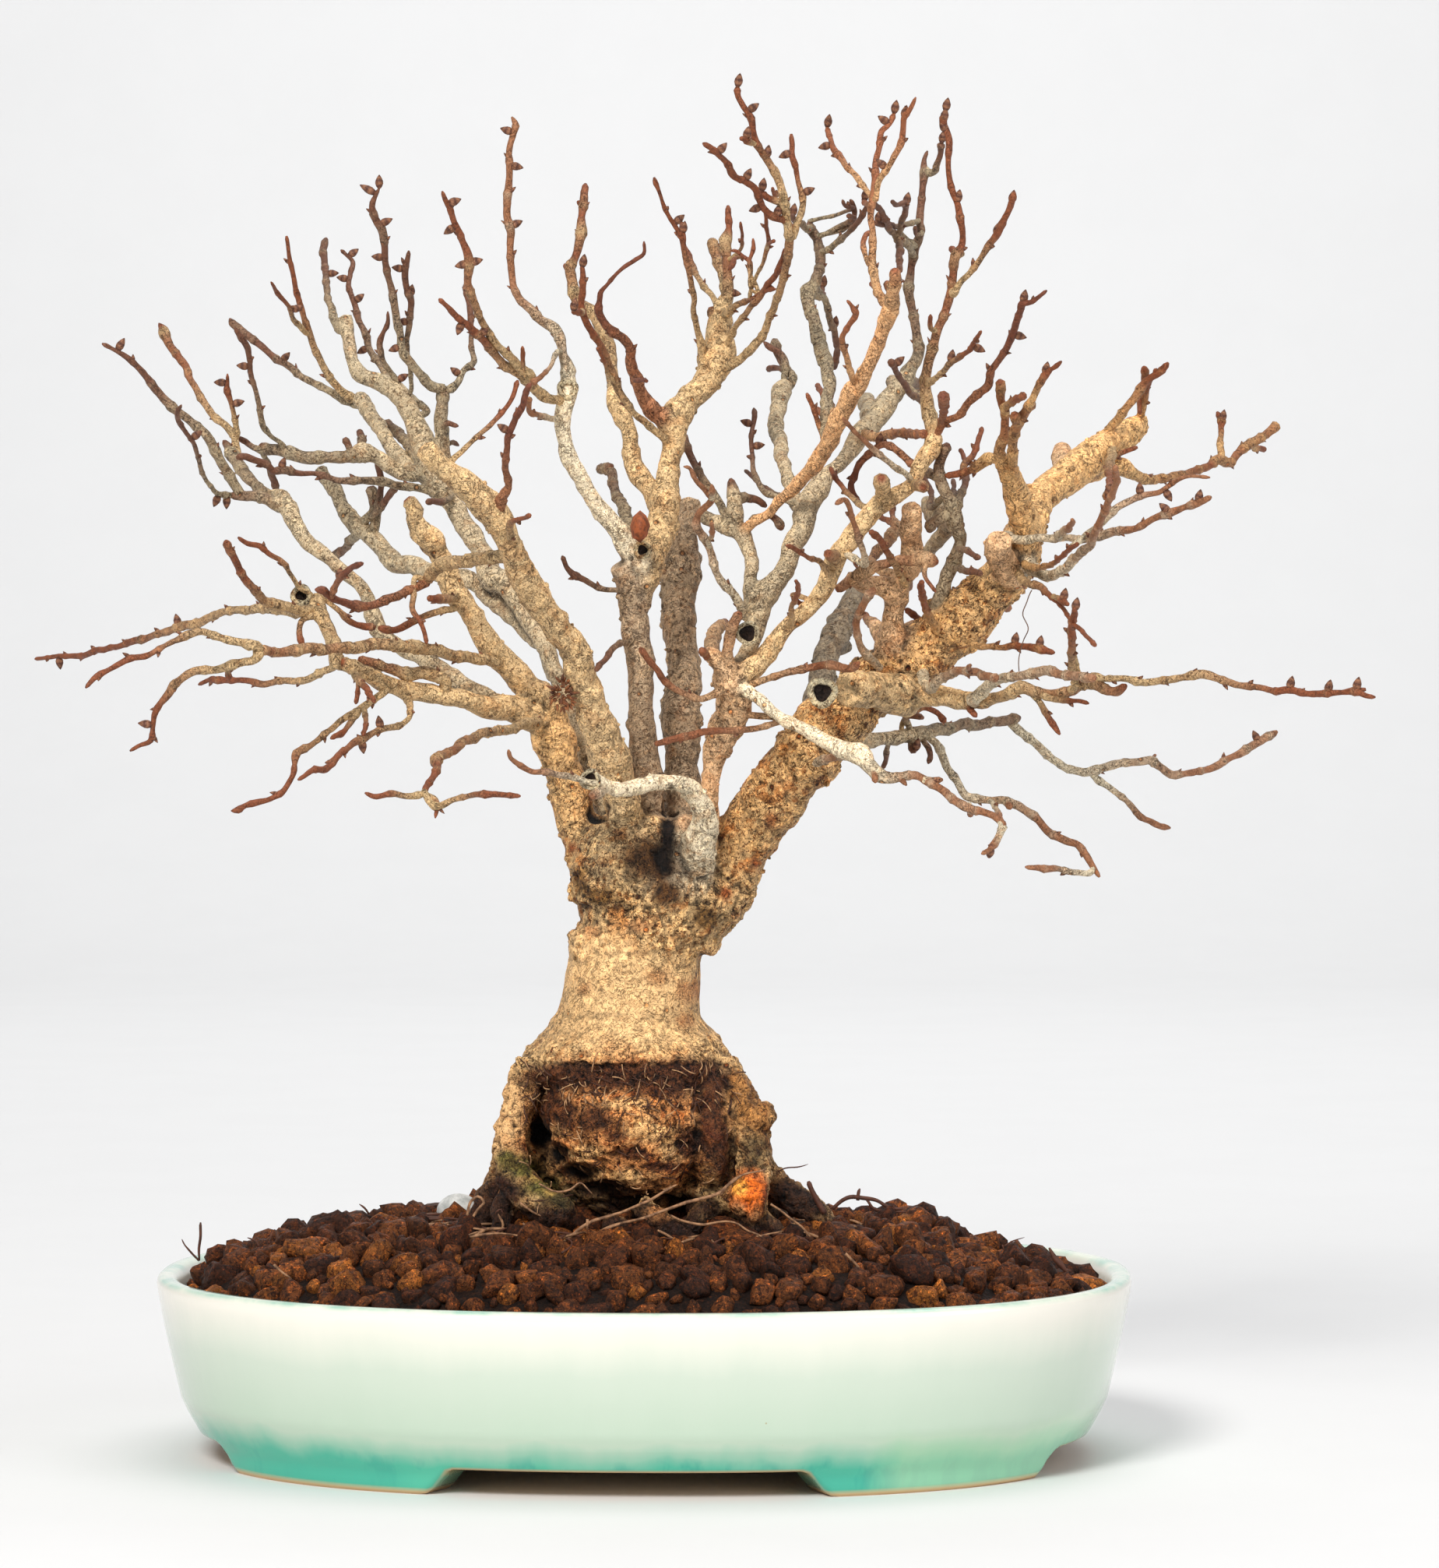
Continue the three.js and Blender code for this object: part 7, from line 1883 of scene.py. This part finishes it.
def make_frayed_knot(material):
    """Frayed flakes of brown bark around a knot on the left."""
    builder = Builder()
    random = np.random.default_rng(3)
    x, y = FRAYED_KNOT
    spots = limb_named["left_front"]["spots"]
    near = spots[np.argmin(abs(spots[:, 2] - place(x, y, 0)[2]))]
    centre = place(x, y, near[1] - near[3] * 0.6)
    for _ in range(FRAYED_FLAKES):
        angle = random.uniform(0, 2 * math.pi)
        cos, sin = math.cos(angle), math.sin(angle)
        reach = random.uniform(0.5, 3.8)
        foot = centre + np.array([cos * reach * 0.8, random.uniform(-1.4, 0.6), sin * reach])
        lean = np.array([cos, random.uniform(-1.2, 0.1), sin])
        lean += random.normal(size=3) * 0.5
        tip = foot + lean / np.linalg.norm(lean) * random.uniform(1, 2.4)
        path = [[*foot, 0.42], [*((foot + tip) / 2), 0.36], [*tip, 0.1]]
        tone = mixed(colour("#6a3a1e"), colour("#a8683a"), random.random())
        builder.add_strand(path, 0.5, 5, [*tone, 0])
    return builder.make("frayed_knot", material)


class Nodes:
    """Short names for making the nodes of one material."""

    def __init__(self, name):
        self.material = bpy.data.materials.new(name)
        self.material.use_nodes = True
        self.tree = self.material.node_tree
        self.shader = self.tree.nodes["Principled BSDF"]

    def add(self, kind, settings=None, **inputs):
        """A node of a kind; a value is set on its socket, and another node's output is linked to it."""
        node = self.tree.nodes.new(kind)
        for key, value in (settings or {}).items():
            setattr(node, key, value)
        for key, value in inputs.items():
            self.join(node, key, value)
        return node

    def join(self, node, key, value):
        """Sets or links the socket with a name, or with a number."""
        socket = node.inputs[key if isinstance(key, int) else key.replace("_", " ")]
        if isinstance(value, bpy.types.NodeSocket):
            self.tree.links.new(value, socket)
        else:
            socket.default_value = value

    def coordinates(self):
        """The piece's own coordinates in metres."""
        return self.add("ShaderNodeTexCoord").outputs["Object"]

    def scaled(self, factors):
        """The piece's coordinates, with each axis stretched."""
        return self.add("ShaderNodeMapping", Vector=self.coordinates(), Scale=factors).outputs[0]

    def noise(self, size, detail=4, rough=0.6, at=None, distortion=0):
        """Noise with features of a size in millimetres."""
        node = self.add("ShaderNodeTexNoise", Scale=1 / (size * MM), Detail=detail, Roughness=rough)
        self.join(node, "Distortion", distortion)
        self.join(node, "Vector", at or self.coordinates())
        return node.outputs["Fac"]

    def cells(self, size):
        """Distance to the nearest of scattered seeds, as a share of a size in millimetres."""
        node = self.add("ShaderNodeTexVoronoi", Scale=1 / (size * MM), Vector=self.coordinates())
        return node.outputs["Distance"]

    def ramp(self, value, low, high, start=0.0, end=1.0):
        """value from low..high to start..end, held at both ends."""
        node = self.add("ShaderNodeMapRange", {"clamp": True}, Value=value)
        for key, number in (("From_Min", low), ("From_Max", high), ("To_Min", start), ("To_Max", end)):
            self.join(node, key, number)
        return node.outputs[0]

    def ridge(self, value, width):
        """1 along the lines where a noise crosses its middle, 0 away from them."""
        return self.ramp(self.math("ABSOLUTE", self.math("SUBTRACT", value, 0.5), 0), 0, width, 1, 0)

    def math(self, operation, a, b):
        """A calculation with two values."""
        node = self.add("ShaderNodeMath", {"operation": operation})
        self.join(node, 0, a)
        self.join(node, 1, b)
        return node.outputs[0]

    def times(self, a, b):
        """One value times another."""
        return self.math("MULTIPLY", a, b)

    def mix(self, share, a, b, blend="MIX"):
        """Colour a turned into colour b by a share."""
        node = self.add("ShaderNodeMix", {"data_type": "RGBA", "blend_type": blend})
        for key, value in ((0, share), (6, a), (7, b)):
            self.join(node, key, value)
        return node.outputs[2]

    def filtered(self, share, below, factors):
        """A colour whose red, green and blue are multiplied by factors where the share is 1."""
        return self.mix(share, below, [*factors, 1], "MULTIPLY")

    def tint(self):
        """The tint stored with the vertices."""
        return self.add("ShaderNodeAttribute", {"attribute_name": "tint"})

    def facing_up(self):
        """1 where the skin faces up, 0 where it is upright, -1 where it faces down."""
        normal = self.add("ShaderNodeNewGeometry").outputs["Normal"]
        return self.add("ShaderNodeSeparateXYZ", Vector=normal).outputs["Z"]

    def bump(self, height, strength, distance):
        """Fine relief, with its depth in millimetres."""
        node = self.add("ShaderNodeBump", Strength=strength, Distance=distance * MM, Height=height)
        self.join(self.shader, "Normal", node.outputs[0])

    def set(self, **inputs):
        """Sets or links inputs of the material's shader."""
        for key, value in inputs.items():
            self.join(self.shader, key, value)


def rgba(code):
    """A colour such as #c08040 for a socket."""
    return [*colour(code), 1]


def bark_material():
    """Old bark with wrinkles, cracks, pits and flakes over each vertex's own tint; young wood is plainer."""
    n = Nodes("bark")
    tint = n.tint()
    old = n.ramp(tint.outputs["Alpha"], 0, 1, 1, 0.3)
    older = n.times(old, old)

    def layer(below, share, factors, amount=old):
        """The colour below, filtered by factors as far as the bark is old."""
        return n.filtered(n.times(share, amount), below, factors)

    greyness = n.ramp(n.noise(12, 3, 0.6), 0.50, 0.60, 0, 0.75)
    grey = layer(tint.outputs["Color"], greyness, (0.72, 0.76, 0.80), older)
    brown = layer(grey, n.ramp(n.noise(6.5, 4, 0.65, distortion=0.6), 0.54, 0.62), (0.66, 0.46, 0.31), older)
    pale = layer(brown, n.ramp(n.noise(3.6, 4, 0.6, distortion=0.8), 0.50, 0.60), (1.3, 1.25, 1.15), older)
    blotch = layer(pale, n.ramp(n.noise(1.9, 4, 0.7, distortion=0.5), 0.56, 0.62), (0.50, 0.36, 0.25), older)
    wrinkle = n.ridge(n.noise(1.5, 2, 0.5, distortion=1.5), 0.026)
    wrinkled = layer(blotch, wrinkle, (0.30, 0.19, 0.12))
    crack_lines = n.ridge(n.noise(4.2, 3, 0.6, distortion=1.2), 0.02)
    crack = n.times(crack_lines, n.ramp(n.noise(9, 2), 0.45, 0.52))
    cracked = layer(wrinkled, crack, (0.12, 0.08, 0.05))
    speck = layer(cracked, n.ramp(n.noise(0.8, 2, 0.6), 0.60, 0.66), (0.22, 0.14, 0.09))
    fleck = layer(speck, n.ramp(n.noise(1.0, 2, 0.6), 0.57, 0.64), (1.55, 1.5, 1.42))
    holes = n.cells(4.6)
    chosen = n.ramp(n.noise(8, 1), 0.52, 0.55)
    rim = layer(fleck, n.times(n.ramp(holes, 0.15, 0.19, 1, 0), chosen), (0.16, 0.10, 0.06))
    pitted = layer(rim, n.times(n.ramp(holes, 0.08, 0.12, 1, 0), chosen), (3.2, 2.2, 1.4))
    n.set(Base_Color=pitted, Roughness=n.ramp(n.noise(2), 0.3, 0.7, 0.45, 0.75), Specular_IOR_Level=0.4)
    relief = n.math("ADD", n.noise(1.1, 4, 0.65), n.times(n.noise(3.2, 3, 0.6), 1.6))
    grooves = n.times(n.math("ADD", wrinkle, crack), -0.6)
    hollows = n.times(n.ramp(holes, 0.08, 0.22, 1, 0), n.times(chosen, -0.8))
    height = n.times(n.math("ADD", relief, n.math("ADD", grooves, hollows)), old)
    n.bump(height, 1.0, 1.1)
    return n.material


def glaze_material():
    """Celadon glaze: cream at the rim, pale green below it, turquoise at the foot, a bare clay edge.

    The heights and the place across are in metres."""
    n = Nodes("glaze")
    axes = n.add("ShaderNodeSeparateXYZ", Vector=n.coordinates()).outputs
    across, height = axes["X"], axes["Z"]
    streaks = n.noise(16, 3, 0.5, n.scaled((1, 1, 0.15)))
    level = n.math("ADD", height, n.times(n.math("SUBTRACT", streaks, 0.5), 0.009))
    upper = n.mix(n.ramp(level, 0.031, 0.0435), rgba("#ccd8c8"), rgba("#efebdf"))
    wall = n.mix(n.ramp(level, 0.016, 0.031), rgba("#bdd0bc"), upper)
    low = n.mix(n.ramp(level, 0.0072, 0.0142), rgba("#4fb99c"), wall)
    pool = n.times(n.ramp(level, 0.005, 0.0105, 1, 0), n.ramp(n.noise(36, 2), 0.40, 0.56))
    pooled = n.mix(n.times(pool, 0.8), low, rgba("#3fae97"))
    drips = n.ramp(n.noise(6, 3, 0.6, n.scaled((1, 1, 0.25))), 0.50, 0.62)
    dripping = n.mix(n.times(drips, n.ramp(level, 0.007, 0.0105, 0.6, 0)), pooled, rgba("#2f9d8e"))
    left_foot = n.times(n.ramp(across, -0.064, -0.055, 1, 0), n.ramp(level, 0.005, 0.0105, 1, 0))
    deeper = n.mix(n.times(left_foot, 0.65), dripping, rgba("#3fae95"))
    right_foot = n.times(n.ramp(across, 0.052, 0.062), n.ramp(level, 0.011, 0.017, 1, 0))
    lighter = n.mix(n.times(right_foot, 0.5), deeper, rgba("#b4d8ae"))
    edge = n.mix(n.ramp(height, 0.0006, 0.0018), rgba("#d9b98a"), lighter)
    up = n.facing_up()
    inner = n.mix(n.ramp(n.noise(14, 4), 0.38, 0.6), rgba("#8cc5b0"), rgba("#dfe9d6"))
    rim = n.times(n.ramp(up, 0.25, 0.85), n.ramp(height, 0.0445, 0.0455))
    rimmed = n.mix(n.times(rim, 0.8), edge, inner)
    specks = n.times(n.ramp(n.cells(6), 0.03, 0.05, 1, 0), n.ramp(n.noise(34, 1), 0.57, 0.62))
    spotted = n.mix(n.times(specks, 0.6), rimmed, rgba("#a8925e"))
    under = n.mix(n.ramp(up, -0.9, -0.6), rgba("#c9a878"), spotted)
    n.set(Base_Color=under, Roughness=n.ramp(height, 0.0006, 0.0018, 0.7, 0.14))
    n.set(Coat_Weight=0.3, Coat_Roughness=0.06)
    n.bump(n.math("ADD", n.noise(3, 3, 0.5, n.scaled((1, 1, 0.25))), n.noise(26, 2)), 0.1, 0.5)
    return n.material


def soil_material():
    """Damp fired clay grains with broken, pitted faces, some lit tan and some nearly black."""
    n = Nodes("soil_grains")
    base = n.tint().outputs["Color"]
    tan_faces = n.ramp(n.noise(1.8, 4, 0.7, distortion=0.5), 0.52, 0.62, 0, 0.8)
    lit = n.filtered(tan_faces, base, (2.7, 2.4, 2.1))
    dark = n.filtered(n.ramp(n.noise(1.2, 4, 0.7, distortion=0.8), 0.50, 0.57), lit, (0.25, 0.2, 0.17))
    lines = n.filtered(n.ridge(n.noise(1.5, 3, 0.6, distortion=1.0), 0.03), dark, (0.2, 0.16, 0.12))
    fleck = n.filtered(n.ramp(n.noise(0.7, 2, 0.6), 0.62, 0.68), lines, (3.2, 2.7, 2.2))
    dust = n.times(n.ramp(n.facing_up(), 0.2, 0.8), n.ramp(n.noise(2.6, 3, 0.6), 0.46, 0.56))
    dusty = n.filtered(dust, fleck, (1.5, 1.4, 1.3))
    n.set(Base_Color=dusty, Roughness=n.ramp(n.noise(1.5), 0.35, 0.65, 0.45, 0.85))
    n.set(Specular_IOR_Level=0.25)
    n.bump(n.noise(0.9, 5, 0.7), 0.9, 0.9)
    return n.material


def stone_material():
    """Grey and white stone of the pebble."""
    n = Nodes("pebble_stone")
    shade = n.mix(n.ramp(n.noise(3, 5), 0.4, 0.62), rgba("#dcdcd8"), rgba("#a9aca9"))
    n.set(Base_Color=shade, Roughness=0.6)
    n.bump(n.noise(1.2, 4), 0.3, 0.4)
    return n.material


def root_material():
    """Dry skin of fine roots, stalks and the dead leaf, over each vertex's own tint."""
    n = Nodes("root_skin")
    base = n.tint().outputs["Color"]
    shade = n.mix(n.ramp(n.noise(1.6, 4), 0.42, 0.6, 0, 0.7), base, rgba("#3c2114"))
    n.set(Base_Color=shade, Roughness=0.7)
    n.bump(n.noise(0.7, 3), 0.4, 0.2)
    return n.material


def plastic_material():
    """Dark plastic of the screens over the drain holes."""
    n = Nodes("screen_plastic")
    shade = n.mix(n.noise(2, 3), rgba("#2b2d2c"), rgba("#3a3c3a"))
    n.set(Base_Color=shade, Roughness=n.ramp(n.noise(1), 0.3, 0.7, 0.45, 0.6))
    n.bump(n.noise(0.6, 2), 0.15, 0.1)
    return n.material


def wire_material():
    """Drawn aluminium wire of the clips that hold the screens."""
    n = Nodes("drawn_wire")
    n.set(Base_Color=n.mix(n.noise(1.5, 3), rgba("#8a8d90"), rgba("#a2a4a6")), Metallic=1.0)
    n.set(Roughness=n.ramp(n.noise(0.8, 2), 0.3, 0.7, 0.3, 0.5))
    return n.material


def floor_material():
    """Pale matt sheet that the pot stands on."""
    n = Nodes("pale_floor")
    shade = n.mix(n.ramp(n.noise(60, 3), 0.4, 0.62, 0, 0.3), rgba("#e8e8e8"), rgba("#e5e5e5"))
    n.set(Base_Color=shade, Roughness=0.7, Specular_IOR_Level=0.2)
    return n.material


def make_camera():
    """The camera of the front view."""
    data = bpy.data.cameras.new("front_view")
    data.lens = SENSOR_WIDTH * VIEW_FOCAL / VIEW_HEIGHT_PIXELS
    data.sensor_width = SENSOR_WIDTH
    camera = bpy.data.objects.new("front_view", data)
    camera.location = (VIEW_X * MM, -VIEW_DISTANCE * MM, VIEW_HEIGHT * MM)
    camera.rotation_euler = (math.radians(90) - VIEW_TILT, 0, 0)
    bpy.context.scene.collection.objects.link(camera)
    bpy.context.scene.camera = camera


def add_light(name, position, target, size, power, tone):
    """A round lamp that faces a target; places and size are in metres, the power in watts."""
    data = bpy.data.lights.new(name, "AREA")
    data.shape = "DISK"
    data.size = size
    data.energy = power
    data.color = tone
    light = bpy.data.objects.new(name, data)
    light.location = position
    light.rotation_euler = (Vector(target) - Vector(position)).to_track_quat("-Z", "Y").to_euler()
    bpy.context.scene.collection.objects.link(light)


def make_lights():
    """A soft room, a lamp on the left, a weaker one on the right, and two that light the backdrop."""
    world = bpy.data.worlds.new("soft_room")
    bpy.context.scene.world = world
    world.use_nodes = True
    sky = world.node_tree.nodes["Background"]
    sky.inputs["Color"].default_value = (0.97, 0.98, 1.0, 1)
    sky.inputs["Strength"].default_value = 0.38
    middle = (0, 0, 0.15)
    add_light("key", (-0.55, -1.5, 1.3), middle, 0.6, 31, (1, 0.98, 0.95))
    add_light("fill", (1.4, -1.0, 0.7), middle, 1.2, 9, (0.97, 0.98, 1))
    add_light("back", (0.3, 0.55, 1.8), (0, 1.3, 0), 1.4, 13, (1, 1, 1))
    add_light("wall", (0, 1.5, 1.7), (0, 2.7, 0.5), 1.4, 10.5, (1, 1, 1))


# the backdrop in metres: where it starts in front, where its bend starts and with what radius, its
# height and its half width
BACKDROP_FRONT = -3.0
BACKDROP_START = 1.9
BACKDROP_BEND = 0.8
BACKDROP_HEIGHT = 3.0
BACKDROP_HALF_WIDTH = 3.2
BACKDROP_STEPS = 12


def make_backdrop(material):
    """A pale sheet on the ground that curves up behind the plant."""
    outline = [(BACKDROP_FRONT, 0), (BACKDROP_START, 0)]
    for step in range(1, BACKDROP_STEPS + 1):
        turn = step / BACKDROP_STEPS * math.pi / 2
        rise = BACKDROP_BEND * (1 - math.cos(turn))
        outline.append((BACKDROP_START + BACKDROP_BEND * math.sin(turn), rise))
    outline.append((BACKDROP_START + BACKDROP_BEND, BACKDROP_HEIGHT))
    points = [(side * BACKDROP_HALF_WIDTH, y, z) for y, z in outline for side in (-1, 1)]
    faces = [(2 * k, 2 * k + 1, 2 * k + 3, 2 * k + 2) for k in range(len(outline) - 1)]
    mesh = bpy.data.meshes.new("backdrop")
    mesh.from_pydata(points, [], faces)
    shade_smooth(mesh)
    mesh.materials.append(material)
    add_piece("backdrop", mesh)


def own_pieces(pieces):
    """Puts pieces on the part's only body."""
    for piece in pieces:
        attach(piece, "root")


def dress_packed(names, material):
    """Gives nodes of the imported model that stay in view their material."""
    for name in names:
        node = frame["nodes"][name]
        node.data.materials.clear()
        node.data.materials.append(material)


def build():
    """The whole scene: camera, lights, backdrop, and every piece with its material."""
    bpy.context.scene.view_settings.view_transform = "Standard"
    make_camera()
    make_lights()
    make_backdrop(floor_material())
    bark = bark_material()
    soil = soil_material()
    roots = root_material()
    wood, skin = make_wood(bark)
    own_pieces([wood, *make_twigs(bark), make_bark_chips(skin, bark), make_root_fibres(skin, roots)])
    small = [make_cut_rings(bark), make_frayed_knot(roots), make_dry_leaf(roots), make_fine_roots(roots)]
    own_pieces(small)
    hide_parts("tree")
    pot = make_pot(glaze_material())
    own_pieces([pot])
    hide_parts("pot")
    grains = [make_soil_bed(soil), *make_grains(soil)]
    own_pieces(grains)
    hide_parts("soil")
    stone = make_pebble(stone_material())
    own_pieces([stone])
    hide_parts("pebble")
    dress_packed(("drain_screen_left", "drain_screen_right"), plastic_material())
    dress_packed(("screen_wire_left", "screen_wire_right"), wire_material())


build()
